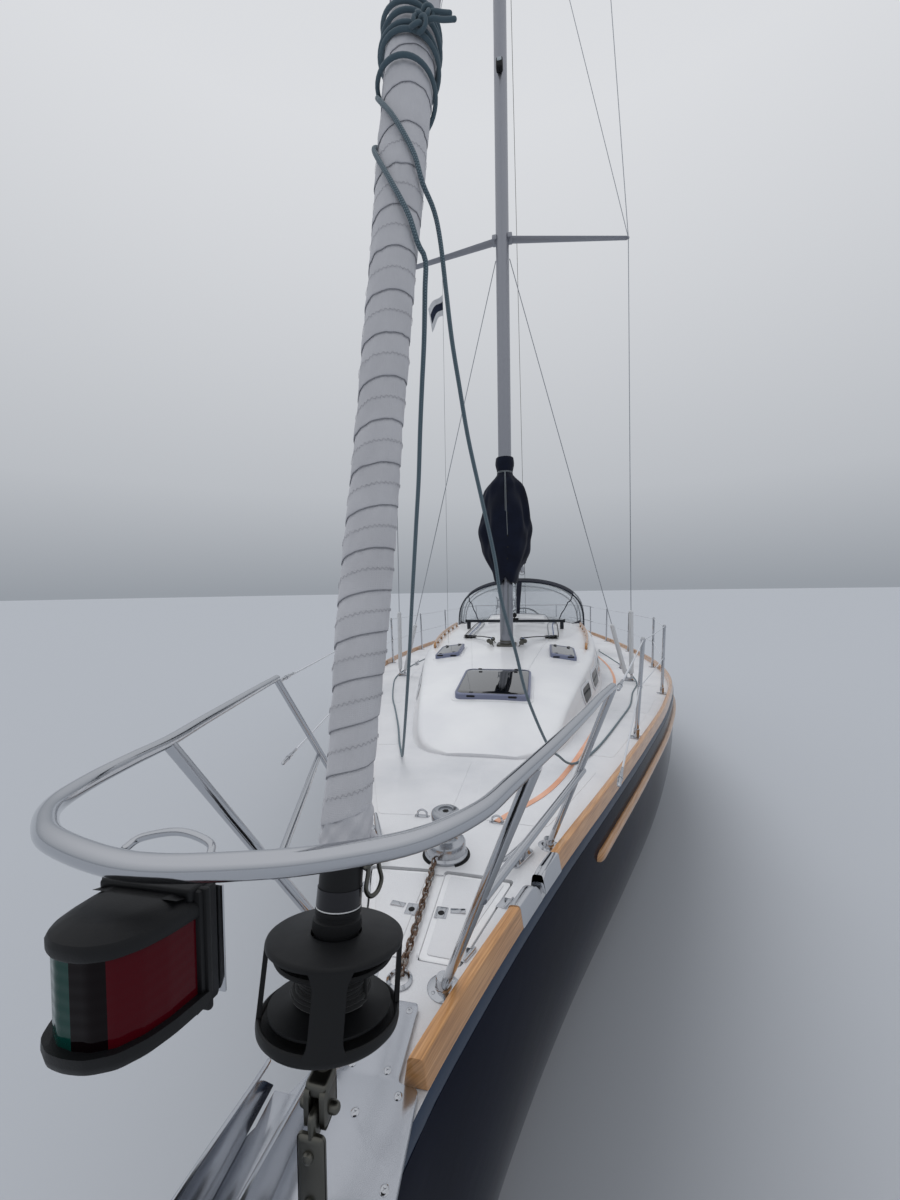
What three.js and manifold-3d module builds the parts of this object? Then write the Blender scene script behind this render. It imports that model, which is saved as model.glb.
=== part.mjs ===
import * as THREE from "three";
import { mergeVertices } from "three/addons/utils/BufferGeometryUtils.js";
import Module from "manifold-3d";

// A cruising sloop of about 36 feet, moored with its headsail furled. Millimetres.
// The bow points along -Y, port is +X, up is +Z. The origin is on the centreline,
// at mid-length, in the plane of the water.

const wasm = await Module();
wasm.setup();

// Driving sizes
const SEAT = 0.3; // gap left between two pieces that touch
const RUN = 6; // gap left beside a piece that moves
const DECK_EDGE = 40; // thickness of the deck where it meets the hull
const DECK_CAMBER = 0.035; // rise of the deck at the centreline, per mm of half beam
const MARGIN = 62; // flat margin of the deck under the toe rail
const SHELL = 32; // thickness of the coachroof
const MAST = { y: -1468, foot: 1668, head: 15950, wide: 125, deep: 175, rake: 0.0187 };
const GOOSENECK = { y: -1308, z: 2560 };
const BOOM = { length: 4150, wide: 95, deep: 140 };
const STAY = { foot: [0, -5330, 1400], head: [0, -1290, 15900] };
const CHAINPLATE = [1235, -990, 1262];
const WHEEL = { y: 3480, z: 1395, radius: 400, rim: 14 };
const RUDDER = { y: 4230, top: -150, bottom: -1480, stock: 30 };
const SCREW = { y: 2950, z: -680, radius: 205, shaft: 16 };
const COMPANIONWAY = { half: 310, front: 1010, back: 1600, sill: 1232 };
const CABIN = { front: -2650, back: 1500 };
const COCKPIT = { front: 1600, back: 4780, half: 1130, seat: 930, sole: 520, well: 350, coaming: 1451 };

// Hull lines: place along the boat, half beam at the deck, height of the deck edge,
// height of the keel line, fullness of the bilge, fullness of the side.
const HULL_LINES = [
  [-5400, 26, 1312, 1215, 1.5, 1.2],
  [-5300, 72, 1311, 990, 1.5, 1.2],
  [-5130, 118, 1309, 600, 1.5, 1.15],
  [-4860, 212, 1306, 40, 1.5, 1.1],
  [-4450, 372, 1300, -200, 1.55, 1.15],
  [-3900, 600, 1284, -330, 1.75, 1.3],
  [-3100, 922, 1260, -440, 2.2, 1.55],
  [-2100, 1300, 1236, -510, 2.7, 1.8],
  [-900, 1648, 1206, -555, 3.1, 1.95],
  [400, 1808, 1180, -560, 3.2, 2],
  [1600, 1800, 1163, -510, 3.1, 2],
  [2800, 1706, 1158, -385, 3, 2],
  [3900, 1560, 1162, -200, 2.9, 2.05],
  [4700, 1420, 1170, -30, 2.8, 2.1],
  [5450, 1255, 1182, 210, 2.7, 2.2],
];
const STATIONS = [-5400, -5350, -5300, -5220, -5130, -5000, -4860, -4660, -4450, -4180, -3900, -3500,
  -3100, -2600, -2100, -1500, -900, -250, 400, 1000, 1600, 2200, 2800, 3350, 3900, 4300, 4700, 5080, 5450];
const HALF_POINTS = 9; // points from keel to deck edge

// Coachroof lines: place, half width at the deck, half width at the roof edge,
// height of the roof edge, height of the roof at the centreline.
const ROOF_LINES = [
  [-3500, 240, 200, 1308, 1316],
  [-3450, 345, 310, 1319, 1332],
  [-3360, 425, 380, 1343, 1361],
  [-3240, 482, 424, 1375, 1397],
  [-3000, 578, 482, 1437, 1463],
  [-2400, 736, 616, 1500, 1545],
  [-1500, 946, 806, 1562, 1652],
  [-500, 1076, 922, 1605, 1706],
  [600, 1110, 948, 1640, 1744],
  [1560, 1080, 922, 1662, 1766],
];
const ROOF_STATIONS = [-3500, -3450, -3360, -3240, -3000, -2700, -2400, -1950, -1500, -1000, -500, 50, 600, 1080, 1560];

// Ports in each side of the coachroof: centre along the boat, length, height.
const PORTS = [
  [-2290, 330, 105],
  [-1740, 400, 120],
  [-1180, 400, 120],
  [-420, 640, 130],
  [420, 640, 130],
];

// Stanchions: place along the boat, distance in from the deck edge, lean out at the top.
const STANCHIONS = [
  [-2922, 94, 45],
  [-1500, 94, 25],
  [150, 94, 20],
  [1750, 94, 20],
  [3200, 94, 20],
];
const LIFELINE = { top: 610, middle: 320, wire: 3.5, post: 12.5 };

// Materials
const finish = (color, roughness, metalness) =>
  new THREE.MeshStandardMaterial({ color, roughness, metalness });
const NAVY = finish(0x0b0f1c, 0.12, 0);
const WHITE = finish(0xe6e7e5, 0.35, 0);
const DECK_GREY = finish(0xd9dbdb, 0.6, 0);
const TEAK = finish(0xb9783d, 0.35, 0);
const STEEL = finish(0xc9ccce, 0.15, 1);
const ALLOY = finish(0xbfc2c4, 0.4, 1);
const SAILCLOTH = finish(0xe4e1d8, 0.8, 0);
const NAVY_CANVAS = finish(0x151a2b, 0.9, 0);
const BLACK = finish(0x15161a, 0.6, 0);
const LENS = finish(0x20262b, 0.1, 0);
const ROPE = finish(0x4f6f76, 0.9, 0);
const IRON = finish(0x3c4145, 0.7, 0.3);
const BRONZE = finish(0x9a7a4a, 0.4, 1);

// Solids

// A closed geometry as a solid with its faces pointing out.
function solidOf(geometry) {
  const plain = geometry.clone();
  plain.deleteAttribute("normal");
  plain.deleteAttribute("uv");
  const merged = mergeVertices(plain, 1e-3);
  const triangles = Uint32Array.from(merged.index.array);
  const points = merged.attributes.position.array;
  const made = new wasm.Manifold(
    new wasm.Mesh({ numProp: 3, vertProperties: points, triVerts: triangles }),
  );
  if (made.volume() > 0) return made;
  for (let i = 0; i < triangles.length; i += 3) {
    const first = triangles[i];
    triangles[i] = triangles[i + 1];
    triangles[i + 1] = first;
  }
  return new wasm.Manifold(
    new wasm.Mesh({ numProp: 3, vertProperties: points, triVerts: triangles }),
  );
}

function geometryOf(solid) {
  const mesh = solid.getMesh();
  const geometry = new THREE.BufferGeometry();
  geometry.setAttribute("position", new THREE.BufferAttribute(mesh.vertProperties, 3));
  geometry.setIndex(new THREE.BufferAttribute(mesh.triVerts, 1));
  geometry.computeVertexNormals();
  return geometry;
}

const joined = (...solids) => solids.reduce((all, next) => all.add(next));
const mirrored = (solid) => solid.mirror([1, 0, 0]);

function block([x0, x1], [y0, y1], [z0, z1]) {
  const box = new THREE.BoxGeometry(x1 - x0, y1 - y0, z1 - z0);
  return solidOf(box.translate((x0 + x1) / 2, (y0 + y1) / 2, (z0 + z1) / 2));
}

const vector = (point) => new THREE.Vector3(...point);

// A straight rod between two points, or a cone where the end radius differs.
function rod(from, to, radius, sides = 8, endRadius = radius) {
  const start = vector(from);
  const along = vector(to).sub(start);
  const shape = new THREE.CylinderGeometry(endRadius, radius, along.length(), sides);
  shape.translate(0, along.length() / 2, 0);
  const turn = new THREE.Quaternion().setFromUnitVectors(
    new THREE.Vector3(0, 1, 0),
    along.clone().normalize(),
  );
  return solidOf(shape.applyQuaternion(turn).translate(start.x, start.y, start.z));
}

// A round bar bent along a smooth curve through the points.
function bar(points, radius, steps, sides = 8) {
  const path = new THREE.CatmullRomCurve3(points.map(vector), false, "centripetal");
  const circle = [...Array(sides).keys()].map((i) => {
    const angle = (i / sides) * 2 * Math.PI;
    return new THREE.Vector2(radius * Math.cos(angle), radius * Math.sin(angle));
  });
  return solidOf(
    new THREE.ExtrudeGeometry(new THREE.Shape(circle), { steps, extrudePath: path }),
  );
}

// A turned shape about a vertical axis: radius and height of each point.
function turned(profile, [x, y, z], sides = 16) {
  const points = profile.map(([radius, height]) => new THREE.Vector2(radius, height));
  const shape = new THREE.LatheGeometry(points, sides).rotateX(Math.PI / 2);
  return solidOf(shape.translate(x, y, z));
}

// A solid through rings with the same number of points. flat says which two axes
// the end rings are seen in.
function loft(rings, flat = [0, 2]) {
  const count = rings[0].length;
  const index = [];
  for (let r = 0; r + 1 < rings.length; r++)
    for (let i = 0; i < count; i++) {
      const a = r * count + i;
      const b = r * count + ((i + 1) % count);
      index.push(a, b, a + count, b, b + count, a + count);
    }
  // An end cap's faces all turn the same way, with the ring or against it.
  const cap = (ring, start, withRing) => {
    const outline = ring.map((point) => new THREE.Vector2(point[flat[0]], point[flat[1]]));
    const faces = THREE.ShapeUtils.triangulateShape(outline, []);
    const area = faces.reduce((sum, face) =>
      sum + THREE.ShapeUtils.area(face.map((i) => outline[i])), 0);
    const follows = area > 0 === THREE.ShapeUtils.area(outline) > 0;
    for (const [a, b, c] of faces) {
      const face = follows === withRing ? [a, b, c] : [a, c, b];
      index.push(...face.map((i) => start + i));
    }
  };
  cap(rings[0], 0, false);
  cap(rings[rings.length - 1], (rings.length - 1) * count, true);
  const geometry = new THREE.BufferGeometry();
  geometry.setAttribute("position", new THREE.Float32BufferAttribute(rings.flat(2), 3));
  geometry.setIndex(index);
  return solidOf(geometry);
}

// A flat plate: an outline of x, y points between two heights.
function plate(outline, low, high) {
  return loft([low, high].map((z) => outline.map(([x, y]) => [x, y, z])), [0, 1]);
}

// Reads a table between its rows on a smooth curve. The first column is the place.
function curveThrough(rows) {
  const width = rows[0].length - 1;
  const places = rows.map((row) => row[0]);
  const values = rows.flatMap((row) => row.slice(1));
  const curve = new THREE.CubicInterpolant(places, values, width, new Array(width));
  return (place) => [...curve.evaluate(place)];
}

const hullLines = curveThrough(HULL_LINES);
const roofLines = curveThrough(ROOF_LINES);

// Half width of the hull at a place and a height.
function hullHalf(y, z) {
  const [beam, sheer, bottom, bilge, side] = hullLines(y);
  const top = sheer - DECK_EDGE;
  const down = Math.min(Math.max((top - z) / (top - bottom), 0), 1);
  return beam * Math.pow(1 - Math.pow(down, bilge), 1 / side);
}

// Height of the deck's upper face.
function deckHeight(x, y) {
  const [beam, sheer] = hullLines(y);
  const inner = Math.max(beam - MARGIN, 1);
  const out = Math.min(Math.abs(x) / inner, 1);
  return sheer + DECK_CAMBER * beam * (1 - out * out);
}

const roofHeight = (x, y) => {
  const [, half, edge, centre] = roofLines(y);
  const out = Math.min(Math.abs(x) / half, 1);
  return centre - (centre - edge) * out * out;
};

// Height of a round foot, a little sunk, before the deck's camber trims it.
const footHeight = (x, y) => deckHeight(x, y) - 4;

// The deck's outer form, reaching down, lifted by the gap of a piece that stands on it.
const deckBody = () => loft(STATIONS.map((y) => deckRing(y, 400))).translate([0, 0, SEAT]);
const onDeck = (solid) => solid.subtract(deckBody());

// Everything aft of the sloping transom.
const TRANSOM = { low: [5450, 210], slope: 0.37 };
function aftOfTransom(gap) {
  const y = (z) => TRANSOM.low[0] - gap - TRANSOM.slope * (z - TRANSOM.low[1]);
  const ring = (x) => [
    [x, y(-900), -900],
    [x, 7000, -900],
    [x, 7000, 2600],
    [x, y(2600), 2600],
  ];
  return loft([ring(-2500), ring(2500)], [1, 2]);
}

// Hull
function hullRing(y, grow) {
  const [beam, sheer, bottom, bilge, side] = hullLines(y);
  const top = sheer - DECK_EDGE;
  const ring = [];
  for (let i = -HALF_POINTS; i <= HALF_POINTS; i++) {
    const angle = ((i / HALF_POINTS) * Math.PI) / 2;
    const out = Math.sign(i) * Math.pow(Math.abs(Math.sin(angle)), 2 / side);
    const down = Math.pow(Math.max(Math.cos(angle), 0), 2 / bilge);
    ring.push([(beam + grow) * out, y, top - (top - bottom + grow) * down]);
  }
  return ring;
}
const hullBody = (grow) => loft(STATIONS.map((y) => hullRing(y, grow)));

// The cabin's inside below the deck: place, half width at the sole, half width at
// the deck, height of the sole.
const CABIN_LINES = [
  [CABIN.front, 230, 560, 150],
  [-1500, 480, 800, -80],
  [-300, 700, 960, -150],
  [CABIN.back, 700, 960, -150],
];
const cabinVoid = () =>
  loft(
    CABIN_LINES.map(([y, sole, half, low]) => [
      [-sole, y, low],
      [sole, y, low],
      [half, y, 700],
      [half, y, 1400],
      [-half, y, 1400],
      [-half, y, 700],
    ]),
  );

// The anchor locker under its two lids: inner edge, outer edge aft and forward.
const LOCKER = { gap: 14, front: -4872, back: -4520, outFront: 122, outBack: 232, deep: 330, lid: 18 };
const LID_SWEEP = 6; // more room aft, where the lid sweeps as it turns on its slanting hinge
function lockerOutline(inset, aft = inset) {
  return [
    [LOCKER.gap + inset, LOCKER.front + inset],
    [LOCKER.outFront - inset, LOCKER.front + inset],
    [LOCKER.outBack - inset - aft * 0.3, LOCKER.back - aft],
    [LOCKER.gap + inset, LOCKER.back - aft],
  ];
}
function lockerWell() {
  const outline = lockerOutline(22).slice(1, 3);
  const whole = [...outline, ...outline.map(([x, y]) => [-x, y]).reverse()];
  return plate(whole, 1300 - LOCKER.deep, 1400);
}

const rudderBore = () =>
  rod([0, RUDDER.y, RUDDER.top - 200], [0, RUDDER.y, 160], RUDDER.stock + 1, 24);

function hull() {
  const pit = block(
    [-COCKPIT.half - 12, COCKPIT.half + 12],
    [COCKPIT.front - 12, COCKPIT.back + 12],
    [COCKPIT.sole - 60, 2000],
  );
  return hullBody(0)
    .subtract(aftOfTransom(0))
    .subtract(cabinVoid())
    .subtract(pit)
    .subtract(lockerWell())
    .subtract(rudderBore());
}

// Deck
function deckRing(y, extra = 0) {
  const [beam, sheer] = hullLines(y);
  const inner = Math.max(beam - MARGIN, beam * 0.3);
  const low = sheer - DECK_EDGE + SEAT - extra;
  const ring = [[-beam, y, low]];
  for (const x of [-beam, -inner, -inner * 0.66, -inner * 0.33, 0, inner * 0.33, inner * 0.66, inner, beam])
    ring.push([x, y, Math.abs(x) > inner ? sheer : deckHeight(x, y)]);
  ring.push([beam, y, low]);
  return ring;
}

function deck() {
  const opening = CABIN_LINES.map(([y, , half]) => [half, y]);
  const cabin = plate([...opening, ...opening.map(([x, y]) => [-x, y]).reverse()], 1000, 1500);
  const well = block(
    [-COCKPIT.half - RUN, COCKPIT.half + RUN],
    [COCKPIT.front - RUN, COCKPIT.back + RUN],
    [1000, 1500],
  );
  let made = loft(STATIONS.map((y) => deckRing(y))).subtract(aftOfTransom(0)).subtract(cabin).subtract(well);
  made = made.subtract(lockerWell());
  for (const lid of [lockerRecess(), mirrored(lockerRecess())]) made = made.subtract(lid);
  return made;
}

const lockerTop = (x, y) => deckHeight(x, y) - 1;
function lockerPrism(inset, aft, low, high) {
  const outline = lockerOutline(inset, aft);
  const ring = (lift) => outline.map(([x, y]) => [x, y, lockerTop(x, y) + lift]);
  return loft([ring(low), ring(high)], [0, 1]);
}
const lockerRecess = () => lockerPrism(0, 0, -LOCKER.lid - SEAT, 60);
const lockerLid = () => lockerPrism(RUN - 1, RUN + LID_SWEEP, -LOCKER.lid, 0);

// Coachroof: a shell open below, with its ports, hatches and companionway cut
function roofRing(y, inset) {
  const [base, half, edge, centre] = roofLines(y);
  const low = 1150;
  const spread = ((base - half) / Math.max(edge - deckHeight(base, y), 40)) * (edge - low);
  const b = Math.max(half + Math.min(spread, 90) - inset, 20);
  const h = Math.max(half - inset, 20);
  const camber = (x) => centre - (centre - edge) * (x / half) ** 2 - inset;
  const shoulder = h * 0.93;
  return [
    [-b, y, low],
    [b, y, low],
    [h, y, camber(half) - 22],
    [shoulder, y, camber(shoulder)],
    [h * 0.5, y, camber(h * 0.5)],
    [0, y, camber(0)],
    [-h * 0.5, y, camber(h * 0.5)],
    [-shoulder, y, camber(shoulder)],
    [-h, y, camber(half) - 22],
  ];
}

function portHole([y, length, height]) {
  const z = (roofLines(y)[2] + deckHeight(roofLines(y)[0], y)) / 2 + 4;
  const half = height / 2;
  const end = length / 2;
  const shape = [
    [y - end + half * 0.6, z - half],
    [y + end - half * 0.6, z - half],
    [y + end, z],
    [y + end - half * 0.6, z + half],
    [y - end + half * 0.6, z + half],
    [y - end, z],
  ];
  return loft([-1400, 1400].map((x) => shape.map(([a, b]) => [x, a, b])), [1, 2]);
}

// Hatches in the roof: centre, half width, half length.
const HATCHES = [
  { name: "forward_hatch", x: 0, y: -2680, half: 250, reach: 275 },
  { name: "port_hatch", x: 517, y: -1690, half: 112, reach: 178 },
  { name: "starboard_hatch", x: -517, y: -1690, half: 112, reach: 178 },
];
const HATCH_RIM = 34; // width of a hatch's frame

function hatchOpening({ x, y, half, reach }) {
  return block([x - half + HATCH_RIM, x + half - HATCH_RIM],
    [y - reach + HATCH_RIM, y + reach - HATCH_RIM], [1300, 1800]);
}

// A slab that follows the roof, between two heights above it.
function roofSlab({ x, y, half, reach }, low, high) {
  const ring = (place) => {
    const along = [x - half, x - half / 3, x + half / 3, x + half];
    const lower = along.map((p) => [p, place, roofHeight(p, place) + low]);
    const upper = along.map((p) => [p, place, roofHeight(p, place) + high]);
    return [...lower, ...upper.reverse()];
  };
  return loft([y - reach, y, y + reach].map(ring));
}

// The coachroof's outer form, lifted by the gap of a piece that rests on it.
const roofBody = () => loft(ROOF_STATIONS.map((y) => roofRing(y, 0))).translate([0, 0, SEAT]);

function coachroof() {
  const outer = roofBody().translate([0, 0, -SEAT]);
  const inner = ROOF_STATIONS.filter((y) => y >= -2700 && y <= 1100).map((y) => roofRing(y, SHELL));
  inner.push(roofRing(CABIN.back, SHELL));
  let made = outer.subtract(loft(inner));
  for (const port of PORTS) made = made.subtract(portHole(port));
  for (const hatch of HATCHES) made = made.subtract(hatchOpening(hatch));
  const way = block([-COMPANIONWAY.half, COMPANIONWAY.half],
    [COMPANIONWAY.front, COMPANIONWAY.back + 100], [COMPANIONWAY.sill, 2000]);
  made = made.subtract(way);
  return onDeck(made);
}

// Cockpit moulding: seats, footwell and coamings
function cockpit() {
  const { front, back, half, seat, sole, well, coaming } = COCKPIT;
  const outer = block([-half, half], [front, back], [sole - 59.7, coaming]);
  const room = loft([
    [front - 5, 0],
    [back - 130, 0],
  ].map(([y]) => [
    [-half + 240, y, seat],
    [half - 240, y, seat],
    [half - 165, y, coaming + 20],
    [-half + 165, y, coaming + 20],
  ]));
  const foot = block([-well, well], [front + 150, 4080], [sole, seat + 5]);
  const slope = loft([
    [front - 5, coaming],
    [3000, coaming],
    [back + 5, 1370],
  ].map(([y, z]) => [
    [-half - 5, y, z],
    [half + 5, y, z],
    [half + 5, y, 1600],
    [-half - 5, y, 1600],
  ]));
  const stern = block([-half - 5, half + 5], [back - 135, back + 5], [1330, 1600]);
  return outer.subtract(room).subtract(foot).subtract(slope).subtract(stern);
}

// Locker lid in a cockpit seat: a slab above the seat
function seatLid() {
  return block([COCKPIT.well + 60, COCKPIT.half - 255], [2000, 2950],
    [COCKPIT.seat + SEAT, COCKPIT.seat + 22]);
}

// Keel: a fin with a low bulb. Height, chord start, chord end, half thickness.
const KEEL_LINES = [
  [-1880, -520, 1010, 150],
  [-1800, -640, 1060, 165],
  [-1690, -560, 960, 110],
  [-1560, -470, 850, 70],
  [-700, -760, 900, 85],
  [-420, -800, 920, 95],
];
function foil([z, start, end, half]) {
  const shape = [[0, 0], [0.06, 0.6], [0.25, 1], [0.5, 0.85], [0.8, 0.35], [1, 0.03]];
  const at = ([share, wide]) => [wide * half, start + share * (end - start)];
  const port = shape.map(at);
  const starboard = shape.slice(1).map(at).reverse();
  return [...port, ...starboard.map(([x, y]) => [-x, y])].map(([x, y]) => [x, y, z]);
}
const keel = () => loft(KEEL_LINES.map(foil), [0, 1]).subtract(hullBody(SEAT));

// Rudder: a balanced blade on its stock
function rudder() {
  const blade = loft([
    [RUDDER.bottom, RUDDER.y - 90, RUDDER.y + 270, 22],
    [-900, RUDDER.y - 120, RUDDER.y + 350, 34],
    [RUDDER.top - 95, RUDDER.y - 130, RUDDER.y + 420, 42],
  ].map(foil), [0, 1]);
  return joined(blade, rod([0, RUDDER.y, -500], [0, RUDDER.y, 120], RUDDER.stock, 12));
}

// Propeller and its shaft, along a line that slopes down aft
const SHAFT_SLOPE = 0.15;
const shaftPoint = (y) => [0, y, SCREW.z - SHAFT_SLOPE * (y - SCREW.y)];
function propeller() {
  const hub = rod(shaftPoint(SCREW.y - 70), shaftPoint(SCREW.y + 60), 42, 12, 30);
  const nut = rod(shaftPoint(SCREW.y + 55), shaftPoint(SCREW.y + 110), 28, 12, 8);
  const shaft = rod(shaftPoint(2030), shaftPoint(SCREW.y), SCREW.shaft, 10);
  const blade = (turn) => {
    const shape = [[-34, 20], [-58, 90], [-52, 160], [-22, 200], [22, 200], [52, 160], [58, 90], [34, 20]];
    const ring = (lift) => shape.map(([x, z]) => [x, lift, z]);
    return loft([ring(-5), ring(5)])
      .rotate([0, 0, 28])
      .rotate([0, turn, 0])
      .rotate([-8.5, 0, 0])
      .translate(shaftPoint(SCREW.y));
  };
  return joined(hub, nut, shaft, blade(0), blade(120), blade(240));
}

// Strut that carries the shaft, with its barrel
function strut() {
  const y = SCREW.y - 170;
  const barrel = rod(shaftPoint(y - 80), shaftPoint(y + 80), 36, 12);
  const leg = loft([
    [-760, y - 55, y + 55, 12],
    [-300, y - 75, y + 75, 16],
  ].map(foil), [0, 1]);
  return joined(barrel, leg)
    .subtract(rod(shaftPoint(y - 100), shaftPoint(y + 100), SCREW.shaft + 1, 24))
    .subtract(hullBody(SEAT));
}

const engine = () => block([-235, 235], [800, 1440], [-150 + SEAT, 420]);

// Toe rail and rubbing strake, along the edge of the deck
const RAIL = { high: 56, wide: 46, top: 30, front: -5140, back: 5060 };
const between = (from, to) => [from, ...STATIONS.filter((y) => y > from + 1 && y < to - 1), to];
function toeRail() {
  const rings = between(RAIL.front, RAIL.back).map((y) => {
    const [beam, sheer] = hullLines(y);
    const out = beam - 3;
    const low = sheer + SEAT;
    const lean = (RAIL.wide - RAIL.top) / 2;
    return [
      [out, y, low],
      [out - lean, y, low + RAIL.high],
      [out - RAIL.wide + lean, y, low + RAIL.high],
      [out - RAIL.wide, y, low],
    ];
  });
  return loft(rings);
}

const STRAKE = { down: 160, high: 44, proud: 24, front: -4060, back: 5060 };
function rubStrake() {
  const rings = between(STRAKE.front, STRAKE.back).map((y) => {
    const z = hullLines(y)[1] - STRAKE.down;
    const out = hullHalf(y, z);
    const inside = out - 45;
    return [
      [inside, y, z - STRAKE.high / 2],
      [out + 4, y, z - STRAKE.high / 2],
      [out + STRAKE.proud, y, z - STRAKE.high / 4],
      [out + STRAKE.proud, y, z + STRAKE.high / 4],
      [out + 4, y, z + STRAKE.high / 2],
      [inside, y, z + STRAKE.high / 2],
    ];
  });
  return loft(rings);
}

// Stem fitting: the bow plate, the forestay tang and the anchor roller beside it
const ROLLER = { x: -118, y: -5470, half: 42, radius: 34 };
function stemFitting() {
  const z = 1312 + DECK_CAMBER * 100 + SEAT;
  const body = plate([
    [56, -4990],
    [58, -5146],
    [98, -5150],
    [104, -5300],
    [92, -5440],
    [30, -5490],
    [-190, -5490],
    [-190, -5330],
    [-100, -5150],
    [-58, -5146],
    [-56, -4990],
  ], z, z + 8);
  const tang = block([-5, 5], [-5385, -5275], [z + 4, STAY.foot[2] + 26]);
  const cheek = (x) => loft([x - 3, x + 3].map((at) => [
    [at, -5190, z + 4],
    [at, -5530, z + 4],
    [at, -5530, z + 50],
    [at, -5440, z + 92],
    [at, -5230, z + 60],
  ]), [1, 2]);
  const left = ROLLER.x - ROLLER.half;
  const right = ROLLER.x + ROLLER.half;
  const roller = rod([left, ROLLER.y, z + 46], [right, ROLLER.y, z + 46], ROLLER.radius, 12);
  return joined(body, tang, cheek(left), cheek(right), roller);
}

// Windlass: an upright capstan on its base
function windlass() {
  const y = -4430;
  const z = deckHeight(0, y) + 3 * SEAT;
  return turned([[0, 0], [72, 0], [72, 14], [52, 22], [40, 60], [38, 100], [52, 118], [54, 140],
    [40, 152], [0, 154]], [0, y, z]);
}

// Bow rail
const PULPIT = { tube: 12.7, flange: 38 };
function pulpit() {
  const rail = [[516, -4591, 1918], [455, -4810, 1928], [390, -5040, 1934], [318, -5250, 1942],
    [300, -5372, 1948], [262, -5465, 1956], [190, -5528, 1960], [80, -5546, 1961]];
  const whole = [...rail, ...rail.map(([x, y, z]) => [-x, y, z]).reverse()];
  const made = bar(whole, PULPIT.tube, 40, 8);
  const side = (mirror) => {
    const at = ([x, y, z]) => [x * mirror, y, z];
    const foot = ([x, y]) => [x, y, footHeight(x, y)];
    const fore = foot([96, -4930]);
    const aft = foot([338, -4300]);
    const leg = (low, high) => rod(at(low), at(high), PULPIT.tube, 8);
    const flange = ([x, y, z]) => rod(at([x, y, z]), at([x, y, z + 16]), PULPIT.flange, 12);
    return joined(
      leg([fore[0], fore[1], fore[2] + 5], [307, -5246, 1940]),
      leg([aft[0], aft[1], aft[2] + 5], [516, -4591, 1918]),
      leg([443, -4453, 1633], [208, -5098, 1639]),
      flange(fore),
      flange(aft),
    );
  };
  return onDeck(joined(made, side(1), side(-1)));
}

// Bow light, hung under the front of the rail: its plan by x, y points
const BOW_LIGHT = { low: 1840, high: 1948, back: -5562 };
function bowLight() {
  const lens = plate([[-53, -5580], [-48, -5618], [-38, -5638], [-20, -5648], [4, -5648], [22, -5638],
    [32, -5618], [37, -5580]], BOW_LIGHT.low + 10, BOW_LIGHT.high - 12);
  const lid = plate([[-57, -5577], [-52, -5620], [-41, -5642], [-21, -5652], [5, -5652], [25, -5642],
    [36, -5620], [41, -5577]], BOW_LIGHT.high - 13, BOW_LIGHT.high);
  const back = block([-57, 41], [-5582, BOW_LIGHT.back], [BOW_LIGHT.low, BOW_LIGHT.high]);
  const arm = block([-30, 14], [BOW_LIGHT.back - 5, -5540], [1900, BOW_LIGHT.high]);
  return joined(lens, lid, lid.translate([0, 0, BOW_LIGHT.low - BOW_LIGHT.high + 12]), back, arm);
}

// Stern rail
function pushpit() {
  const z = 1800;
  const half = [[1360, 3950, z], [1270, 4450, z], [1160, 4830, z], [1000, 4985, z], [700, 5010, z], [330, 5015, z]];
  const rail = (x) => half.map(([a, b, c]) => [a * x, b, c]);
  const made = bar([...rail(1), ...rail(-1).reverse()], 12.7, 26, 8);
  const legs = [1, -1].flatMap((x) => [[1360, 3960], [1165, 4845], [700, 5000]].map(([a, y]) => {
    const low = [a * x * 0.99, y - 12, footHeight(a, y)];
    return joined(rod(low, [a * x, y, z], 12.7, 8), rod(low, [low[0], low[1], low[2] + 16], 36, 10));
  }));
  return onDeck(joined(made, ...legs));
}

// Stanchions and their two wires along one side
function lifelines() {
  const posts = STANCHIONS.map(([y, inboard, lean]) => {
    const x = hullLines(y)[0] - inboard;
    const low = footHeight(x, y);
    return { y, x, low, lean };
  });
  const at = ({ y, x, low, lean }, high) => [x + (lean * high) / LIFELINE.top, y, low + high];
  const solids = posts.flatMap((post) => [
    rod(at(post, 0), at(post, LIFELINE.top + 15), LIFELINE.post, 6),
    rod(at(post, 0), at(post, 16), 34, 8),
  ]);
  for (const high of [LIFELINE.top, LIFELINE.middle]) {
    const ends = [
      [535, -4530, high === LIFELINE.top ? 1905 : 1625],
      ...posts.map((post) => at(post, high)),
      [1362, 3930, high === LIFELINE.top ? 1790 : 1490],
    ];
    for (let i = 0; i + 1 < ends.length; i++)
      solids.push(rod(ends[i], ends[i + 1], LIFELINE.wire, 5));
  }
  return joined(...solids);
}

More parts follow.
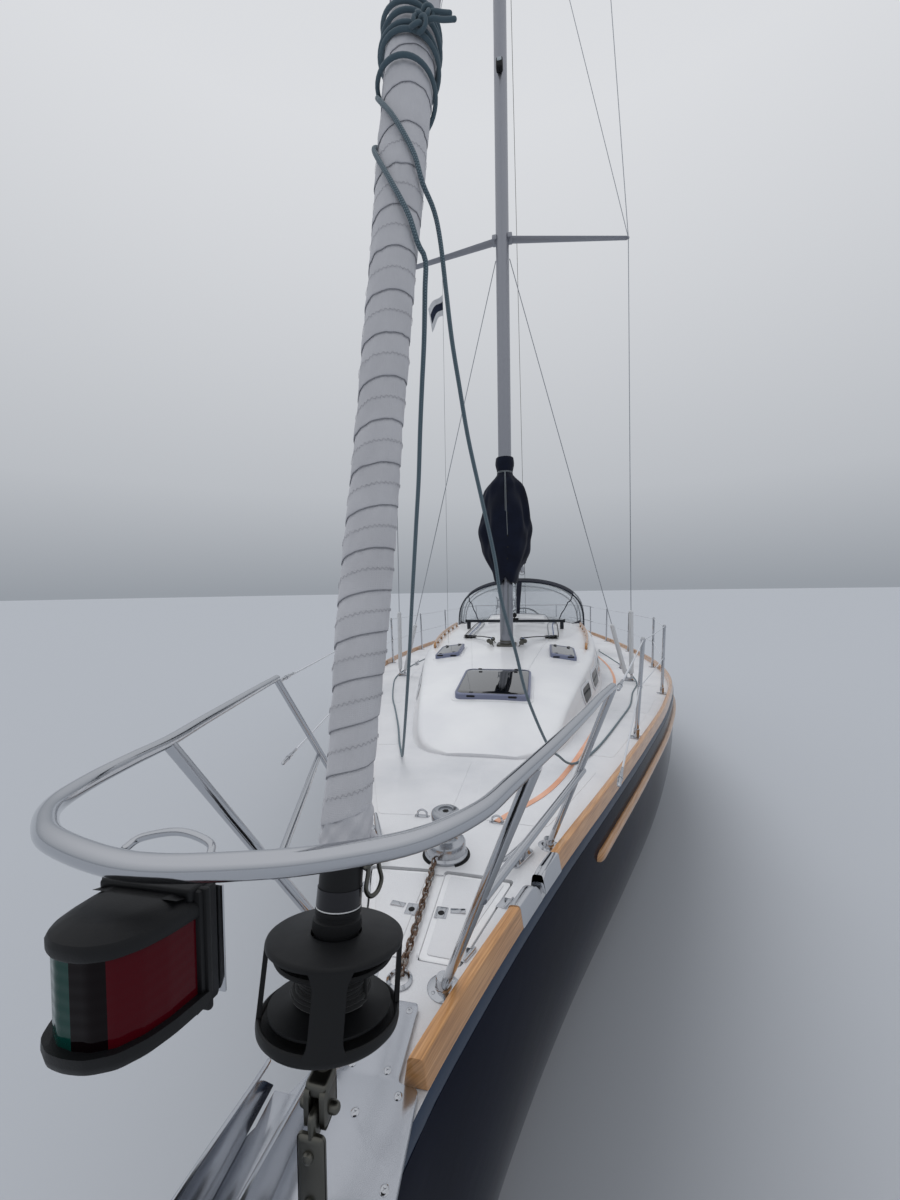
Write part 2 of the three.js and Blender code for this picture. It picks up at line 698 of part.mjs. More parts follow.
// Mast with its two pairs of spreaders and the ears that hold the gooseneck pin
const PIN = { half: 45, radius: 16 };
const mastY = (z) => MAST.y + MAST.rake * (z - MAST.foot);
const SPREADERS = [
  { z: 5580, tip: [1199, -1105, 5620], root: 30 },
  { z: 10600, tip: [900, -1005, 10640], root: 26 },
];
function mastRing(z, share = 1) {
  const count = 12;
  return [...Array(count).keys()].map((i) => {
    const angle = (i / count) * 2 * Math.PI;
    const x = (Math.cos(angle) * MAST.wide * share) / 2;
    return [x, mastY(z) + (Math.sin(angle) * MAST.deep * share) / 2, z];
  });
}
function mast() {
  const low = MAST.foot;
  const tube = loft([mastRing(low + 5), mastRing(MAST.head)], [0, 1]);
  const heel = block([-85, 85], [MAST.y - 115, MAST.y + 115], [low - 60, low + 12]).subtract(roofBody());
  const crane = block([-16, 16], [mastY(MAST.head) - 70, mastY(MAST.head) + 190], [MAST.head - 5, MAST.head + 40]);
  const arms = SPREADERS.flatMap(({ z, tip, root }) => [1, -1].map((x) =>
    rod([0, mastY(z), z], [tip[0] * x, tip[1], tip[2]], root, 8, 12)));
  const ears = [-1, 1].map((side) => {
    const ends = [GOOSENECK.z + side * (PIN.half + SEAT), GOOSENECK.z + side * (PIN.half + 16)].sort((a, b) => a - b);
    return block([-18, 18], [mastY(GOOSENECK.z) + 60, GOOSENECK.y + 18], ends);
  });
  return joined(tube, heel, crane, ...arms, ...ears);
}

// Boom with its vang, which swing together about the gooseneck
function boom() {
  const { y, z } = GOOSENECK;
  const spar = loft([y + 30, y + BOOM.length].map((place) =>
    [...Array(12).keys()].map((i) => {
      const angle = (i / 12) * 2 * Math.PI;
      return [(Math.cos(angle) * BOOM.wide) / 2, place, z + (Math.sin(angle) * BOOM.deep) / 2];
    })));
  const pin = rod([0, y, z - PIN.half], [0, y, z + PIN.half], PIN.radius, 10);
  const jaw = block([-14, 14], [y, y + 60], [z - 20, z + 20]);
  return joined(spar, pin, jaw);
}
function vang() {
  const { y, z } = GOOSENECK;
  return joined(
    rod([0, y + 14, 1875], [0, y + 1010, z - BOOM.deep / 2 - 40], 20, 8),
    rod([0, y + 1000, z - BOOM.deep / 2 - 50], [0, y + 1000, z - BOOM.deep / 2 - SEAT], 12, 8),
    rod([0, y, 1850], [0, y, 1900], 16, 10),
  );
}

// The stowed mainsail in its cover, along the boom: place aft of the gooseneck,
// half width, height above the boom, height below its top.
const COVER_LINES = [
  [170, 60, 2660, 3180],
  [330, 100, 2650, 3150],
  [700, 150, 2630.5, 3050],
  [1600, 150, 2630.5, 2960],
  [2800, 125, 2630.5, 2880],
  [3950, 80, 2630.5, 2790],
];
function sailCover() {
  const rings = COVER_LINES.map(([along, half, low, high]) => {
    const y = GOOSENECK.y + along;
    const mid = (low + high) / 2;
    return [
      [-half * 0.7, y, low],
      [half * 0.7, y, low],
      [half, y, mid - (mid - low) * 0.3],
      [half * 0.75, y, mid + (high - mid) * 0.5],
      [half * 0.2, y, high],
      [-half * 0.2, y, high],
      [-half * 0.75, y, mid + (high - mid) * 0.5],
      [-half, y, mid - (mid - low) * 0.3],
    ];
  });
  return loft(rings);
}

// The part of the cover that wraps the mast: height, half width, front.
const COLLAR_LINES = [
  [2250, 205, -1700],
  [2500, 225, -1720],
  [2900, 190, -1700],
  [3250, 125, -1670],
  [3450, 90, -1640],
];
function mastCover() {
  const ring = ([z, half, front]) => {
    const back = mastY(z) + 88;
    return [
      [half * 0.4, front, z],
      [half, front + 110, z],
      [half * 0.95, back - 20, z],
      [half * 0.75, back, z],
      [-half * 0.75, back, z],
      [-half * 0.95, back - 20, z],
      [-half, front + 110, z],
      [-half * 0.4, front, z],
    ];
  };
  const hole = loft([mastRing(2200, 1.006), mastRing(3500, 1.006)], [0, 1]);
  const slot = block([-70, 70], [GOOSENECK.y - 130, GOOSENECK.y + 200], [2200, 3500]);
  return loft(COLLAR_LINES.map(ring), [0, 1]).subtract(hole).subtract(slot);
}

// Forestay, with the headsail rolled round it and the drum that turns it
const stayPoint = (z) => {
  const share = (z - STAY.foot[2]) / (STAY.head[2] - STAY.foot[2]);
  return STAY.foot.map((value, i) => value + share * (STAY.head[i] - value));
};
const stayTilt = (Math.atan2(STAY.head[1] - STAY.foot[1], STAY.head[2] - STAY.foot[2]) * 180) / Math.PI;
// A turned shape on the forestay: radius and distance up the stay from its foot.
const onStay = (profile, sides = 16) =>
  turned(profile, [0, 0, 0], sides).rotate([-stayTilt, 0, 0]).translate(STAY.foot);

const FOIL_BORE = 9;
const BEARING = 6;
function forestay() {
  const wire = rod(stayPoint(1440), stayPoint(15880), 5, 8);
  const toggle = joined(
    rod(stayPoint(1436), stayPoint(1560), 15, 8),
    block([-17, -5 - SEAT], [-5350, -5305], [1385, 1460]),
    block([5 + SEAT, 17], [-5350, -5305], [1385, 1460]),
    block([-17, 17], [-5350, -5305], [1432, 1462]),
  );
  return joined(wire, toggle);
}
// Along the stay from its foot: the drum between its two flanges, then the torque tube.
const DRUM = { low: 186, high: 258, flange: 90, core: 42, tube: 34, top: 412 };
// The fixed guard round the drum: its two discs, their rim and its straps by turn and half width.
const GUARD = { low: 164, top: 280, rim: 104, wall: 7, bore: 15.6 };
const STRAPS = [
  [21, 23],
  [-64, 5],
  [116, 5],
];
const furlerDrum = () => onStay([
  [FOIL_BORE + 9, DRUM.low],
  [DRUM.flange, DRUM.low],
  [DRUM.flange, DRUM.low + 6],
  [DRUM.core, DRUM.low + 8],
  [DRUM.core, DRUM.high - 8],
  [DRUM.flange, DRUM.high - 6],
  [DRUM.flange, DRUM.high],
  [DRUM.tube, DRUM.high],
  [DRUM.tube, GUARD.top + 6],
  [DRUM.tube + 3, GUARD.top + 8],
  [DRUM.tube + 3, GUARD.top + 24],
  [DRUM.tube, GUARD.top + 26],
  [DRUM.tube, DRUM.top],
  [BEARING, DRUM.top],
  [BEARING, DRUM.high + 8],
  [FOIL_BORE + 9, DRUM.high],
  [FOIL_BORE + 9, DRUM.low],
], 16);
function furlerGuard() {
  const { low, top, rim, wall } = GUARD;
  const lower = onStay([[GUARD.bore, low], [rim - 6, low], [rim, low + 8], [rim, low + 18], [rim - 4, low + 18],
    [rim - 9, low + 10], [GUARD.bore, low + 10], [GUARD.bore, low]], 24);
  const upper = onStay([[DRUM.tube + RUN, top - 10], [rim, top - 10], [rim, top - 5], [rim - 5, top],
    [DRUM.tube + RUN, top], [DRUM.tube + RUN, top - 10]], 24);
  const straps = STRAPS.map(([turn, half]) =>
    block([-half, half], [-rim, -rim + wall], [low + 12, top - 6])
      .rotate([0, 0, turn]).rotate([-stayTilt, 0, 0]).translate(STAY.foot));
  return joined(lower, upper, ...straps);
}
// Rolled headsail: distance up the stay, radius.
const SAIL_LINES = [
  [DRUM.top + SEAT, 38],
  [500, 43],
  [800, 44],
  [1250, 60],
  [1760, 68],
  [2480, 75],
  [6000, 74],
  [11000, 55],
  [14300, 26],
  [14420, 16],
];
const furledSail = () => onStay([
  ...SAIL_LINES.map(([up, radius]) => [radius, up]),
  [FOIL_BORE, 14420],
  [FOIL_BORE, DRUM.top + SEAT],
  [38, DRUM.top + SEAT],
], 16);

function backstay() {
  const top = [0, mastY(MAST.head) + 176, MAST.head - 10];
  const foot = [0, 4990, deckHeight(0, 4990) + 70];
  const plateFoot = block([-5, 5], [4960, 5020], [deckHeight(0, 4990) + SEAT + 1, foot[2] + 12]);
  return joined(rod(foot, top, 4, 6), rod(foot, [0, 4830, 1700], 11, 8), plateFoot);
}

// Shrouds of one side: cap, upper diagonal and lower, on one chainplate
function shrouds() {
  const [x, y, z] = CHAINPLATE;
  const tips = SPREADERS.map(({ tip }) => [tip[0] + 6 + 4.5, tip[1], tip[2]]);
  const head = [MAST.wide / 2 + 8, mastY(MAST.head), MAST.head - 60];
  const lower = [MAST.wide / 2 + 5, mastY(5400) + 20, 5400];
  const upper = [MAST.wide / 2 + 5, mastY(10450) + 20, 10450];
  const toward = (from, to, share) => from.map((value, i) => value + share * (to[i] - value));
  const capCover = 0.155;
  const lowerFoot = [x - 46, y + 10, z];
  return joined(
    rod([x, y, z], tips[0], 4, 6),
    rod(tips[0], tips[1], 4, 6),
    rod(tips[1], head, 4, 6),
    rod(tips[0], upper, 3.5, 6),
    rod(lowerFoot, lower, 4, 6),
    rod([x, y, z - 4], toward([x, y, z], tips[0], capCover), 13, 8),
    rod(lowerFoot, toward(lowerFoot, lower, 0.13), 13, 8),
    block([x - 66, x + 18], [y - 10, y + 20], [footHeight(x, y), z + 12]),
  );
}

// Handrail along each side of the roof: a rail on feet. Place, distance in from the roof's edge.
const HANDRAIL = { high: 62, wide: 26, deep: 24, inboard: 78, feet: [-2080, -1600, -1120, -640, -160, 320, 800] };
function handrail() {
  const at = (y) => roofLines(y)[1] - HANDRAIL.inboard;
  const ends = [HANDRAIL.feet[0] - 30, ...HANDRAIL.feet, HANDRAIL.feet[HANDRAIL.feet.length - 1] + 30];
  const half = HANDRAIL.wide / 2;
  const rail = loft(ends.map((y) => {
    const x = at(y);
    const top = roofHeight(x, y) + HANDRAIL.high;
    const low = top - HANDRAIL.deep;
    return [[x - half, y, low], [x + half, y, low], [x + half, y, top], [x - half, y, top]];
  }));
  const foot = (y) => {
    const x = at(y);
    const z = roofHeight(x, y);
    return block([x - half, x + half], [y - 34, y + 34], [z - 14, z + HANDRAIL.high - HANDRAIL.deep / 2]);
  };
  return joined(rail, ...HANDRAIL.feet.map(foot));
}

// Mooring cleat inboard of the toe rail at the bow: two feet under a tapered horn
function cleat() {
  const [x, y] = [248, -4400];
  const z = deckHeight(x, y);
  const horn = bar([[-7, -118, 46], [-3, -60, 38], [0, 0, 38], [3, 60, 38], [7, 118, 46]], 11, 8, 8);
  const feet = [-34, 34].map((at) => rod([0, at, -12], [0, at, 38], 15, 8, 11));
  return joined(horn, ...feet).rotate([0, 0, -26]).translate([x, y, z]);
}

// Sprayhood over the companionway, and its two bent tubes
// Place, half width, height at the centre.
const HOOD = { frame: 66, skin: 16 };
const HOOD_LINES = [
  [880, 830, 1850],
  [1200, 910, 2080],
  [1560, 1000, 2300],
  [1950, 1050, 2372],
  [2140, 1055, 2350],
];
function hoodRing([y, half, top], inset) {
  const low = 1452;
  const count = 13;
  return [...Array(count).keys()].map((i) => {
    const angle = (i / (count - 1)) * Math.PI;
    const x = (half - inset) * Math.cos(angle) * (0.94 + 0.06 * Math.cos(angle) ** 2);
    return [x, y, low + (top - inset - low) * Math.pow(Math.sin(angle), 0.55)];
  });
}
function sprayhood() {
  const outer = loft(HOOD_LINES.map((row) => hoodRing(row, 0)));
  const inner = loft([
    [845, 790, 1830],
    ...HOOD_LINES.slice(1, 4),
    [2200, 1055, 2350],
  ].map((row) => hoodRing(row, HOOD.skin)));
  return outer.subtract(inner).subtract(roofBody()).subtract(seahoodBody().translate([0, 0, SEAT]));
}
function hoodFrame() {
  const bow = ([y, half, top], foot) => {
    const points = [];
    for (let i = 0; i <= 12; i++) {
      const angle = (i / 12) * Math.PI;
      points.push([
        (half - HOOD.frame) * Math.cos(angle) * (0.94 + 0.06 * Math.cos(angle) ** 2),
        foot + (y - foot) * Math.pow(Math.sin(angle), 0.4),
        1462 + (top - HOOD.frame - 1462) * Math.pow(Math.sin(angle), 0.55),
      ]);
    }
    return bar(points, 11, 22, 8);
  };
  const hinge = (x) => rod([x * 935, 1875, 1465.4], [x * 1012, 1900, 1465.4], 14, 8);
  return joined(bow(HOOD_LINES[3], 1900), bow([1590, 990, 2300], 1880), hinge(1), hinge(-1));
}

// Sliding hatch, the hood it runs under, and the boards that close the companionway
function hatchSlab(front, back, half, low, high) {
  return roofSlab({ x: 0, y: (front + back) / 2, half, reach: (back - front) / 2 }, low, high);
}
const slide = () =>
  hatchSlab(COMPANIONWAY.front - 20, COMPANIONWAY.back, COMPANIONWAY.half + 30, RUN - 1, 26);
const SEAHOOD = { front: 330, back: 985, high: 66, inside: 46 };
const seahoodBody = () =>
  hatchSlab(SEAHOOD.front, SEAHOOD.back, COMPANIONWAY.half + 70, -20, SEAHOOD.high);
function seahood() {
  const inner = hatchSlab(SEAHOOD.front + 30, SEAHOOD.back + 10, COMPANIONWAY.half + 42, -30, SEAHOOD.inside);
  return seahoodBody().subtract(inner).subtract(roofBody());
}
const washboard = () =>
  block([-COMPANIONWAY.half + 0.5, COMPANIONWAY.half - 0.5], [1515, 1545],
    [COMPANIONWAY.sill + 0.5, 1725]);

// Steering wheel and the pedestal it turns on
function wheel() {
  const rim = new THREE.TorusGeometry(WHEEL.radius, WHEEL.rim, 6, 30);
  const ring = solidOf(rim.rotateX(Math.PI / 2)).translate([0, WHEEL.y, WHEEL.z]);
  const spokes = [...Array(5).keys()].map((i) => {
    const angle = (i / 5) * 2 * Math.PI + Math.PI / 2;
    return rod([0, WHEEL.y, WHEEL.z],
      [WHEEL.radius * Math.cos(angle), WHEEL.y, WHEEL.z + WHEEL.radius * Math.sin(angle)], 7, 6);
  });
  const hub = rod([0, WHEEL.y - 25, WHEEL.z], [0, WHEEL.y + 25, WHEEL.z], 40, 12);
  return joined(ring, hub, ...spokes);
}
function pedestal() {
  const y = WHEEL.y - 150;
  const column = loft([
    [COCKPIT.sole + SEAT, 110, 120],
    [COCKPIT.sole + 60, 85, 90],
    [1300, 68, 78],
    [1480, 92, 90],
    [1530, 80, 80],
  ].map(([z, half, reach]) => [...Array(10).keys()].map((i) => {
    const angle = (i / 10) * 2 * Math.PI;
    return [half * Math.cos(angle), y + reach * Math.sin(angle), z];
  })), [0, 1]);
  const axle = rod([0, y, WHEEL.z], [0, WHEEL.y - 25 - SEAT, WHEEL.z], 18, 10);
  const guard = bar([[180, y - 120, COCKPIT.sole + SEAT + 8], [180, y - 120, 1000], [180, y - 120, 1450],
    [120, y - 120, 1640], [0, y - 120, 1680], [-120, y - 120, 1640], [-180, y - 120, 1450],
    [-180, y - 120, 1000], [-180, y - 120, COCKPIT.sole + SEAT + 8]], 12.5, 18, 8);
  const tie = rod([-180, y - 118, 1400], [180, y - 118, 1400], 10, 8);
  const tray = block([-60, 60], [y - 130, y], [1390, 1420]);
  return joined(column, axle, guard, tie, tray);
}

// Winch on a coaming
function winch() {
  return turned([[0, 0], [78, 0], [78, 22], [58, 34], [50, 70], [56, 118], [66, 128], [64, 146],
    [30, 152], [0, 152]], [1046, 2650, COCKPIT.coaming + SEAT]);
}

// Traveller across the roof, and the mainsheet from it to the boom
const TRAVELLER = { y: -40, half: 620 };
function traveller() {
  const beam = block([-TRAVELLER.half, TRAVELLER.half], [TRAVELLER.y - 16, TRAVELLER.y + 16], [1768, 1800]);
  const feet = [-1, 1].map((x) => {
    const at = x * (TRAVELLER.half - 30);
    return block([at - 25, at + 25], [TRAVELLER.y - 30, TRAVELLER.y + 30], [1600, 1780])
      .subtract(roofBody());
  });
  return joined(beam, ...feet);
}
function mainsheet() {
  const top = GOOSENECK.z - BOOM.deep / 2 - 8;
  return joined(
    rod([0, TRAVELLER.y, 1800 + SEAT], [0, TRAVELLER.y, 1900], 32, 8),
    rod([0, TRAVELLER.y, 1890], [0, TRAVELLER.y, top - 60], 16, 8),
    rod([0, TRAVELLER.y, top - 100], [0, TRAVELLER.y, top], 32, 8),
  );
}

// Jib sheets, wound about the rolled sail and led aft along the side decks.
// Points by hand: x, y, z.
const SHEET = 7;
const TURNS = { low: 1905, high: 2960 };
const tilt = (stayTilt * Math.PI) / 180;
const besideStay = (up, radius, angle) => {
  const aft = radius * Math.sin(angle);
  return [
    STAY.foot[0] + radius * Math.cos(angle),
    STAY.foot[1] + up * Math.sin(tilt) + aft * Math.cos(tilt),
    STAY.foot[2] + up * Math.cos(tilt) - aft * Math.sin(tilt),
  ];
};
const SHEET_STARBOARD = [
  besideStay(TURNS.low - 1, 84, Math.PI),
  besideStay(TURNS.low - 60, 84, Math.PI),
  besideStay(TURNS.low - 150, 90, Math.PI * 0.9),
  [-100, -4480, 2900],
  [-200, -4230, 2300],
  [-330, -3860, 1650],
  [-420, -3560, 1345],
  [-480, -3460, 1304],
  [-620, -3340, 1296],
  [-800, -2900, 1286],
  [-960, -2200, 1272],
  [-1110, -1200, 1256],
  [-1165, -300, 1244],
  [-1210, 600, 1230],
  [-1225, 1500, 1220],
];
const SHEET_PORT = [
  besideStay(TURNS.low - 1, 84, 0),
  besideStay(TURNS.low - 60, 84, 0),
  besideStay(TURNS.low - 150, 92, Math.PI * 0.1),
  [150, -4560, 2900],
  [240, -4200, 2300],
  [350, -3840, 1650],
  [430, -3580, 1345],
  [500, -3440, 1304],
  [640, -3300, 1296],
  [800, -2900, 1286],
  [960, -2200, 1272],
  [1110, -1200, 1256],
  [1165, -300, 1244],
  [1210, 600, 1230],
  [1225, 1500, 1220],
];
// The turns of both sheets round the rolled sail, as one sleeve.
const sheetTurns = () => onStay([
  [75.6, TURNS.low],
  [92, TURNS.low],
  [92, TURNS.high],
  [75.6, TURNS.high],
  [75.6, TURNS.low],
], 16);
const sheet = (points) => bar(points, SHEET, 64, 8);

// The boat
const boat = new THREE.Group();
function add(name, solid, material) {
  const mesh = new THREE.Mesh(geometryOf(solid), material);
  mesh.name = name;
  boat.add(mesh);
}
// A piece for each side, trimmed after it is mirrored by what it stands on.
function pair(name, solid, material, trim = (whole) => whole) {
  add(`${name}_port`, trim(solid), material);
  add(`${name}_starboard`, trim(mirrored(solid)), material);
}

add("hull", hull(), NAVY);
add("deck", deck(), DECK_GREY);
add("coachroof", coachroof(), WHITE);
add("cockpit", cockpit(), WHITE);
pair("seat_lid", seatLid(), WHITE);
add("keel", keel(), IRON);
add("rudder", rudder(), NAVY);
add("propeller", propeller(), BRONZE);
add("shaft_strut", strut(), BRONZE);
add("engine", engine(), IRON);
pair("toe_rail", toeRail(), TEAK);
pair("rub_strake", rubStrake(), TEAK, (strake) => strake.subtract(hullBody(SEAT)));
add("stem_fitting", stemFitting(), STEEL);
add("windlass", windlass(), STEEL);
pair("anchor_locker_lid", lockerLid(), DECK_GREY);
for (const hatch of HATCHES) add(hatch.name, roofSlab(hatch, -10, 30).subtract(roofBody()), LENS);
add("companionway_slide", slide(), WHITE);
add("seahood", seahood(), WHITE);
add("washboard", washboard(), TEAK);
pair("handrail", handrail(), TEAK, (rail) => rail.subtract(roofBody()));
pair("bow_cleat", cleat(), STEEL, onDeck);
add("pulpit", pulpit(), STEEL);
add("bow_light", bowLight(), BLACK);
add("pushpit", pushpit(), STEEL);
pair("lifelines", lifelines(), STEEL, onDeck);
add("mast", mast(), ALLOY);
add("boom", boom(), ALLOY);
add("vang", vang(), ALLOY);
add("sail_cover", sailCover(), NAVY_CANVAS);
add("mast_cover", mastCover(), NAVY_CANVAS);
add("forestay", forestay(), STEEL);
add("furler_drum", furlerDrum(), BLACK);
add("furler_guard", furlerGuard(), BLACK);
add("furled_sail", furledSail(), SAILCLOTH);
add("backstay", backstay(), STEEL);
pair("shrouds", shrouds(), STEEL, onDeck);
add("sprayhood", sprayhood(), NAVY_CANVAS);
add("sprayhood_frame", hoodFrame(), STEEL);
add("steering_wheel", wheel(), STEEL);
add("pedestal", pedestal(), WHITE);
pair("winch", winch(), STEEL);
add("traveller", traveller(), BLACK);
add("mainsheet", mainsheet(), ROPE);
add("sheet_turns", sheetTurns(), ROPE);
add("jib_sheet_port", sheet(SHEET_PORT), ROPE);
add("jib_sheet_starboard", sheet(SHEET_STARBOARD), ROPE);

export default boat;
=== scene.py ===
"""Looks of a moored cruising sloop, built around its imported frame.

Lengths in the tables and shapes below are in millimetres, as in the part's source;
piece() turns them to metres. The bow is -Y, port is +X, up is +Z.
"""

import math

import bmesh
import bpy
import numpy as np
from mathutils import Matrix, Vector, noise


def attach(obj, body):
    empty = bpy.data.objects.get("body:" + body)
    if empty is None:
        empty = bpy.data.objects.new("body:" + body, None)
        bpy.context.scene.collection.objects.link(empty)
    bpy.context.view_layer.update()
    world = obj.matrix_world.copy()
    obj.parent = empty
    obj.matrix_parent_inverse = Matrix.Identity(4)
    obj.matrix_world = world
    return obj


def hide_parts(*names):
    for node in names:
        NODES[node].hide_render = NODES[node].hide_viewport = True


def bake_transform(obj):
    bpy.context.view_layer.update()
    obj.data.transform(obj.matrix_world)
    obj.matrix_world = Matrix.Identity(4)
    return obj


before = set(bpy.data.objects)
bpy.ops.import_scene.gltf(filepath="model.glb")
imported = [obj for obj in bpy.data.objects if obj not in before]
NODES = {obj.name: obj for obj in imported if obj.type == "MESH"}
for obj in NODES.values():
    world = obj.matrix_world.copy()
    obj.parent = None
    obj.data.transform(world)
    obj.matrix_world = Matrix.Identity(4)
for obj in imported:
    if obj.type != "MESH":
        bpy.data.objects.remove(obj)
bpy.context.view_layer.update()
MM = 0.001
SEAT = 0.3  # gap left between two pieces that touch

# Camera, at the photograph's place: just ahead of the bow rail, looking aft
CAMERA = {"place": (0.315, -5.9, 2.2), "yaw": 11.13, "pitch": 1.33, "roll": -0.88, "lens": 13.62}


def make_camera():
    yaw, pitch, roll = (math.radians(CAMERA[k]) for k in ("yaw", "pitch", "roll"))
    ahead = Vector(
        (-math.sin(yaw) * math.cos(pitch), math.cos(yaw) * math.cos(pitch), -math.sin(pitch))
    )
    level = Vector((math.cos(yaw), math.sin(yaw), 0))
    above = level.cross(ahead)
    right = level * math.cos(roll) + above * math.sin(roll)
    up = above * math.cos(roll) - level * math.sin(roll)
    camera = bpy.data.objects.new("camera", bpy.data.cameras.new("camera"))
    camera.data.lens = CAMERA["lens"]
    camera.data.sensor_width = 36
    camera.data.clip_start, camera.data.clip_end = 0.02, 400
    turn = Matrix((right, up, -ahead)).transposed().to_4x4()
    camera.matrix_world = Matrix.Translation(CAMERA["place"]) @ turn
    bpy.context.scene.collection.objects.link(camera)
    bpy.context.scene.camera = camera


make_camera()


# Finishes
def linear(colour):
    """An sRGB hex colour as linear red, green, blue and alpha."""
    parts = [((colour >> shift) & 255) / 255 for shift in (16, 8, 0)]
    return [p / 12.92 if p <= 0.04045 else ((p + 0.055) / 1.055) ** 2.4 for p in parts] + [1]


def node(tree, kind, inputs=(), **settings):
    """Adds a node with its settings. inputs gives a value or an output to link for each socket."""
    made = tree.nodes.new(kind)
    for key, value in settings.items():
        setattr(made, key, value)
    for key, value in dict(inputs).items():
        if isinstance(value, bpy.types.NodeSocket):
            tree.links.new(value, made.inputs[key])
        else:
            made.inputs[key].default_value = value
    return made


def finish(name, colour, roughness, **more):
    """A named finish on one Principled shader, ready for its patterns."""
    made = bpy.data.materials.new(name)
    made.use_nodes = True
    tree = made.node_tree
    shader = tree.nodes["Principled BSDF"]
    shader.inputs["Base Color"].default_value = linear(colour)
    shader.inputs["Roughness"].default_value = roughness
    for key, value in more.items():
        shader.inputs[key.replace("_", " ")].default_value = value
    return made, tree, shader


def place(tree, source="Object", scale=(1, 1, 1), turn=(0, 0, 0)):
    """Coordinates for a pattern: the piece's own metres, or its UV map, scaled."""
    coordinates = node(tree, "ShaderNodeTexCoord")
    return node(
        tree,
        "ShaderNodeMapping",
        {"Vector": coordinates.outputs[source], "Scale": scale, "Rotation": turn},
    ).outputs["Vector"]


def grain(tree, vector, size_mm, detail=3, spread=0.5):
    """Noise whose lumps are about size_mm across."""
    return node(
        tree,
        "ShaderNodeTexNoise",
        {"Vector": vector, "Scale": 1000 / size_mm, "Detail": detail, "Roughness": spread},
    ).outputs["Fac"]


def tint(tree, shader, factor, colours, stops=None):
    """Colours the surface by a factor, through sRGB colours at even or given stops."""
    ramp = node(tree, "ShaderNodeValToRGB", {"Fac": factor})
    bands = ramp.color_ramp.elements
    stops = stops or [i / (len(colours) - 1) for i in range(len(colours))]
    while len(bands) < len(colours):
        bands.new(0.5)
    for band, colour, stop in zip(bands, colours, stops):
        band.position = stop
        band.color = linear(colour)
    tree.links.new(ramp.outputs["Color"], shader.inputs["Base Color"])


def roughen(tree, shader, factor, low, high):
    """Roughness between low and high by a factor."""
    made = node(tree, "ShaderNodeMapRange", {"Value": factor, "To Min": low, "To Max": high})
    tree.links.new(made.outputs["Result"], shader.inputs["Roughness"])


def bump(tree, shader, height, depth_mm, under=None):
    """Raises the surface by a height pattern of depth_mm."""
    inputs = {"Height": height, "Distance": depth_mm * MM, "Strength": 1.0}
    if under:
        inputs["Normal"] = under
    made = node(tree, "ShaderNodeBump", inputs)
    tree.links.new(made.outputs["Normal"], shader.inputs["Normal"])
    return made.outputs["Normal"]


def times(tree, a, b):
    return node(tree, "ShaderNodeMath", {0: a, 1: b}, operation="MULTIPLY").outputs[0]


def gelcoat(name, colours, roughness, ripple, coat=0.3, shine=0.5):
    """Sprayed and polished gelcoat: even colour, high gloss, a faint ripple from the mould."""
    made, tree, shader = finish(
        name, colours[0], roughness, Coat_Weight=coat, Coat_Roughness=0.06, Specular_IOR_Level=shine
    )
    vector = place(tree)
    tint(tree, shader, grain(tree, vector, 420, 4), colours, [0.35, 0.7])
    roughen(tree, shader, grain(tree, vector, 60, 5, 0.7), roughness * 0.8, roughness * 1.35)
    bump(tree, shader, grain(tree, vector, 90, 2), ripple)
    return made


NAVY_GELCOAT = gelcoat("navy_gelcoat", (0x080C1B, 0x0C1224), 0.11, 0.4, 0.0, 0.012)
WHITE_GELCOAT = gelcoat("white_gelcoat", (0xDCDDE0, 0xE6E7E8), 0.32, 0.4)
LINER = gelcoat("cabin_liner", (0xC9C6BC, 0xD2CFC6), 0.5, 0.3)
# The deck edge's slate blue is a painted reflection on dark gelcoat
SHEER_PAINTED_REFLECTION = gelcoat("dark_gelcoat_painted_reflection", (0x323C4C, 0x3A4557), 0.3, 0.3, 0.0, 0.15)


def antifouling(name, colours):
    """Rolled antifouling paint: chalky, with roller stipple and a worn, mottled colour."""
    made, tree, shader = finish(name, colours[0], 0.85)
    vector = place(tree)
    tint(tree, shader, grain(tree, vector, 260, 6, 0.65), colours, [0.3, 0.7])
    bump(tree, shader, grain(tree, vector, 9, 3), 0.5)
    return made


BOTTOM_PAINT = antifouling("antifouling_paint", (0x3A1512, 0x4C1E19))
IRON_PAINT = antifouling("antifouled_iron", (0x351410, 0x471C17))


def nonskid_deck():
    """Deck moulding with cast-in non-skid: light grey, matt, a pebble of about 4 mm, drawn
    coarser than the real 2 mm so that it shows."""
    made, tree, shader = finish("nonskid_deck", 0xCFD1D4, 0.62)
    vector = place(tree)
    tint(tree, shader, grain(tree, vector, 700, 5, 0.6), (0xC4C6CA, 0xD2D3D6, 0xDADBDD), [0.3, 0.5, 0.75])
    pebbles_per_metre = 260
    pebble = node(tree, "ShaderNodeTexVoronoi", {"Vector": vector, "Scale": pebbles_per_metre})
    bump(tree, shader, pebble.outputs["Distance"], 0.5)
    return made


NONSKID = nonskid_deck()


GRAIN_STRETCH = 0.035  # the pattern's scale along a plank, against that across it


def varnished_wood(name, dark, mid, light, gloss, along="Y", source="Object"):
    """Teak planks: grain lines about 5 mm apart along the plank, under a clear varnish."""
    made, tree, shader = finish(name, mid, gloss, Coat_Weight=0.8, Coat_Roughness=0.08, Coat_IOR=1.5)
    stretch = {"Y": (1, GRAIN_STRETCH, 1), "X": (GRAIN_STRETCH, 1, 1)}[along]
    vector = place(tree, source, stretch)
    lines = grain(tree, vector, 5, 4, 0.55)
    tint(tree, shader, lines, (dark, mid, light), [0.32, 0.52, 0.7])
    roughen(tree, shader, lines, gloss * 1.3, gloss * 0.8)
    bump(tree, shader, lines, 0.25)
    return made


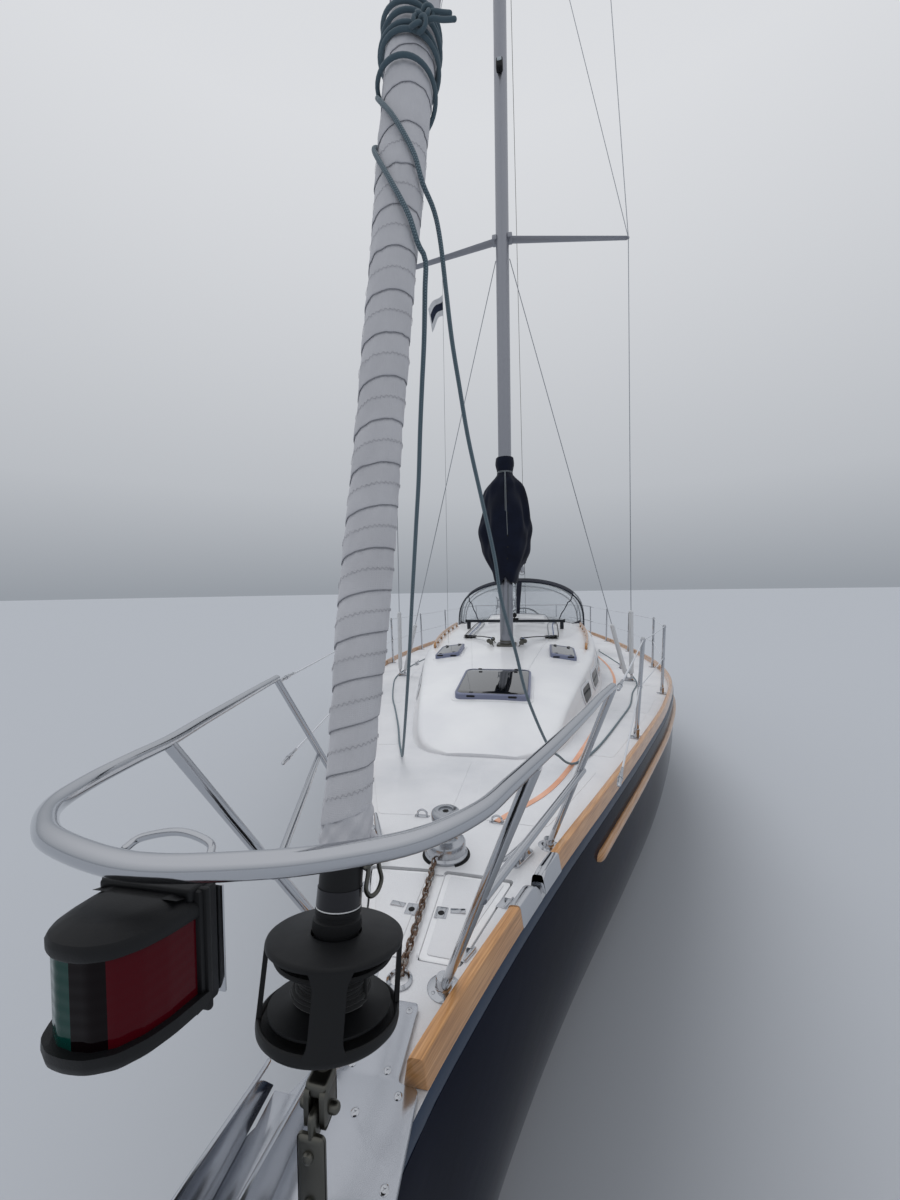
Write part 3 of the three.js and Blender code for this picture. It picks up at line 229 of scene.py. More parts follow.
TEAK = varnished_wood("varnished_teak", 0x9A6A3A, 0xB9854F, 0xCB9A66, 0.3)
RAIL_TEAK = varnished_wood("varnished_teak_rail", 0x9A6A3A, 0xB9854F, 0xCB9A66, 0.3, source="UV")
WASHBOARD_TEAK = varnished_wood("varnished_teak_board", 0x7A4820, 0xA06A33, 0xBC874B, 0.3, "X")


def polished_metal(name, colour, roughness, smear, spot_mm=26, dent=0.05):
    """Polished metal: mirror reflections, broken by faint water marks."""
    made, tree, shader = finish(name, colour, roughness, Metallic=1.0)
    vector = place(tree)
    marks = grain(tree, vector, spot_mm, 5, 0.7)
    roughen(tree, shader, marks, roughness, roughness + smear)
    bump(tree, shader, grain(tree, vector, spot_mm * 1.5, 2), dent)
    return made


STAINLESS = polished_metal("polished_stainless_steel", 0xC2C4C8, 0.06, 0.12)
WORN_STAINLESS = polished_metal("dulled_stainless_steel", 0x66655F, 0.3, 0.15)
BRONZE = polished_metal("manganese_bronze", 0xA58650, 0.3, 0.2)


def brushed_alloy(name, colour, roughness):
    """Anodised aluminium: satin, with fine upright lines, as along a mast."""
    made, tree, shader = finish(name, colour, roughness, Metallic=1.0)
    vector = place(tree, scale=(1, 1, 0.02))
    lines = grain(tree, vector, 3, 3)
    roughen(tree, shader, lines, roughness * 0.85, roughness * 1.2)
    bump(tree, shader, lines, 0.04)
    return made


ALLOY = brushed_alloy("anodised_aluminium", 0xB4B8BD, 0.38)
BRIGHT_ALLOY = brushed_alloy("bright_anodised_frame", 0xE4E6E9, 0.45)


def stripes(wide_mm):
    """Scale of a wave texture whose stripes are wide_mm wide, with gaps as wide between them."""
    return 1000 / wide_mm / 6.28


def woven(name, colours, thread_mm, roughness, fold=0.0):
    """Plain-woven cloth: crossing threads about thread_mm wide, a soft sheen, uneven dye."""
    made, tree, shader = finish(
        name, colours[0], roughness, Sheen_Weight=0.06, Sheen_Roughness=0.5, Specular_IOR_Level=0.25
    )
    vector = place(tree)
    tint(tree, shader, grain(tree, vector, 160, 5, 0.6), colours, [0.32, 0.7])
    threads = [
        node(
            tree,
            "ShaderNodeTexWave",
            {"Vector": vector, "Scale": stripes(thread_mm), "Distortion": 0.3},
            bands_direction=axis,
        ).outputs["Fac"]
        for axis in ("X", "Z")
    ]
    weave = times(tree, threads[0], threads[1])
    under = bump(tree, shader, weave, 0.25)
    if fold:
        bump(tree, shader, grain(tree, vector, 55, 3, 0.5), fold, under)
    return made


# Threads are drawn several times wider than real ones, so that they show
SAILCLOTH = woven("woven_sailcloth", (0xBEBEC2, 0xCCCCD0), 1.6, 0.75, 1.4)
NAVY_CANVAS = woven("navy_acrylic_canvas", (0x0A0F1E, 0x11182B), 1.4, 0.92, 1.5)
WEBBING = woven("faded_orange_webbing", (0xD29C80, 0xE2B39B), 2.0, 0.85)
FLAG_WHITE = woven("white_bunting", (0xCDCFD2, 0xDFE0E2), 1.0, 0.85)
FLAG_BLUE = woven("dark_blue_bunting", (0x1B2233, 0x252E42), 1.0, 0.85)
THREAD = woven("white_thread", (0xDAD7CF, 0xE8E5DE), 0.6, 0.8)


def moulded(name, colour, roughness, texture_mm=1.2, depth=0.15, **more):
    """Moulded plastic: satin, with the fine texture of its mould."""
    made, tree, shader = finish(name, colour, roughness, **more)
    vector = place(tree)
    cloud = grain(tree, vector, 50, 4, 0.6)
    roughen(tree, shader, cloud, roughness * 0.85, min(1, roughness * 1.2))
    bump(tree, shader, grain(tree, vector, texture_mm, 2), depth)
    return made


BLACK_PLASTIC = moulded("black_moulded_plastic", 0x101113, 0.5, Specular_IOR_Level=0.3)
BLACK_LABEL = moulded("black_vinyl_band", 0x0C0B14, 0.25, 3, 0.02)
WHITE_PVC = moulded("white_pvc_tube", 0xD3D5D7, 0.45, 20, 0.3)
WHITE_PLASTIC = moulded("white_moulded_plastic", 0xDFE0E1, 0.4)
# Black rubber for seals and caulking; flat black discs of it also stand in holes as painted shade
RUBBER_AND_HOLE_SHADE = moulded("black_rubber_and_painted_hole_shade", 0x101112, 0.8)
ENGINE_PAINT = moulded("grey_engine_enamel", 0x6E7378, 0.4)
SMOKED_ACRYLIC = moulded(
    "smoked_acrylic", 0x0D0F11, 0.04, 60, 0.05, Coat_Weight=1.0, Coat_Roughness=0.03, Specular_IOR_Level=0.9
)
DARK_GLASS = moulded("tinted_port_glass", 0x08090B, 0.05, 60, 0.03, Specular_IOR_Level=0.03)


def lamp_lens(name, colour):
    """Clear moulded lamp lens: deep colour, glossy, with level ribs 5 mm wide."""
    made, tree, shader = finish(name, colour, 0.1, Specular_IOR_Level=0.12)
    vector = place(tree)
    ribs = node(
        tree,
        "ShaderNodeTexWave",
        {"Vector": vector, "Scale": stripes(5)},
        bands_direction="Z",
    ).outputs["Fac"]
    bump(tree, shader, ribs, 0.12)
    return made


RED_LENS = lamp_lens("red_lamp_lens", 0x4A0510)
GREEN_LENS = lamp_lens("green_lamp_lens", 0x033A33)
DARK_LENS = lamp_lens("dark_red_lamp_lens", 0x0C0406)
CLEAR_LENS = lamp_lens("clear_lamp_lens", 0xB9C0C4)


def clear_vinyl():
    """Clear vinyl window: see-through, glossy and gently rippled."""
    made, tree, shader = finish("clear_vinyl", 0xA9B2B9, 0.08, Alpha=0.27, IOR=1.45)
    bump(tree, shader, grain(tree, place(tree), 180, 2), 3.0)
    made.surface_render_method = "BLENDED"
    return made


VINYL = clear_vinyl()


def braid(name, ground, fleck, pitch=9):
    """Braided rope: crossing strands that slant round it, flecked with a second colour.

    Strands repeat about every 0.6 mm of length for each unit of pitch.
    """
    made, tree, shader = finish(name, ground, 0.85, Sheen_Weight=0.2)
    strands = []
    for side in (1, -1):
        wave = node(
            tree,
            "ShaderNodeTexWave",
            {
                "Vector": place(tree, "UV", (1, 400 / pitch, 1), (0, 0, side * 0.9)),
                "Scale": 1.6,
            },
            bands_direction="X",
        )
        strands.append(wave.outputs["Fac"])
    cross = times(tree, strands[0], strands[1])
    tint(tree, shader, cross, (fleck, ground), [0.15, 0.6])
    bump(tree, shader, cross, 0.9)
    return made


TEAL_ROPE = braid("teal_braided_rope", 0x7A8D96, 0x4C5F69)
WHITE_ROPE = braid("white_braided_rope", 0xB4B6B6, 0x7A8084)
BLUE_ROPE = braid("blue_flecked_rope", 0xB5BAC0, 0x35507F)


def galvanised():
    """Galvanised steel, dulled and rusting: grey zinc with brown rust in patches."""
    made, tree, shader = finish("rusty_galvanised_steel", 0x77736E, 0.6, Metallic=0.6)
    vector = place(tree)
    tint(tree, shader, grain(tree, vector, 18, 5, 0.7), (0x4A3A30, 0x6E655E, 0x8C8B89), [0.35, 0.5, 0.66])
    bump(tree, shader, grain(tree, vector, 2, 3), 0.3)
    return made


GALVANISED = galvanised()


# Shapes. Each maker gives (points in millimetres, faces).
def unit(way):
    return way / np.linalg.norm(way)


def units(ways):
    return ways / np.linalg.norm(ways, axis=1)[:, None]


def full_turn(count):
    """Even angles round a circle."""
    return np.linspace(0, 2 * math.pi, count, endpoint=False)


def run_along(path):
    """How far along a path each of its points lies."""
    return np.concatenate([[0], np.cumsum(np.linalg.norm(np.diff(path, axis=0), axis=1))])


def smooth_path(points, steps):
    """A smooth line through the points, evenly spaced."""
    p = np.array(points, float)
    p = np.vstack([2 * p[0] - p[1], p, 2 * p[-1] - p[-2]])
    line = []
    for a, b, c, d in zip(p, p[1:], p[2:], p[3:]):
        for t in np.linspace(0, 1, 24, endpoint=False):
            line.append(
                0.5
                * (
                    2 * b
                    + (c - a) * t
                    + (2 * a - 5 * b + 4 * c - d) * t**2
                    + (3 * b - a - 3 * c + d) * t**3
                )
            )
    line.append(p[-2])
    line = np.array(line)
    run = run_along(line)
    even = np.linspace(0, run[-1], steps + 1)
    return np.stack([np.interp(even, run, line[:, i]) for i in range(3)], 1)


def curve_through(rows):
    """Reads a table between its rows on the smooth curve that the part's source uses."""
    table = np.array(rows, float)
    at, values = table[:, 0], table[:, 1:]

    def read(place):
        place = min(max(place, at[0]), at[-1])
        i = int(min(max(np.searchsorted(at, place, side="right"), 1), len(at) - 1))
        t0, t1 = at[i - 1], at[i]
        before, t_before = (i - 2, at[i - 2]) if i >= 2 else (i, t1)
        after, t_after = (i + 1, at[i + 1]) if i + 1 < len(at) else (i - 1, t0)
        half = (t1 - t0) / 2
        wp, wn = half / (t0 - t_before), half / (t_after - t1)
        p = (place - t0) / (t1 - t0)
        return (
            (-wp * p**3 + 2 * wp * p**2 - wp * p) * values[before]
            + ((1 + wp) * p**3 - (1.5 + 2 * wp) * p**2 + (wp - 0.5) * p + 1) * values[i - 1]
            + (-(1 + wn) * p**3 + (1.5 + wn) * p**2 + 0.5 * p) * values[i]
            + (wn * p**3 - wn * p**2) * values[after]
        )

    return read


def loft(rings, closed=True, caps=True):
    """Faces through rings that have the same number of points."""
    rings = [np.array(ring, float) for ring in rings]
    count = len(rings[0])
    faces = []
    for r in range(len(rings) - 1):
        for i in range(count if closed else count - 1):
            a, b = r * count + i, r * count + (i + 1) % count
            faces.append((a, b, b + count, a + count))
    if caps and closed:
        faces.append(tuple(reversed(range(count))))
        last = (len(rings) - 1) * count
        faces.append(tuple(range(last, last + count)))
    return np.vstack(rings), faces


def frames_along(path):
    """Two directions across a path at each of its points, without twist."""
    path = np.array(path, float)
    ahead = np.gradient(path, axis=0)
    ahead = units(ahead)
    side = np.cross(ahead[0], (0, 0, 1) if abs(ahead[0][2]) < 0.9 else (0, 1, 0))
    side = unit(side)
    sides = []
    for way in ahead:
        side = side - way * np.dot(side, way)
        side = unit(side)
        sides.append(side)
    sides = np.array(sides)
    return ahead, sides, np.cross(ahead, sides)


def tube(path, radius, sides=16, round_ends=False):
    """A round bar along a path. The radius is a number or one for each point."""
    path = np.array(path, float)
    radius = np.broadcast_to(np.array(radius, float), (len(path),))
    if round_ends:
        ahead = np.gradient(path, axis=0)
        first, last = (unit(ahead[i]) for i in (0, -1))
        lead = [(path[0] - first * radius[0] * s, radius[0] * c) for s, c in ROUND_END]
        trail = [(path[-1] + last * radius[-1] * s, radius[-1] * c) for s, c in ROUND_END[::-1]]
        path = np.vstack([[p for p, _ in lead], path, [p for p, _ in trail]])
        radius = np.concatenate([[r for _, r in lead], radius, [r for _, r in trail]])
    _, across, up = frames_along(path)
    angles = full_turn(sides)
    rings = [
        p + r * (np.cos(angles)[:, None] * a + np.sin(angles)[:, None] * b)
        for p, r, a, b in zip(path, radius, across, up)
    ]
    return loft(rings)


ROUND_END = [(0.92, 0.38), (0.71, 0.71), (0.38, 0.92)]


def rod(start, end, radius, end_radius=None, sides=16, round_ends=False):
    end_radius = radius if end_radius is None else end_radius
    return tube(np.linspace(start, end, 2), (radius, end_radius), sides, round_ends)


def lathe(profile, centre=(0, 0, 0), axis=(0, 0, 1), sides=32):
    """A turned shape: radius and height of each point, about an axis. A closed profile makes a ring."""
    ring = np.array(profile, float)
    shut = np.allclose(ring[0], ring[-1])
    if shut:
        ring = ring[:-1]
    angles = full_turn(sides)
    turn = np.array(Vector((0, 0, 1)).rotation_difference(Vector(axis)).to_matrix())
    rows = []
    for radius, height in ring:
        around = np.stack(
            [radius * np.cos(angles), radius * np.sin(angles), np.full(sides, height)], 1
        )
        rows.append(around @ turn.T + np.array(centre))
    points, faces = loft(rows, caps=not shut)
    if shut:
        last = (len(ring) - 1) * sides
        faces += [(last + i, last + (i + 1) % sides, (i + 1) % sides, i) for i in range(sides)]
    return points, faces


def plate(outline, low, high, edge=0.0):
    """A flat plate: an outline of x, y points between two heights, with a bevelled upper edge."""
    outline = np.array(outline, float)
    ring = lambda z, shrink: np.column_stack([inset(outline, shrink), np.full(len(outline), z)])
    rings = [ring(low, 0)]
    if edge:
        rings += [ring(high - edge, 0), ring(high - edge * 0.3, edge * 0.3), ring(high, edge)]
    else:
        rings.append(ring(high, 0))
    return loft(rings)


def inset(outline, distance):
    """An outline moved inwards by a distance."""
    if not distance:
        return outline
    ahead = np.roll(outline, -1, 0) - outline
    ahead = units(ahead)
    left = np.column_stack([-ahead[:, 1], ahead[:, 0]])
    turned = area(outline) > 0
    bisector = left + np.roll(left, 1, 0)
    bisector /= np.maximum((bisector**2).sum(1)[:, None] / 2, 0.2)
    return outline + bisector * distance * (1 if turned else -1)


def area(outline):
    x, y = outline[:, 0], outline[:, 1]
    return 0.5 * float((x * np.roll(y, -1) - np.roll(x, -1) * y).sum())


def rounded(outline, radius, steps=5):
    """An outline with its corners rounded."""
    outline = np.array(outline, float)
    radii = np.broadcast_to(np.array(radius, float), (len(outline),))
    points = []
    for i, corner in enumerate(outline):
        before, after = outline[i - 1], outline[(i + 1) % len(outline)]
        a, b = before - corner, after - corner
        la, lb = np.linalg.norm(a), np.linalg.norm(b)
        reach = min(radii[i], la / 2.05, lb / 2.05)
        start, end = corner + a / la * reach, corner + b / lb * reach
        for t in np.linspace(0, 1, steps):
            points.append((1 - t) ** 2 * start + 2 * t * (1 - t) * corner + t**2 * end)
    return np.array(points)


def rectangle(half_x, half_y, centre=(0, 0)):
    x, y = centre
    return [
        (x - half_x, y - half_y),
        (x + half_x, y - half_y),
        (x + half_x, y + half_y),
        (x - half_x, y + half_y),
    ]


def block(x, y, z, edge=2.0, steps=2):
    """A block between two corners with rounded edges."""
    made = bmesh.new()
    bmesh.ops.create_cube(made, size=1)
    for v in made.verts:
        v.co = [a + (c + 0.5) * (b - a) for (a, b), c in zip((x, y, z), v.co)]
    if edge:
        bmesh.ops.bevel(
            made, geom=made.edges[:], offset=edge, segments=steps, affect="EDGES", profile=0.5
        )
    made.verts.index_update()
    points = np.array([v.co[:] for v in made.verts])
    faces = [tuple(v.index for v in f.verts) for f in made.faces]
    made.free()
    return points, faces


def together(*shapes):
    """Several shapes as one, kept as separate closed bodies."""
    points, faces, start = [], [], 0
    for shape_points, shape_faces in shapes:
        points.append(shape_points)
        faces += [tuple(i + start for i in face) for face in shape_faces]
        start += len(shape_points)
    return np.vstack(points), faces


def moved(shape, by=(0, 0, 0), turn=0.0, axis="Z"):
    """A shape turned by degrees about an axis, and moved."""
    matrix = np.array(Matrix.Rotation(math.radians(turn), 3, axis))
    return shape[0] @ matrix.T + np.array(by), shape[1]


def aimed(shape, at, way):
    """A shape made about +Z, turned to point along a direction, and moved."""
    matrix = np.array(Vector((0, 0, 1)).rotation_difference(Vector(way)).to_matrix())
    return shape[0] @ matrix.T + np.array(at), shape[1]


def mirrored(shape):
    return shape[0] * np.array((-1, 1, 1)), [tuple(reversed(face)) for face in shape[1]]


def both(shape):
    return together(shape, mirrored(shape))


def on_side(shape, side):
    """A shape made for the port side, on the side that is named."""
    return shape if side == "port" else mirrored(shape)


def pad(half_x, half_y, corners, heights, edge, at):
    """A small flat base: corners gives their radius and steps, heights its low and high side."""
    return moved(plate(rounded(rectangle(half_x, half_y), *corners), *heights, edge), at)


def shade(made, angle):
    made.data.shade_smooth()
    made.data.set_sharp_from_angle(angle=math.radians(angle))


def settle(made, angle, body="root", replaces=None):
    """Shades a piece, and says which body it rides, which solid it replaces."""
    shade(made, angle)
    if body:
        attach(made, body)
    if replaces:
        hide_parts(replaces)
    return made


def piece(name, shape, material, body="root", angle=35, replaces=None, slot=None):
    """An object from a shape, at the origin, with its normals outwards, on its body."""
    mesh = bpy.data.meshes.new(name)
    mesh.from_pydata((shape[0] * MM).tolist(), [], [list(f) for f in shape[1]])
    tidy = bmesh.new()
    tidy.from_mesh(mesh)
    bmesh.ops.remove_doubles(tidy, verts=tidy.verts[:], dist=1e-6)
    bmesh.ops.dissolve_degenerate(tidy, edges=tidy.edges[:], dist=1e-6)
    bmesh.ops.recalc_face_normals(tidy, faces=tidy.faces[:])
    big = [f for f in tidy.faces if len(f.verts) > 4]
    bmesh.ops.triangulate(tidy, faces=big)
    tidy.to_mesh(mesh)
    tidy.free()
    mesh.materials.append(material)
    made = bpy.data.objects.new(name, mesh)
    bpy.context.scene.collection.objects.link(made)
    return settle(made, angle, body, replaces)


def pair(name, shape, material, **more):
    """A piece for the port side and its mirror image for the starboard side."""
    replaced = more.pop("replaces", None)
    return [
        piece(
            f"{name}_{side}",
            on_side(shape, side),
            material,
            replaces=f"{replaced}_{side}" if replaced else None,
            **more,
        )
        for side in ("port", "starboard")
    ]


def bake(made):
    """Turns an object's modifiers into plain mesh."""
    graph = bpy.context.evaluated_depsgraph_get()
    mesh = bpy.data.meshes.new_from_object(made.evaluated_get(graph))
    made.modifiers.clear()
    made.data = mesh
    return made


def cut(made, *tools):
    """Cuts shapes out of a piece."""
    for shape in tools:
        tool = piece("cutter", shape, made.data.materials[0], body=None)
        change = made.modifiers.new("cut", "BOOLEAN")
        change.operation, change.object, change.solver = "DIFFERENCE", tool, "EXACT"
        bake(made)
        bpy.data.objects.remove(tool)
    return made


def thicken(made, thickness_mm, offset=-1):
    change = made.modifiers.new("thickness", "SOLIDIFY")
    change.thickness, change.offset = thickness_mm * MM, offset
    return bake(made)


# What repeats, by Geometry Nodes
def repeat_tree():
    """Puts a small shape at each point of a mesh, turned by the point's own two directions."""
    tree = bpy.data.node_groups.new("repeat", "GeometryNodeTree")
    face = tree.interface
    face.new_socket("Geometry", in_out="OUTPUT", socket_type="NodeSocketGeometry")
    face.new_socket("Geometry", in_out="INPUT", socket_type="NodeSocketGeometry")
    face.new_socket("Unit", in_out="INPUT", socket_type="NodeSocketObject")
    face.new_socket("Finish", in_out="INPUT", socket_type="NodeSocketMaterial")
    given = node(tree, "NodeGroupInput")
    ahead = node(tree, "GeometryNodeInputNamedAttribute", {"Name": "ahead"}, data_type="FLOAT_VECTOR")
    out = node(tree, "GeometryNodeInputNamedAttribute", {"Name": "out"}, data_type="FLOAT_VECTOR")
    first = node(tree, "FunctionNodeAlignRotationToVector", {"Vector": out.outputs["Attribute"]}, axis="Z")
    second = node(
        tree,
        "FunctionNodeAlignRotationToVector",
        {"Rotation": first.outputs["Rotation"], "Vector": ahead.outputs["Attribute"]},
        axis="X",
        pivot_axis="Z",
    )
    single = node(tree, "GeometryNodeObjectInfo", {"Object": given.outputs["Unit"]})
    placed = node(
        tree,
        "GeometryNodeInstanceOnPoints",
        {
            "Points": given.outputs["Geometry"],
            "Instance": single.outputs["Geometry"],
            "Rotation": second.outputs["Rotation"],
        },
    )
    real = node(tree, "GeometryNodeRealizeInstances", {"Geometry": placed.outputs["Instances"]})
    painted = node(
        tree,
        "GeometryNodeSetMaterial",
        {"Geometry": real.outputs["Geometry"], "Material": given.outputs["Finish"]},
    )
    smooth = node(tree, "GeometryNodeSetShadeSmooth", {"Geometry": painted.outputs["Geometry"]})
    node(tree, "NodeGroupOutput", {"Geometry": smooth.outputs["Geometry"]})
    return tree


REPEAT = repeat_tree()


def repeat(name, shape, places, ahead, out, material, body="root", angle=40):
    """Repeats a shape at places in millimetres: its X along ahead, its Z along out."""
    count = len(places)
    mesh = bpy.data.meshes.new(name)
    mesh.from_pydata((np.array(places, float) * MM).tolist(), [], [])
    for key, ways in (("ahead", ahead), ("out", out)):
        ways = np.broadcast_to(np.array(ways, float), (count, 3))
        mesh.attributes.new(key, "FLOAT_VECTOR", "POINT").data.foreach_set(
            "vector", ways.astype(np.float32).ravel()
        )
    made = bpy.data.objects.new(name, mesh)
    bpy.context.scene.collection.objects.link(made)
    model = piece("unit", shape, material, body=None)
    change = made.modifiers.new("repeat", "NODES")
    change.node_group = REPEAT
    values = {"Unit": model, "Finish": material}
    for item in REPEAT.interface.items_tree:
        if item.in_out == "INPUT" and item.name in values:
            change[item.identifier] = values[item.name]
    bake(made)
    bpy.data.objects.remove(model)
    return settle(made, angle, body)


def screw_head(radius=4.5):
    """A countersunk screw head with a cross recess."""
    points, faces = lathe([
        (0, -1.5), (radius, -1.5), (radius, 0.5), (radius * 0.82, 1.3), (radius * 0.62, 1.5)
    ], sides=16)
    start = len(points)
    outline = []
    for i in range(16):
        angle = 2 * math.pi * i / 16
        cross = i % 4 == 0
        outline.append((
            radius * (0.5 if cross else 0.2) * math.cos(angle),
            radius * (0.5 if cross else 0.2) * math.sin(angle)
        ))
    rim = start - 16
    lower = [(x, y, 1.5) for x, y in outline] + [(x * 0.9, y * 0.9, 0.4) for x, y in outline]
    faces = faces[:-1]
    for i in range(16):
        j = (i + 1) % 16
        faces.append((rim + i, rim + j, start + j, start + i))
        faces.append((start + i, start + j, start + 16 + j, start + 16 + i))
    faces.append(tuple(start + 16 + i for i in range(16)))
    return np.vstack([points, lower]), faces


def refined(name, node_name, material, bevel=0.0, segments=3, angle=35, body="root"):
    """A copy of a CAD node with its edges rounded, which stands for it."""
    mesh = NODES[node_name].data.copy()
    mesh.materials.clear()
    mesh.materials.append(material)
    tidy = bmesh.new()
    tidy.from_mesh(mesh)
    bmesh.ops.remove_doubles(tidy, verts=tidy.verts[:], dist=1e-5)
    bmesh.ops.dissolve_limit(
        tidy, angle_limit=math.radians(1), verts=tidy.verts[:], edges=tidy.edges[:]
    )
    tidy.to_mesh(mesh)
    tidy.free()
    made = bpy.data.objects.new(name, mesh)
    bpy.context.scene.collection.objects.link(made)
    if bevel:
        change = made.modifiers.new("bevel", "BEVEL")
        change.width, change.segments, change.limit_method = bevel * MM, segments, "ANGLE"
        change.angle_limit = math.radians(30)
        bake(made)
    return settle(made, angle, body, node_name)


# Lines of the boat, as in the part's source
HULL_LINES = [
    [-5400, 26, 1312, 1215, 1.5, 1.2],
    [-5300, 72, 1311, 990, 1.5, 1.2],
    [-5130, 118, 1309, 600, 1.5, 1.15],
    [-4860, 212, 1306, 40, 1.5, 1.1],
    [-4450, 372, 1300, -200, 1.55, 1.15],
    [-3900, 600, 1284, -330, 1.75, 1.3],
    [-3100, 922, 1260, -440, 2.2, 1.55],
    [-2100, 1300, 1236, -510, 2.7, 1.8],
    [-900, 1648, 1206, -555, 3.1, 1.95],
    [400, 1808, 1180, -560, 3.2, 2],
    [1600, 1800, 1163, -510, 3.1, 2],
    [2800, 1706, 1158, -385, 3, 2],
    [3900, 1560, 1162, -200, 2.9, 2.05],
    [4700, 1420, 1170, -30, 2.8, 2.1],
    [5450, 1255, 1182, 210, 2.7, 2.2],
]
ROOF_LINES = [
    [-3500, 240, 200, 1308, 1316],
    [-3450, 345, 310, 1319, 1332],
    [-3360, 425, 380, 1343, 1361],
    [-3240, 482, 424, 1375, 1397],
    [-3000, 578, 482, 1437, 1463],
    [-2400, 736, 616, 1500, 1545],
    [-1500, 946, 806, 1562, 1652],
    [-500, 1076, 922, 1605, 1706],
    [600, 1110, 948, 1640, 1744],
    [1560, 1080, 922, 1662, 1766],
]
DECK_EDGE, DECK_CAMBER, MARGIN = 40, 0.035, 62
HULL_SKIN = 18
BOOT_TOP = 45  # where the bottom paint ends, above the water
CUT_LEVEL = 1150  # foot of the coachroof's sides, inside the deck
hull_lines = curve_through(HULL_LINES)
roof_lines = curve_through(ROOF_LINES)


def hull_half(y, z):
    beam, sheer, bottom, bilge, side = hull_lines(y)
    top = sheer - DECK_EDGE
    down = min(max((top - z) / (top - bottom), 0), 1)
    return beam * (1 - down**bilge) ** (1 / side)


def deck_height(x, y):
    beam, sheer = hull_lines(y)[:2]
    out = min(abs(x) / max(beam - MARGIN, 1), 1)
    return sheer + DECK_CAMBER * beam * (1 - out * out)


def roof_height(x, y):
    _, half, edge, centre = roof_lines(y)
    out = min(abs(x) / half, 1)
    return centre - (centre - edge) * out * out


def roof_side(y, z):
    """Half width of the coachroof's side at a height."""
    base, half, edge, _ = roof_lines(y)
    low = CUT_LEVEL
    spread = (base - half) / max(edge - deck_height(base, y), 40) * (edge - low)
    foot = half + min(spread, 90)
    return foot + (half - foot) * (z - low) / (edge - 22 - low)


# Hull
TRANSOM = {"low": (5450, 210), "slope": 0.37}


def on_transom(z):
    """Where the sloping transom stands at a height."""
    low_y, low_z = TRANSOM["low"]
    return low_y - TRANSOM["slope"] * (z - low_z)


BAND_DROPS = [0, 30, 60, 90, 112]  # close rows of points below the deck's edge


def hull_ring(y):
    """Points from the starboard edge of the deck, round the keel line, to the port edge."""
    beam, sheer, bottom, bilge, side = hull_lines(y)
    top = sheer - DECK_EDGE
    height = top - bottom
    drops = [d if d < 0.5 * height else 0.5 * height * d / BAND_DROPS[-1] for d in BAND_DROPS]
    start = (drops[-1] / height) ** (bilge / 2)
    angles = np.linspace(math.asin(min(start, 1)), math.pi / 2, 30)[1:]
    shares = [d / height for d in drops] + [math.sin(a) ** (2 / bilge) for a in angles]
    half = [
        (beam * max(1 - share**bilge, 0) ** (1 / side), y, top - height * share)
        for share in shares
    ]
    return [(-x, y, z) for x, y, z in half] + [(x, y, z) for x, y, z in reversed(half[:-1])]


def hull_stations(step=60):
    start, end = HULL_LINES[0][0], HULL_LINES[-1][0]
    return np.linspace(start, end, round((end - start) / step) + 1)


def make_hull():
    nose = []
    for back, wide in ((-5409, 0.45), (-5406, 0.75)):
        nose.append([(x * wide, back, z) for x, _, z in hull_ring(-5400)])
    rings = nose + [hull_ring(y) for y in hull_stations()]
    shape = loft(rings, closed=False, caps=False)
    made = piece("hull_shell", shape, NAVY_GELCOAT, body=None, angle=50)
    mesh = made.data
    work = bmesh.new()
    work.from_mesh(mesh)
    # The sloping transom, then the edge between topsides and bottom paint
    slope = Vector((0, 1, TRANSOM["slope"])).normalized()
    corner = Vector((0, TRANSOM["low"][0] * MM, TRANSOM["low"][1] * MM))
    everything = work.verts[:] + work.edges[:] + work.faces[:]
    bmesh.ops.bisect_plane(work, geom=everything, plane_co=corner, plane_no=slope, clear_outer=True)
    stern = [
        e for e in work.edges
        if e.is_boundary and all(abs((v.co - corner).dot(slope)) < 1e-5 for v in e.verts)
    ]
    stem = [e for e in work.edges if e.is_boundary and all(v.co.y < -5.408 for v in e.verts)]
    bmesh.ops.contextual_create(work, geom=stern)
    bmesh.ops.contextual_create(work, geom=stem)
    everything = work.verts[:] + work.edges[:] + work.faces[:]
    bmesh.ops.bisect_plane(work, geom=everything, plane_co=(0, 0, BOOT_TOP * MM), plane_no=(0, 0, 1))
    for face in work.faces:
        centre = face.calc_center_median()
        if abs(face.normal.dot(slope)) > 0.98:
            face.material_index = 1 if centre.z < BOOT_TOP * MM else 0
        elif centre.z < BOOT_TOP * MM:
            face.material_index = 1
    work.to_mesh(mesh)
    work.free()
    mesh.materials.append(BOTTOM_PAINT)
    thicken(made, HULL_SKIN)
    settle(made, 50, replaces="hull")


make_hull()

# The cabin's inside, as lining that shows through the ports and hatches
CABIN_LINES = [
    [-2650, 230, 560, 150],
    [-1500, 480, 800, -80],
    [-300, 700, 960, -150],
    [1500, 700, 960, -150],
]


def cabin_ring(y, sole, half, low):
    return [
        (half, y, 1190), (half, y, 700), (sole, y, low), (-sole, y, low), (-half, y, 700), (-half, y, 1190)
    ]


def make_cabin():
    rings = [cabin_ring(*row) for row in CABIN_LINES]
    points, faces = loft(rings, closed=False, caps=False)
    last = (len(rings) - 1) * 6
    faces += [tuple(range(6)), tuple(range(last, last + 6))]
    made = piece("cabin_lining", (points, faces), LINER, body="root", angle=30)
    thicken(made, 12, 1)


make_cabin()

# Deck
COCKPIT_PIT = {"half": 1136, "front": 1594, "back": 4786}
LOCKER = {"gap": 14, "front": -4872, "back": -4520, "out_front": 122, "out_back": 232}


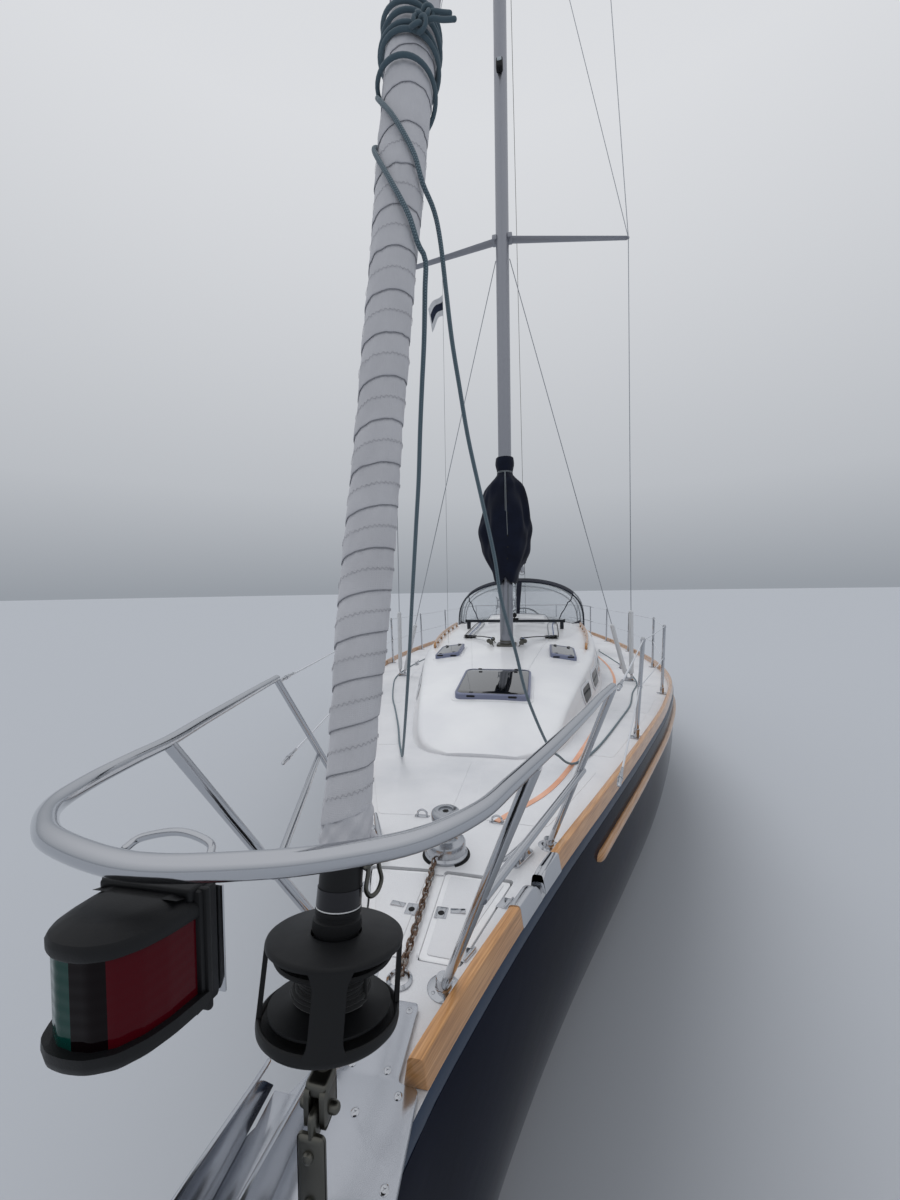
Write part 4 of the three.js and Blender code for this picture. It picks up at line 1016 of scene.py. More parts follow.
def deck_ring(y):
    """The deck's edge, its flat margin under the toe rail, and its camber."""
    beam, sheer = hull_lines(y)[:2]
    inner = max(beam - MARGIN, beam * 0.3)
    low = sheer - DECK_EDGE + SEAT
    half = [
        (beam - 8, y, low), (beam - 1, y, low), (beam, y, low + 6), (beam, y, sheer - 5),
        (beam - 4, y, sheer)
    ]
    if beam < 60:
        half = [
            (beam * x / 60, y, z)
            for x, _, z in [
                (52, 0, low), (59, 0, low), (60, 0, low + 6), (60, 0, sheer - 5), (56, 0, sheer)
            ]
        ]
    half += [(inner * t, y, deck_height(inner * t, y)) for t in np.linspace(1, 0, 22)]
    return [(x, y, z) for x, y, z in half] + [(-x, y, z) for x, y, z in reversed(half[:-1])]


def locker_outline(inset_by=0.0, aft=0.0):
    return [
        (LOCKER["gap"] + inset_by, LOCKER["front"] + inset_by),
        (LOCKER["out_front"] - inset_by, LOCKER["front"] + inset_by),
        (LOCKER["out_back"] - inset_by - aft * 0.3, LOCKER["back"] - aft),
        (LOCKER["gap"] + inset_by, LOCKER["back"] - aft),
    ]


def make_deck():
    rings = [[(x * 0.6, -5409, z) for x, _, z in deck_ring(-5400)]]
    rings += [deck_ring(y) for y in hull_stations(step=70)]
    made = piece("deck", loft(rings), NONSKID, body=None, angle=40)
    corners = [(on_transom(900), 900), (7000, 900), (7000, 1600), (on_transom(1600), 1600)]
    behind = loft([[(x, y, z) for y, z in corners] for x in (-2500, 2500)])
    cabin = [(half, y) for y, _, half, _ in CABIN_LINES]
    cabin += [(-x, y) for x, y in reversed(cabin)]
    front, back = COCKPIT_PIT["front"], COCKPIT_PIT["back"]
    well = plate(rectangle(COCKPIT_PIT["half"], (back - front) / 2, (0, (back + front) / 2)), 1000, 1500)
    lockers = plate(rounded(locker_outline(), 16), 1276, 1500)
    pit_outline = [(-100, -4850), (100, -4850), (205, -4542), (-205, -4542)]
    cut(
        made, behind, plate(cabin, 1000, 1500), well, lockers, mirrored(lockers),
        plate(pit_outline, 970, 1400)
    )
    # The deck's moulded edge, in slate blue: a painted reflection on its dark gelcoat
    made.data.materials.append(SHEER_PAINTED_REFLECTION)
    for face in made.data.polygons:
        x, y, z = (c / MM for c in face.center)
        if abs(x) > hull_lines(y)[0] - 6 and z < hull_lines(y)[1] - 1 or y < -5400:
            face.material_index = 1
    settle(made, 40, replaces="deck")


make_deck()


def draped(outline, height, thick, edge=2.0, step=40.0, under=6.0):
    """A thin panel that lies on a curved surface: an outline in plan, filled with a grid."""
    outline = np.array(outline, float)
    if area(outline) < 0:
        outline = outline[::-1]
    dense = []
    for a, b in zip(outline, np.roll(outline, -1, 0)):
        count = max(1, int(np.linalg.norm(b - a) / step))
        dense += [a + (b - a) * i / count for i in range(count)]
    dense = np.array(dense)
    work = bmesh.new()
    ring = [work.verts.new((x, y, 0)) for x, y in dense]
    work.faces.new(ring)
    low, high = dense.min(0), dense.max(0)
    for axis in (0, 1):
        for at in np.arange(low[axis] + step, high[axis] - step * 0.3, step):
            plane, way = [0, 0, 0], [0, 0, 0]
            plane[axis], way[axis] = at, 1
            everything = work.verts[:] + work.edges[:] + work.faces[:]
            bmesh.ops.bisect_plane(work, geom=everything, plane_co=plane, plane_no=way)
    work.verts.index_update()
    flat = np.array([v.co[:2] for v in work.verts])
    faces = [tuple(v.index for v in f.verts) for f in work.faces]
    loop_edges = [e for e in work.edges if e.is_boundary]
    loop = [tuple(v.index for v in e.verts) for e in loop_edges]
    follow = {}
    for e in loop_edges:
        face = e.link_faces[0]
        corners = [v.index for v in face.verts]
        a, b = (v.index for v in e.verts)
        if corners[(corners.index(a) + 1) % len(corners)] != b:
            a, b = b, a
        follow[a] = b
    work.free()
    start = loop[0][0]
    order, at = [], start
    while True:
        order.append(at)
        at = follow[at]
        if at == start:
            break
    rim = flat[order]
    top = inset(rim, edge)
    placed = flat.copy()
    placed[order] = top
    points = [np.array([(x, y, height(x, y) + thick) for x, y in placed])]
    base = len(flat)
    points.append(np.array([(x, y, height(x, y) + thick - edge) for x, y in rim]))
    points.append(np.array([(x, y, height(x, y) - under) for x, y in rim]))
    count = len(order)
    for i in range(count):
        j = (i + 1) % count
        faces.append((order[j], order[i], base + i, base + j))
        faces.append((base + j, base + i, base + count + i, base + count + j))
    points = np.vstack(points)
    floor = [base + count + i for i in range(count)]
    faces.append(tuple(floor))
    return points, faces


# Anti-skid patches on the side decks and the foredeck, with smooth strips between them
def side_outline(front, back, gap):
    ys = np.linspace(front, back, 14)
    outer = [(hull_lines(y)[0] - 130, y) for y in ys]
    inner = [(max(roof_lines(y)[0] + gap if y > -3440 else 40, 40), y) for y in ys]
    return outer + inner[::-1]


def make_patches():
    shapes = []
    for front, back in ((-3330, -2330), (-2290, -1200), (-1160, 60), (100, 1300), (1340, 1500)):
        shapes.append(both(draped(rounded(side_outline(front, back, 70), 30), deck_height, 1.4, 0.7, 60, 3)))
    fore = [(hull_lines(y)[0] - 150, y) for y in np.linspace(-4180, -3560, 6)]
    shapes.append(both(draped(rounded(fore + [(40, -3560), (40, -4180)], 30), deck_height, 1.4, 0.7, 60, 3)))
    piece("nonskid_patches", together(*shapes), PATCHES, slot="deck_nonskid")


PATCHES = nonskid_deck()
make_patches()

# Coachroof
PORTS = [
    [-2290, 330, 105],
    [-1740, 400, 120],
    [-1180, 400, 120],
    [-420, 640, 130],
    [420, 640, 130],
]
SMALL_HATCH_PIN = (-1868, 1600)
HATCHES = [
    {"name": "forward_hatch", "x": 0, "y": -2680, "half": 250, "reach": 275, "pin": (-2955, 1495)},
    {"name": "port_hatch", "x": 517, "y": -1690, "half": 112, "reach": 178, "pin": SMALL_HATCH_PIN},
    {"name": "starboard_hatch", "x": -517, "y": -1690, "half": 112, "reach": 178, "pin": SMALL_HATCH_PIN},
]
HATCH_RIM = 34
HATCH_TALL = 42
COMPANIONWAY = {"half": 310, "front": 1010, "back": 1600, "sill": 1232}


def roof_ring(y, shell=0.0):
    """The coachroof's section, with a rounded shoulder."""
    _, half, edge, centre = roof_lines(y)
    low = CUT_LEVEL
    foot = roof_side(y, low) - shell
    h = half - shell
    camber = lambda x: centre - (centre - edge) * (x / half) ** 2 - shell
    side_top = camber(half) - 30
    sides = [(foot + (h - foot) * t, y, low + (side_top - low) * t) for t in (0, 0.25, 0.5, 0.75, 1)]
    start, end = np.array((h, side_top)), np.array((h * 0.9, camber(h * 0.9)))
    corner = np.array((h - 1, camber(h) - 2))
    bend = []
    for t in np.linspace(0, 1, 8)[1:]:
        x, z = (1 - t) ** 2 * start + 2 * t * (1 - t) * corner + t**2 * end
        bend.append((x, y, z))
    top = [(h * 0.9 * t, y, camber(h * 0.9 * t)) for t in np.linspace(1, 0, 12)[1:]]
    half_ring = sides + bend + top
    return half_ring + [(-x, y, z) for x, y, z in reversed(half_ring[:-1])]


def port_outline(port, grow=0.0):
    y, length, height = port
    z = (roof_lines(y)[2] + deck_height(roof_lines(y)[0], y)) / 2 + 4
    shape = rounded(rectangle(length / 2 + grow, height / 2 + grow), height * 0.48 + grow, 9)
    return [(y + a, z + b) for a, b in shape]


def wall_plate(outline, inner, outer, edge=1.5):
    """A plate that follows the coachroof's side, between two distances from it."""
    flat = np.array(outline)
    steps = [(inner, 0), (outer - edge, 0), (outer, edge)]
    rings = []
    for out, shrink in steps:
        rings.append([(roof_side(y, z) + out, y, z) for y, z in inset(flat, shrink)])
    return loft(rings)


def make_coachroof():
    stations = [
        -3500, -3480, -3450, -3400, -3360, -3300, -3240, -3170, -3090
    ] + list(np.linspace(-3000, 1560, 58))
    made = piece("coachroof", loft([roof_ring(y) for y in stations]), WHITE_GELCOAT, body=None, angle=40)
    inner = [roof_ring(y, 30) for y in np.linspace(-2700, 1500, 24)]
    tools = [loft([[(x, y, z if z > CUT_LEVEL + 1 else z - 60) for x, y, z in ring] for ring in inner])]
    for port in PORTS:
        outline = port_outline(port)
        tools.append(loft([[(x, y, z) for y, z in outline] for x in (300, 1400)]))
        tools.append(loft([[(x, y, z) for y, z in outline] for x in (-1400, -300)]))
    for hatch in HATCHES:
        hole = rounded(rectangle(
            hatch["half"] - HATCH_RIM, hatch["reach"] - HATCH_RIM, (hatch["x"], hatch["y"])
        ), 30)
        tools.append(plate(hole, 1300, 1900))
    half, front, back = COMPANIONWAY["half"], COMPANIONWAY["front"], COMPANIONWAY["back"]
    tools.append(plate(
        rectangle(half, (back + 100 - front) / 2, (0, (back + 100 + front) / 2)), COMPANIONWAY["sill"], 2000
    ))
    cut(made, *tools)
    settle(made, 40, replaces="coachroof")
    lenses = [wall_plate(port_outline(port, 3), -16, 3) for port in PORTS]
    rims = [wall_plate(port_outline(port, 20), 0.4, 7, 2.5) for port in PORTS]
    piece("port_lenses", both(together(*lenses)), DARK_GLASS, slot="smoked_lens")
    frames = piece("port_frames", both(together(*rims)), BRIGHT_ALLOY, body=None, slot="alloy")
    for port in PORTS:
        hole = wall_plate(port_outline(port, 1), -30, 30)
        cut(frames, hole, mirrored(hole))
    settle(frames, 35)


make_coachroof()

# Toe rails, rubbing strakes
RAIL = {"high": 56, "wide": 46, "top": 30, "front": -5140, "back": 5060}
CHOCK = {"front": -4665, "back": -4485}
STRAKE = {"down": 160, "high": 44, "proud": 24, "front": -4060, "back": 5060}


def rail_ring(y, shrink=0.0):
    """The toe rail's section at a place, outer foot first, with rounded upper corners."""
    beam, sheer = hull_lines(y)[:2]
    out, low = beam - 3, sheer + SEAT
    lean = (RAIL["wide"] - RAIL["top"]) / 2
    high, wide = RAIL["high"], RAIL["wide"]
    section = [
        (0, 0),
        (lean * 0.9, high - 7),
        (lean + 2, high - 2),
        (lean + 8, high),
        (wide - lean - 8, high),
        (wide - lean - 2, high - 2),
        (wide - lean * 0.9, high - 7),
        (wide, 0),
    ]
    middle = np.array((wide / 2, high * 0.45))
    ring = []
    for point in section:
        across, up = middle + (np.array(point) - middle) * (1 - shrink)
        ring.append((out - across, y, low + max(up, 0)))
    return ring


def rail_length(front, back, step=60):
    """A length of toe rail with eased ends."""
    count = max(2, round((back - front) / step))
    rings = [rail_ring(front, 0.12), rail_ring(front + 1.5, 0.03)]
    rings += [rail_ring(y) for y in np.linspace(front + 5, back - 5, count)]
    rings += [rail_ring(back - 1.5, 0.03), rail_ring(back, 0.12)]
    return loft(rings)


def along_hull(pieces):
    """UV that follows the hull's edge, in metres, so that the wood's grain runs along the rail."""
    for made in pieces:
        layer = made.data.uv_layers.new(name="along")
        for loop in made.data.loops:
            x, y, z = made.data.vertices[loop.vertex_index].co
            layer.data[loop.index].uv = (hull_lines(y / MM)[0] * MM - abs(x) + z, y)


def lowered(ring, share):
    """A rail's section with its top lowered by a share of the notch for the rope."""
    return [(x, y, z - 26 * share * (z - hull_lines(y)[1]) / 60) for x, y, z in ring]


def make_rails():
    rail = together(
        rail_length(RAIL["front"], CHOCK["front"] - 2, 25),
        rail_length(CHOCK["back"] + 2, RAIL["back"]),
    )
    along_hull(pair("toe_rail", rail, RAIL_TEAK, replaces="toe_rail", slot="teak"))
    # Bow chock: two polished castings that cap the rail's ends, with a notch between for the rope
    jaws = []
    for front, back in ((CHOCK["front"] - 46, -4590), (-4562, CHOCK["back"] + 46)):
        ys = np.linspace(front, back, 14)
        rings = [rail_ring(ys[0], 0.02)]
        for y in ys:
            open_end = max(0, 1 - abs(y - (back if back < -4570 else front)) / 40)
            rings.append(lowered(rail_ring(y, -0.09), open_end**2))
        rings.append(lowered(rail_ring(ys[-1], 0.02), 1))
        jaws.append(loft(rings))
    base = [rail_ring(y, -0.05) for y in np.linspace(CHOCK["front"] + 6, CHOCK["back"] - 6, 8)]
    base = loft([[(x, y, min(z, hull_lines(y)[1] + 9)) for x, y, z in ring] for ring in base])
    pair("bow_chock", together(*jaws, base), STAINLESS, slot="stainless")
    rings = []
    front, back = STRAKE["front"], STRAKE["back"]
    stations = np.linspace(front + 60, back - 20, 140)
    for y in [front, front + 4, front + 12, front + 30, *stations, back - 6, back]:
        ease = min((y - front) / 30, (back - y) / 30, 1)
        size = 0.25 + 0.75 * math.sqrt(max(1 - (1 - ease) ** 2, 0))
        z = hull_lines(y)[1] - STRAKE["down"]
        out = hull_half(y, z)
        ring = []
        for angle in np.linspace(-90, 90, 11):
            a = math.radians(angle)
            x = out - 2 + STRAKE["proud"] * size * math.cos(a) ** 0.6 + 2 * size
            ring.append((x, y, z + STRAKE["high"] / 2 * size * math.sin(a)))
        ring += [(out - 7, y, z + 20 * size), (out - 7, y, z - 20 * size)]
        rings.append(ring)
    along_hull(pair("rub_strake", loft(rings), RAIL_TEAK, replaces="rub_strake", slot="teak"))


make_rails()


# Bow rail
PULPIT_TUBE = 10.54
RAIL_PATH = [
    [512, -4588, 1925], [455, -4767, 1933], [415, -4901, 1937], [353, -5099, 1944], [307, -5238, 1949],
    [277, -5340, 1957], [250, -5424, 1963], [207, -5502, 1972], [150, -5555, 1981], [90, -5588, 1987],
    [0, -5603, 1986]
]


def foot_flange(x, y, height, radius=38, screws=4):
    """A round foot on the deck: a thin dished disc with a collar and countersunk screws."""
    z = height(x, y)
    disc = lathe([
        (radius, -3), (radius, 2), (radius - 2, 3.4), (19, 5), (17, 8), (17, 26), (15.5, 28), (0, 28)
    ], (x, y, z), sides=32)
    heads = []
    for i in range(screws):
        angle = math.pi / screws + i * 2 * math.pi / screws
        at = (x + radius * 0.72 * math.cos(angle), y + radius * 0.72 * math.sin(angle), z + 3.4)
        heads.append(lathe([(4.6, -1), (4.6, 1), (3.4, 1.9), (0, 2.2)], at, sides=12))
    return together(disc, *heads)


def make_pulpit():
    whole = RAIL_PATH + [[-x, y, z] for x, y, z in reversed(RAIL_PATH[:-1])]
    parts = [tube(smooth_path(whole, 200), PULPIT_TUBE, 24)]
    for side in (1, -1):
        at = lambda x, y, z: (x * side, y, z)
        fore = at(96, -4930, deck_height(96, -4930))
        aft = at(338, -4300, deck_height(338, -4300))
        parts += [
            rod(fore, at(307, -5240, 1945), PULPIT_TUBE, sides=24),
            rod(aft, at(512, -4590, 1921), PULPIT_TUBE, sides=24),
            rod(at(443, -4453, 1633), at(208, -5098, 1639), PULPIT_TUBE * 0.9, sides=24),
        ]
    for side in (1, -1):
        parts.append(foot_flange(96 * side, -4930, deck_height))
        parts.append(foot_flange(338 * side, -4300, deck_height))
    piece("pulpit", together(*parts), STAINLESS, replaces="pulpit", slot="stainless")


make_pulpit()

# Bow light
LIGHT = {"low": 1852, "high": 1952, "back": -5562, "rise": 0.17}
LENS_PLAN = [
    (-53, -5580), (-50, -5608), (-45, -5626), (-36, -5640), (-22, -5647.5), (-8, -5649), (6, -5647.5),
    (20, -5640), (29, -5626), (34, -5608), (37, -5580)
]


def make_bow_light():
    lens = np.array(LENS_PLAN, float)
    low, high = LIGHT["low"], LIGHT["high"]
    run = run_along(lens)
    even = np.linspace(0, run[-1], 61)
    wall = np.stack([np.interp(even, run, lens[:, i]) for i in range(2)], 1)
    centre = np.array((-8, -5570))
    # The case rises towards its front, as it stands on the sloping rail
    tilted = lambda shape: (
        shape[0] + np.outer((LIGHT["back"] - shape[0][:, 1]) * LIGHT["rise"], (0, 0, 1)), shape[1]
    )
    for name, start, end, material in (
        ("bow_light_green", 0, 30, GREEN_LENS),
        ("bow_light_middle", 30, 38, DARK_LENS),
        ("bow_light_red", 38, 60, RED_LENS),
    ):
        part = wall[start : end + 1]
        inner = centre + (part - centre) * 0.93
        outline = list(part) + list(reversed(inner))
        piece(name, tilted(plate(outline, low + 13, high - 17)), material, angle=30)
    grow = lambda by: rounded(inset(lens, -by), 5, 3)
    # The lid's and the tray's sections: height, and how far in
    lid = [(high - 20, 1), (high - 18, 0), (high - 12, 0), (high - 8.5, 1.6), (high - 2, 12), (high, 20)]
    tray = [
        (low, 12), (low + 1.5, 5), (low + 5, 1), (low + 10, 0), (low + 16, 0.5), (low + 16, 7),
        (low + 13, 7.5)
    ]
    stacked = lambda outline, rows: loft([
        np.column_stack([inset(outline, shrink), np.full(len(outline), z)]) for z, shrink in rows
    ])
    top, base = stacked(grow(3), lid), stacked(grow(7), tray)
    back = block((-57, 41), (-5583, LIGHT["back"]), (low + 2, high + 1), 3)
    hump = block((-52, 36), (-5588, -5560), (high - 8, high + 4), 3, 3)
    bezel = block((-60, 44), (-5579, -5573), (low - 1, high + 2), 2)
    piece(
        "bow_light_case", tilted(together(top, base, back, hump, bezel)), BLACK_PLASTIC,
        replaces="bow_light", slot="black_plastic"
    )
    plate_back = block((-54, 45.5), (-5561.5, -5559.5), (low + 3, high - 3), 0.8)
    hoop = tube(smooth_path([
        (-107, -5512, 1938), (-98, -5500, 1944), (-56, -5495, 1951), (-18, -5499, 1945), (-8, -5512, 1938)
    ], 40), 4, 12, True)
    clamp = block((-24, 8), (-5561, -5538), (1930, 1950), 3)
    piece("bow_light_bracket", together(plate_back, hoop, clamp), STAINLESS, slot="stainless")


make_bow_light()

# Forestay, furler and rolled headsail
STAY_FOOT = np.array((0.0, -5330.0, 1400.0))
STAY_HEAD = np.array((0.0, -1290.0, 15900.0))
STAY_WAY = unit(STAY_HEAD - STAY_FOOT)
STAY_AFT = np.array((0.0, STAY_WAY[2], -STAY_WAY[1]))
STAY_SIDE = np.array((1.0, 0.0, 0.0))
DRUM = {"low": 186, "high": 258, "flange": 90, "tube": 34, "top": 412}
GUARD = {"low": 164, "top": 280, "rim": 104, "wall": 7, "bore": 15.6}


def up_stay(up, radius=0.0, angle=0.0):
    """A point beside the forestay: distance up it, distance from it, and turn from port."""
    return STAY_FOOT + STAY_WAY * up + radius * (math.cos(angle) * STAY_SIDE + math.sin(angle) * STAY_AFT)


def on_stay(profile, sides=48):
    """A turned shape on the forestay: radius and distance up it."""
    points, faces = lathe(profile, sides=sides)
    matrix = np.column_stack([STAY_SIDE, STAY_AFT, STAY_WAY])
    return points @ matrix.T + STAY_FOOT, faces


def beside_stay(shape):
    matrix = np.column_stack([STAY_SIDE, STAY_AFT, STAY_WAY])
    return shape[0] @ matrix.T + STAY_FOOT, shape[1]


def sleeve(radius, thick, low, high):
    """A thin sleeve round the furler's tube, between two distances up the stay."""
    inner, outer = radius + 0.2, radius + thick
    return on_stay([(inner, low), (outer, low), (outer, high), (inner, high), (inner, low)], 72)


def make_furler():
    low, top, rim, wall = (GUARD[k] for k in ("low", "top", "rim", "wall"))
    lower = on_stay([
        (GUARD["bore"], low), (rim - 14, low), (rim - 5, low + 2), (rim - 1, low + 6), (rim, low + 11),
        (rim - 1, low + 17), (rim - 3.5, low + 18.5), (rim - 6, low + 17), (rim - 8, low + 12),
        (rim - 14, low + 9.5), (GUARD["bore"], low + 9.5), (GUARD["bore"], low)
    ], 96)
    bore = DRUM["tube"] + 5
    upper = on_stay([
        (bore, top - 10), (rim - 3, top - 10), (rim - 0.5, top - 8), (rim, top - 5), (rim - 1, top - 2),
        (rim - 4, top), (bore + 14, top + 1.5), (bore + 9, top + 3), (bore, top + 3), (bore, top - 10)
    ], 96)
    parts = [lower, upper]
    for turn, half in ((21, 23), (-64, 4.5), (116, 4.5)):
        # A strap that flares into both discs
        rings = []
        for share in np.linspace(0, 1, 13):
            z = low + 10 + (top - 6 - low - 10) * share
            flare = half + (9 if half > 20 else 4) * max(abs(share * 2 - 1) - 0.55, 0) ** 1.6 / 0.45**1.6
            angles = np.linspace(-flare, flare, 7) / rim
            ring = [(rim * math.sin(a), -rim * math.cos(a), z) for a in angles]
            ring += [((rim - wall) * math.sin(a), -(rim - wall) * math.cos(a), z) for a in reversed(angles)]
            rings.append(ring)
        parts.append(beside_stay(moved(loft(rings), turn=turn)))
    piece(
        "furler_guard", together(*parts), BLACK_PLASTIC, replaces="furler_guard", slot="black_plastic",
        angle=40
    )
    tube_r, flange = DRUM["tube"], DRUM["flange"]
    spool = on_stay([
        (12, DRUM["low"]), (flange - 2, DRUM["low"]), (flange, DRUM["low"] + 2), (flange, DRUM["low"] + 5),
        (70, DRUM["low"] + 7), (54, DRUM["low"] + 12), (40, DRUM["low"] + 20), (40, DRUM["high"] - 12),
        (flange - 2, DRUM["high"] - 6), (flange, DRUM["high"] - 3), (flange - 2, DRUM["high"]),
        (tube_r, DRUM["high"]), (tube_r, top + 5), (tube_r + 3.5, top + 7), (tube_r + 4, top + 12),
        (tube_r + 3.5, top + 22), (tube_r, top + 24), (tube_r, top + 30), (tube_r + 2, top + 31),
        (tube_r + 2, top + 36), (tube_r, top + 37), (tube_r, DRUM["top"]), (7, DRUM["top"]),
        (7, DRUM["low"] + 20), (12, DRUM["low"])
    ], 72)
    piece(
        "furler_drum", spool, BLACK_PLASTIC, body="furler", replaces="furler_drum", slot="black_plastic",
        angle=40
    )
    piece("furler_band", sleeve(tube_r, 1.2, top + 40, top + 66), BLACK_LABEL, body="furler", angle=40)
    piece("furler_band_edge", sleeve(tube_r, 1.4, top + 38, top + 39.4), WHITE_PLASTIC, body="furler")
    # Furling line wound on the spool, in slack, uneven turns
    turns, per = 15, 36
    path = []
    for i in range(turns * per + 1):
        angle = 2 * math.pi * i / per
        layer = 4.5 if i > turns * per * 0.55 else 0
        share = (i / (turns * per) * 2) % 1 if i <= turns * per * 0.5 else 1 - (i / (turns * per) * 2) % 1
        up = 19 + (DRUM["high"] - DRUM["low"] - 34) * share
        foot = max(0, 1 - share * 2.4) * 9
        path.append((up, 45 + layer + foot + 1.3 * math.sin(angle * 2.3), angle))
    rope = [up_stay(DRUM["low"] + up, radius, angle) for up, radius, angle in path]
    piece("furling_line", tube(rope, 3.6, 8, True), DARK_ROPE, body="furler", slot="rope")


DARK_ROPE = braid("black_braided_rope", 0x1C1D20, 0x0C0D0E, 6)
make_furler()

# The rolled headsail: distance up the stay and radius
SAIL_LINES = [
    [412.3, 38], [440, 41.5], [534, 40.5], [634, 43.5], [738, 48], [852, 50.5], [1100, 50], [1240, 50.5],
    [1386, 53], [1520, 54], [1660, 56], [1860, 60], [2010, 63], [2226, 68], [2480, 71], [6000, 74],
    [11000, 55], [14300, 26], [14420, 15],
]
sail_radius = lambda up: float(np.interp(up, [r[0] for r in SAIL_LINES], [r[1] for r in SAIL_LINES]))
SAIL_PITCH = [[400, 69], [800, 76], [1300, 103], [1800, 122], [3000, 150], [6000, 225], [14500, 300]]


def sail_turns():
    """Turns of the rolled sail's edge below each point of the stay."""
    ups = np.arange(400, 14440, 5.0)
    rate = 1 / np.interp(ups, [r[0] for r in SAIL_PITCH], [r[1] for r in SAIL_PITCH])
    return ups, np.cumsum(rate) * 5


SAIL_UPS, SAIL_TURNS = sail_turns()
turns_at = lambda up: float(np.interp(up, SAIL_UPS, SAIL_TURNS))


# Across one turn of the rolled sail: share of its width from its lower edge, and height above the roll
SAIL_FOLD = [
    (0.012, -1.4), (0.0, 0.3), (0.003, 1.2), (0.02, 1.6), (0.08, 1.7), (0.25, 1.5), (0.5, 1.1), (0.8, 0.2),
    (1.0, -1.0), (1.012, -1.4)
]


def sail_surface(up, angle, lift=2.0):
    lump = noise.noise((math.cos(angle) * 1.6, math.sin(angle) * 1.6, up / 260)) * 2.4
    crease = noise.noise((math.cos(angle) * 4.2, math.sin(angle) * 4.2, up / 42)) * 2.6
    return sail_radius(up) - 3.2 + lift + (lump + crease) * min(1, (up - 400) / 200)


def sail_up(phase):
    return float(np.interp(phase, SAIL_TURNS, SAIL_UPS))


def fold_point(phase, share, lift):
    """A point of the sail's outer layer: how many turns up its edge, and across the turn."""
    low, high = (sail_up(p) + 5 * noise.noise((p * 2.3, 4.0, 0.0)) for p in (phase, phase + 1))
    up, angle = low + (high - low) * share, 2 * math.pi * phase
    return up_stay(up, sail_surface(up, angle, lift), angle)


def make_sail():
    shapes, tape_and_shadow_lines = [], []
    first, change, last = turns_at(414), turns_at(3300), turns_at(14420) - 1
    for start, end, sides in ((first, change, 64), (change, last, 36)):
        phases = start + np.arange(0, int((end - start) * sides) + 1) / sides
        shapes.append(loft([[fold_point(p, s, h) for s, h in SAIL_FOLD] for p in phases], closed=False))
        # A dark cord just under each turn's edge: the edge tape's own grey with a painted shadow of the
        # overhang
        tape_and_shadow_lines.append(tube([fold_point(p, -0.012, 0.9) for p in phases[sides:]], 0.55, 6))
    piece(
        "furled_headsail", together(*shapes), SAILCLOTH, body="furler", replaces="furled_sail",
        slot="sailcloth", angle=60
    )
    piece("sail_edge_tape", together(*tape_and_shadow_lines), EDGE_TAPE_AND_SHADOW, body="furler", slot="sailcloth")
    # The inner turns under the sail's lowest edge: the same cloth, painted darker as painted shade
    inner = on_stay(
        [(0, 400)] + [(sail_radius(u) - 9, u) for u in np.linspace(402, 640, 12)] + [(0, 642)], 48
    )
    piece("sail_inner_turns", inner, SHADED_CLOTH, body="furler", slot="sailcloth")
    # Zigzag stitches along the middle of each turn
    step, phases, at = 4.6, [], turns_at(440)
    while sail_up(at) < 1900:
        phases.append(at)
        at += step / (2 * math.pi * sail_radius(sail_up(at)))
    places = np.array([fold_point(p, 0.5, 2.3) for p in phases])
    onward = np.gradient(places, axis=0)
    onward = units(onward)
    out = np.array([p - up_stay(float(np.dot(p - STAY_FOOT, STAY_WAY))) for p in places])
    out = units(out)
    slant = np.cross(out, onward) * np.where(np.arange(len(places)) % 2, 1.0, -1.0)[:, None]
    stitch = rod((-3.4, 0, 0), (3.4, 0, 0), 0.4, sides=4)
    repeat("sail_stitches", stitch, places, onward * 0.66 + slant * 0.75, out, SAIL_THREAD, body="furler")


# Dark grey of the edge cord: partly the tape's colour, partly painted shadow under each turn
EDGE_TAPE_AND_SHADOW = woven("dark_edge_tape_and_painted_shadow", (0x85868C, 0x94959B), 1.0, 0.85)
# Sailcloth painted darker: painted shade for the turns inside the roll
SHADED_CLOTH = woven("inner_sailcloth_painted_shade", (0x8D908E, 0x9EA19F), 1.6, 0.85)
SAIL_THREAD = woven("grey_sail_thread", (0xA9A9AE, 0xB6B6BA), 0.5, 0.85)
make_sail()

# Jib sheets: turns round the rolled sail, then two free ropes led aft along the deck
SHEET = 5.8
WRAPS = [
    # start up the stay, start turn, end up the stay, end turn
    (2090, 1.80, 2375, 4.6),
    (2220, 1.76, 2350, 4.2),
]


def on_sail(up, turn, lift=0.0):
    angle = turn * 2 * math.pi
    return up_stay(up, sail_radius(up) + SHEET + 2 + lift, angle)


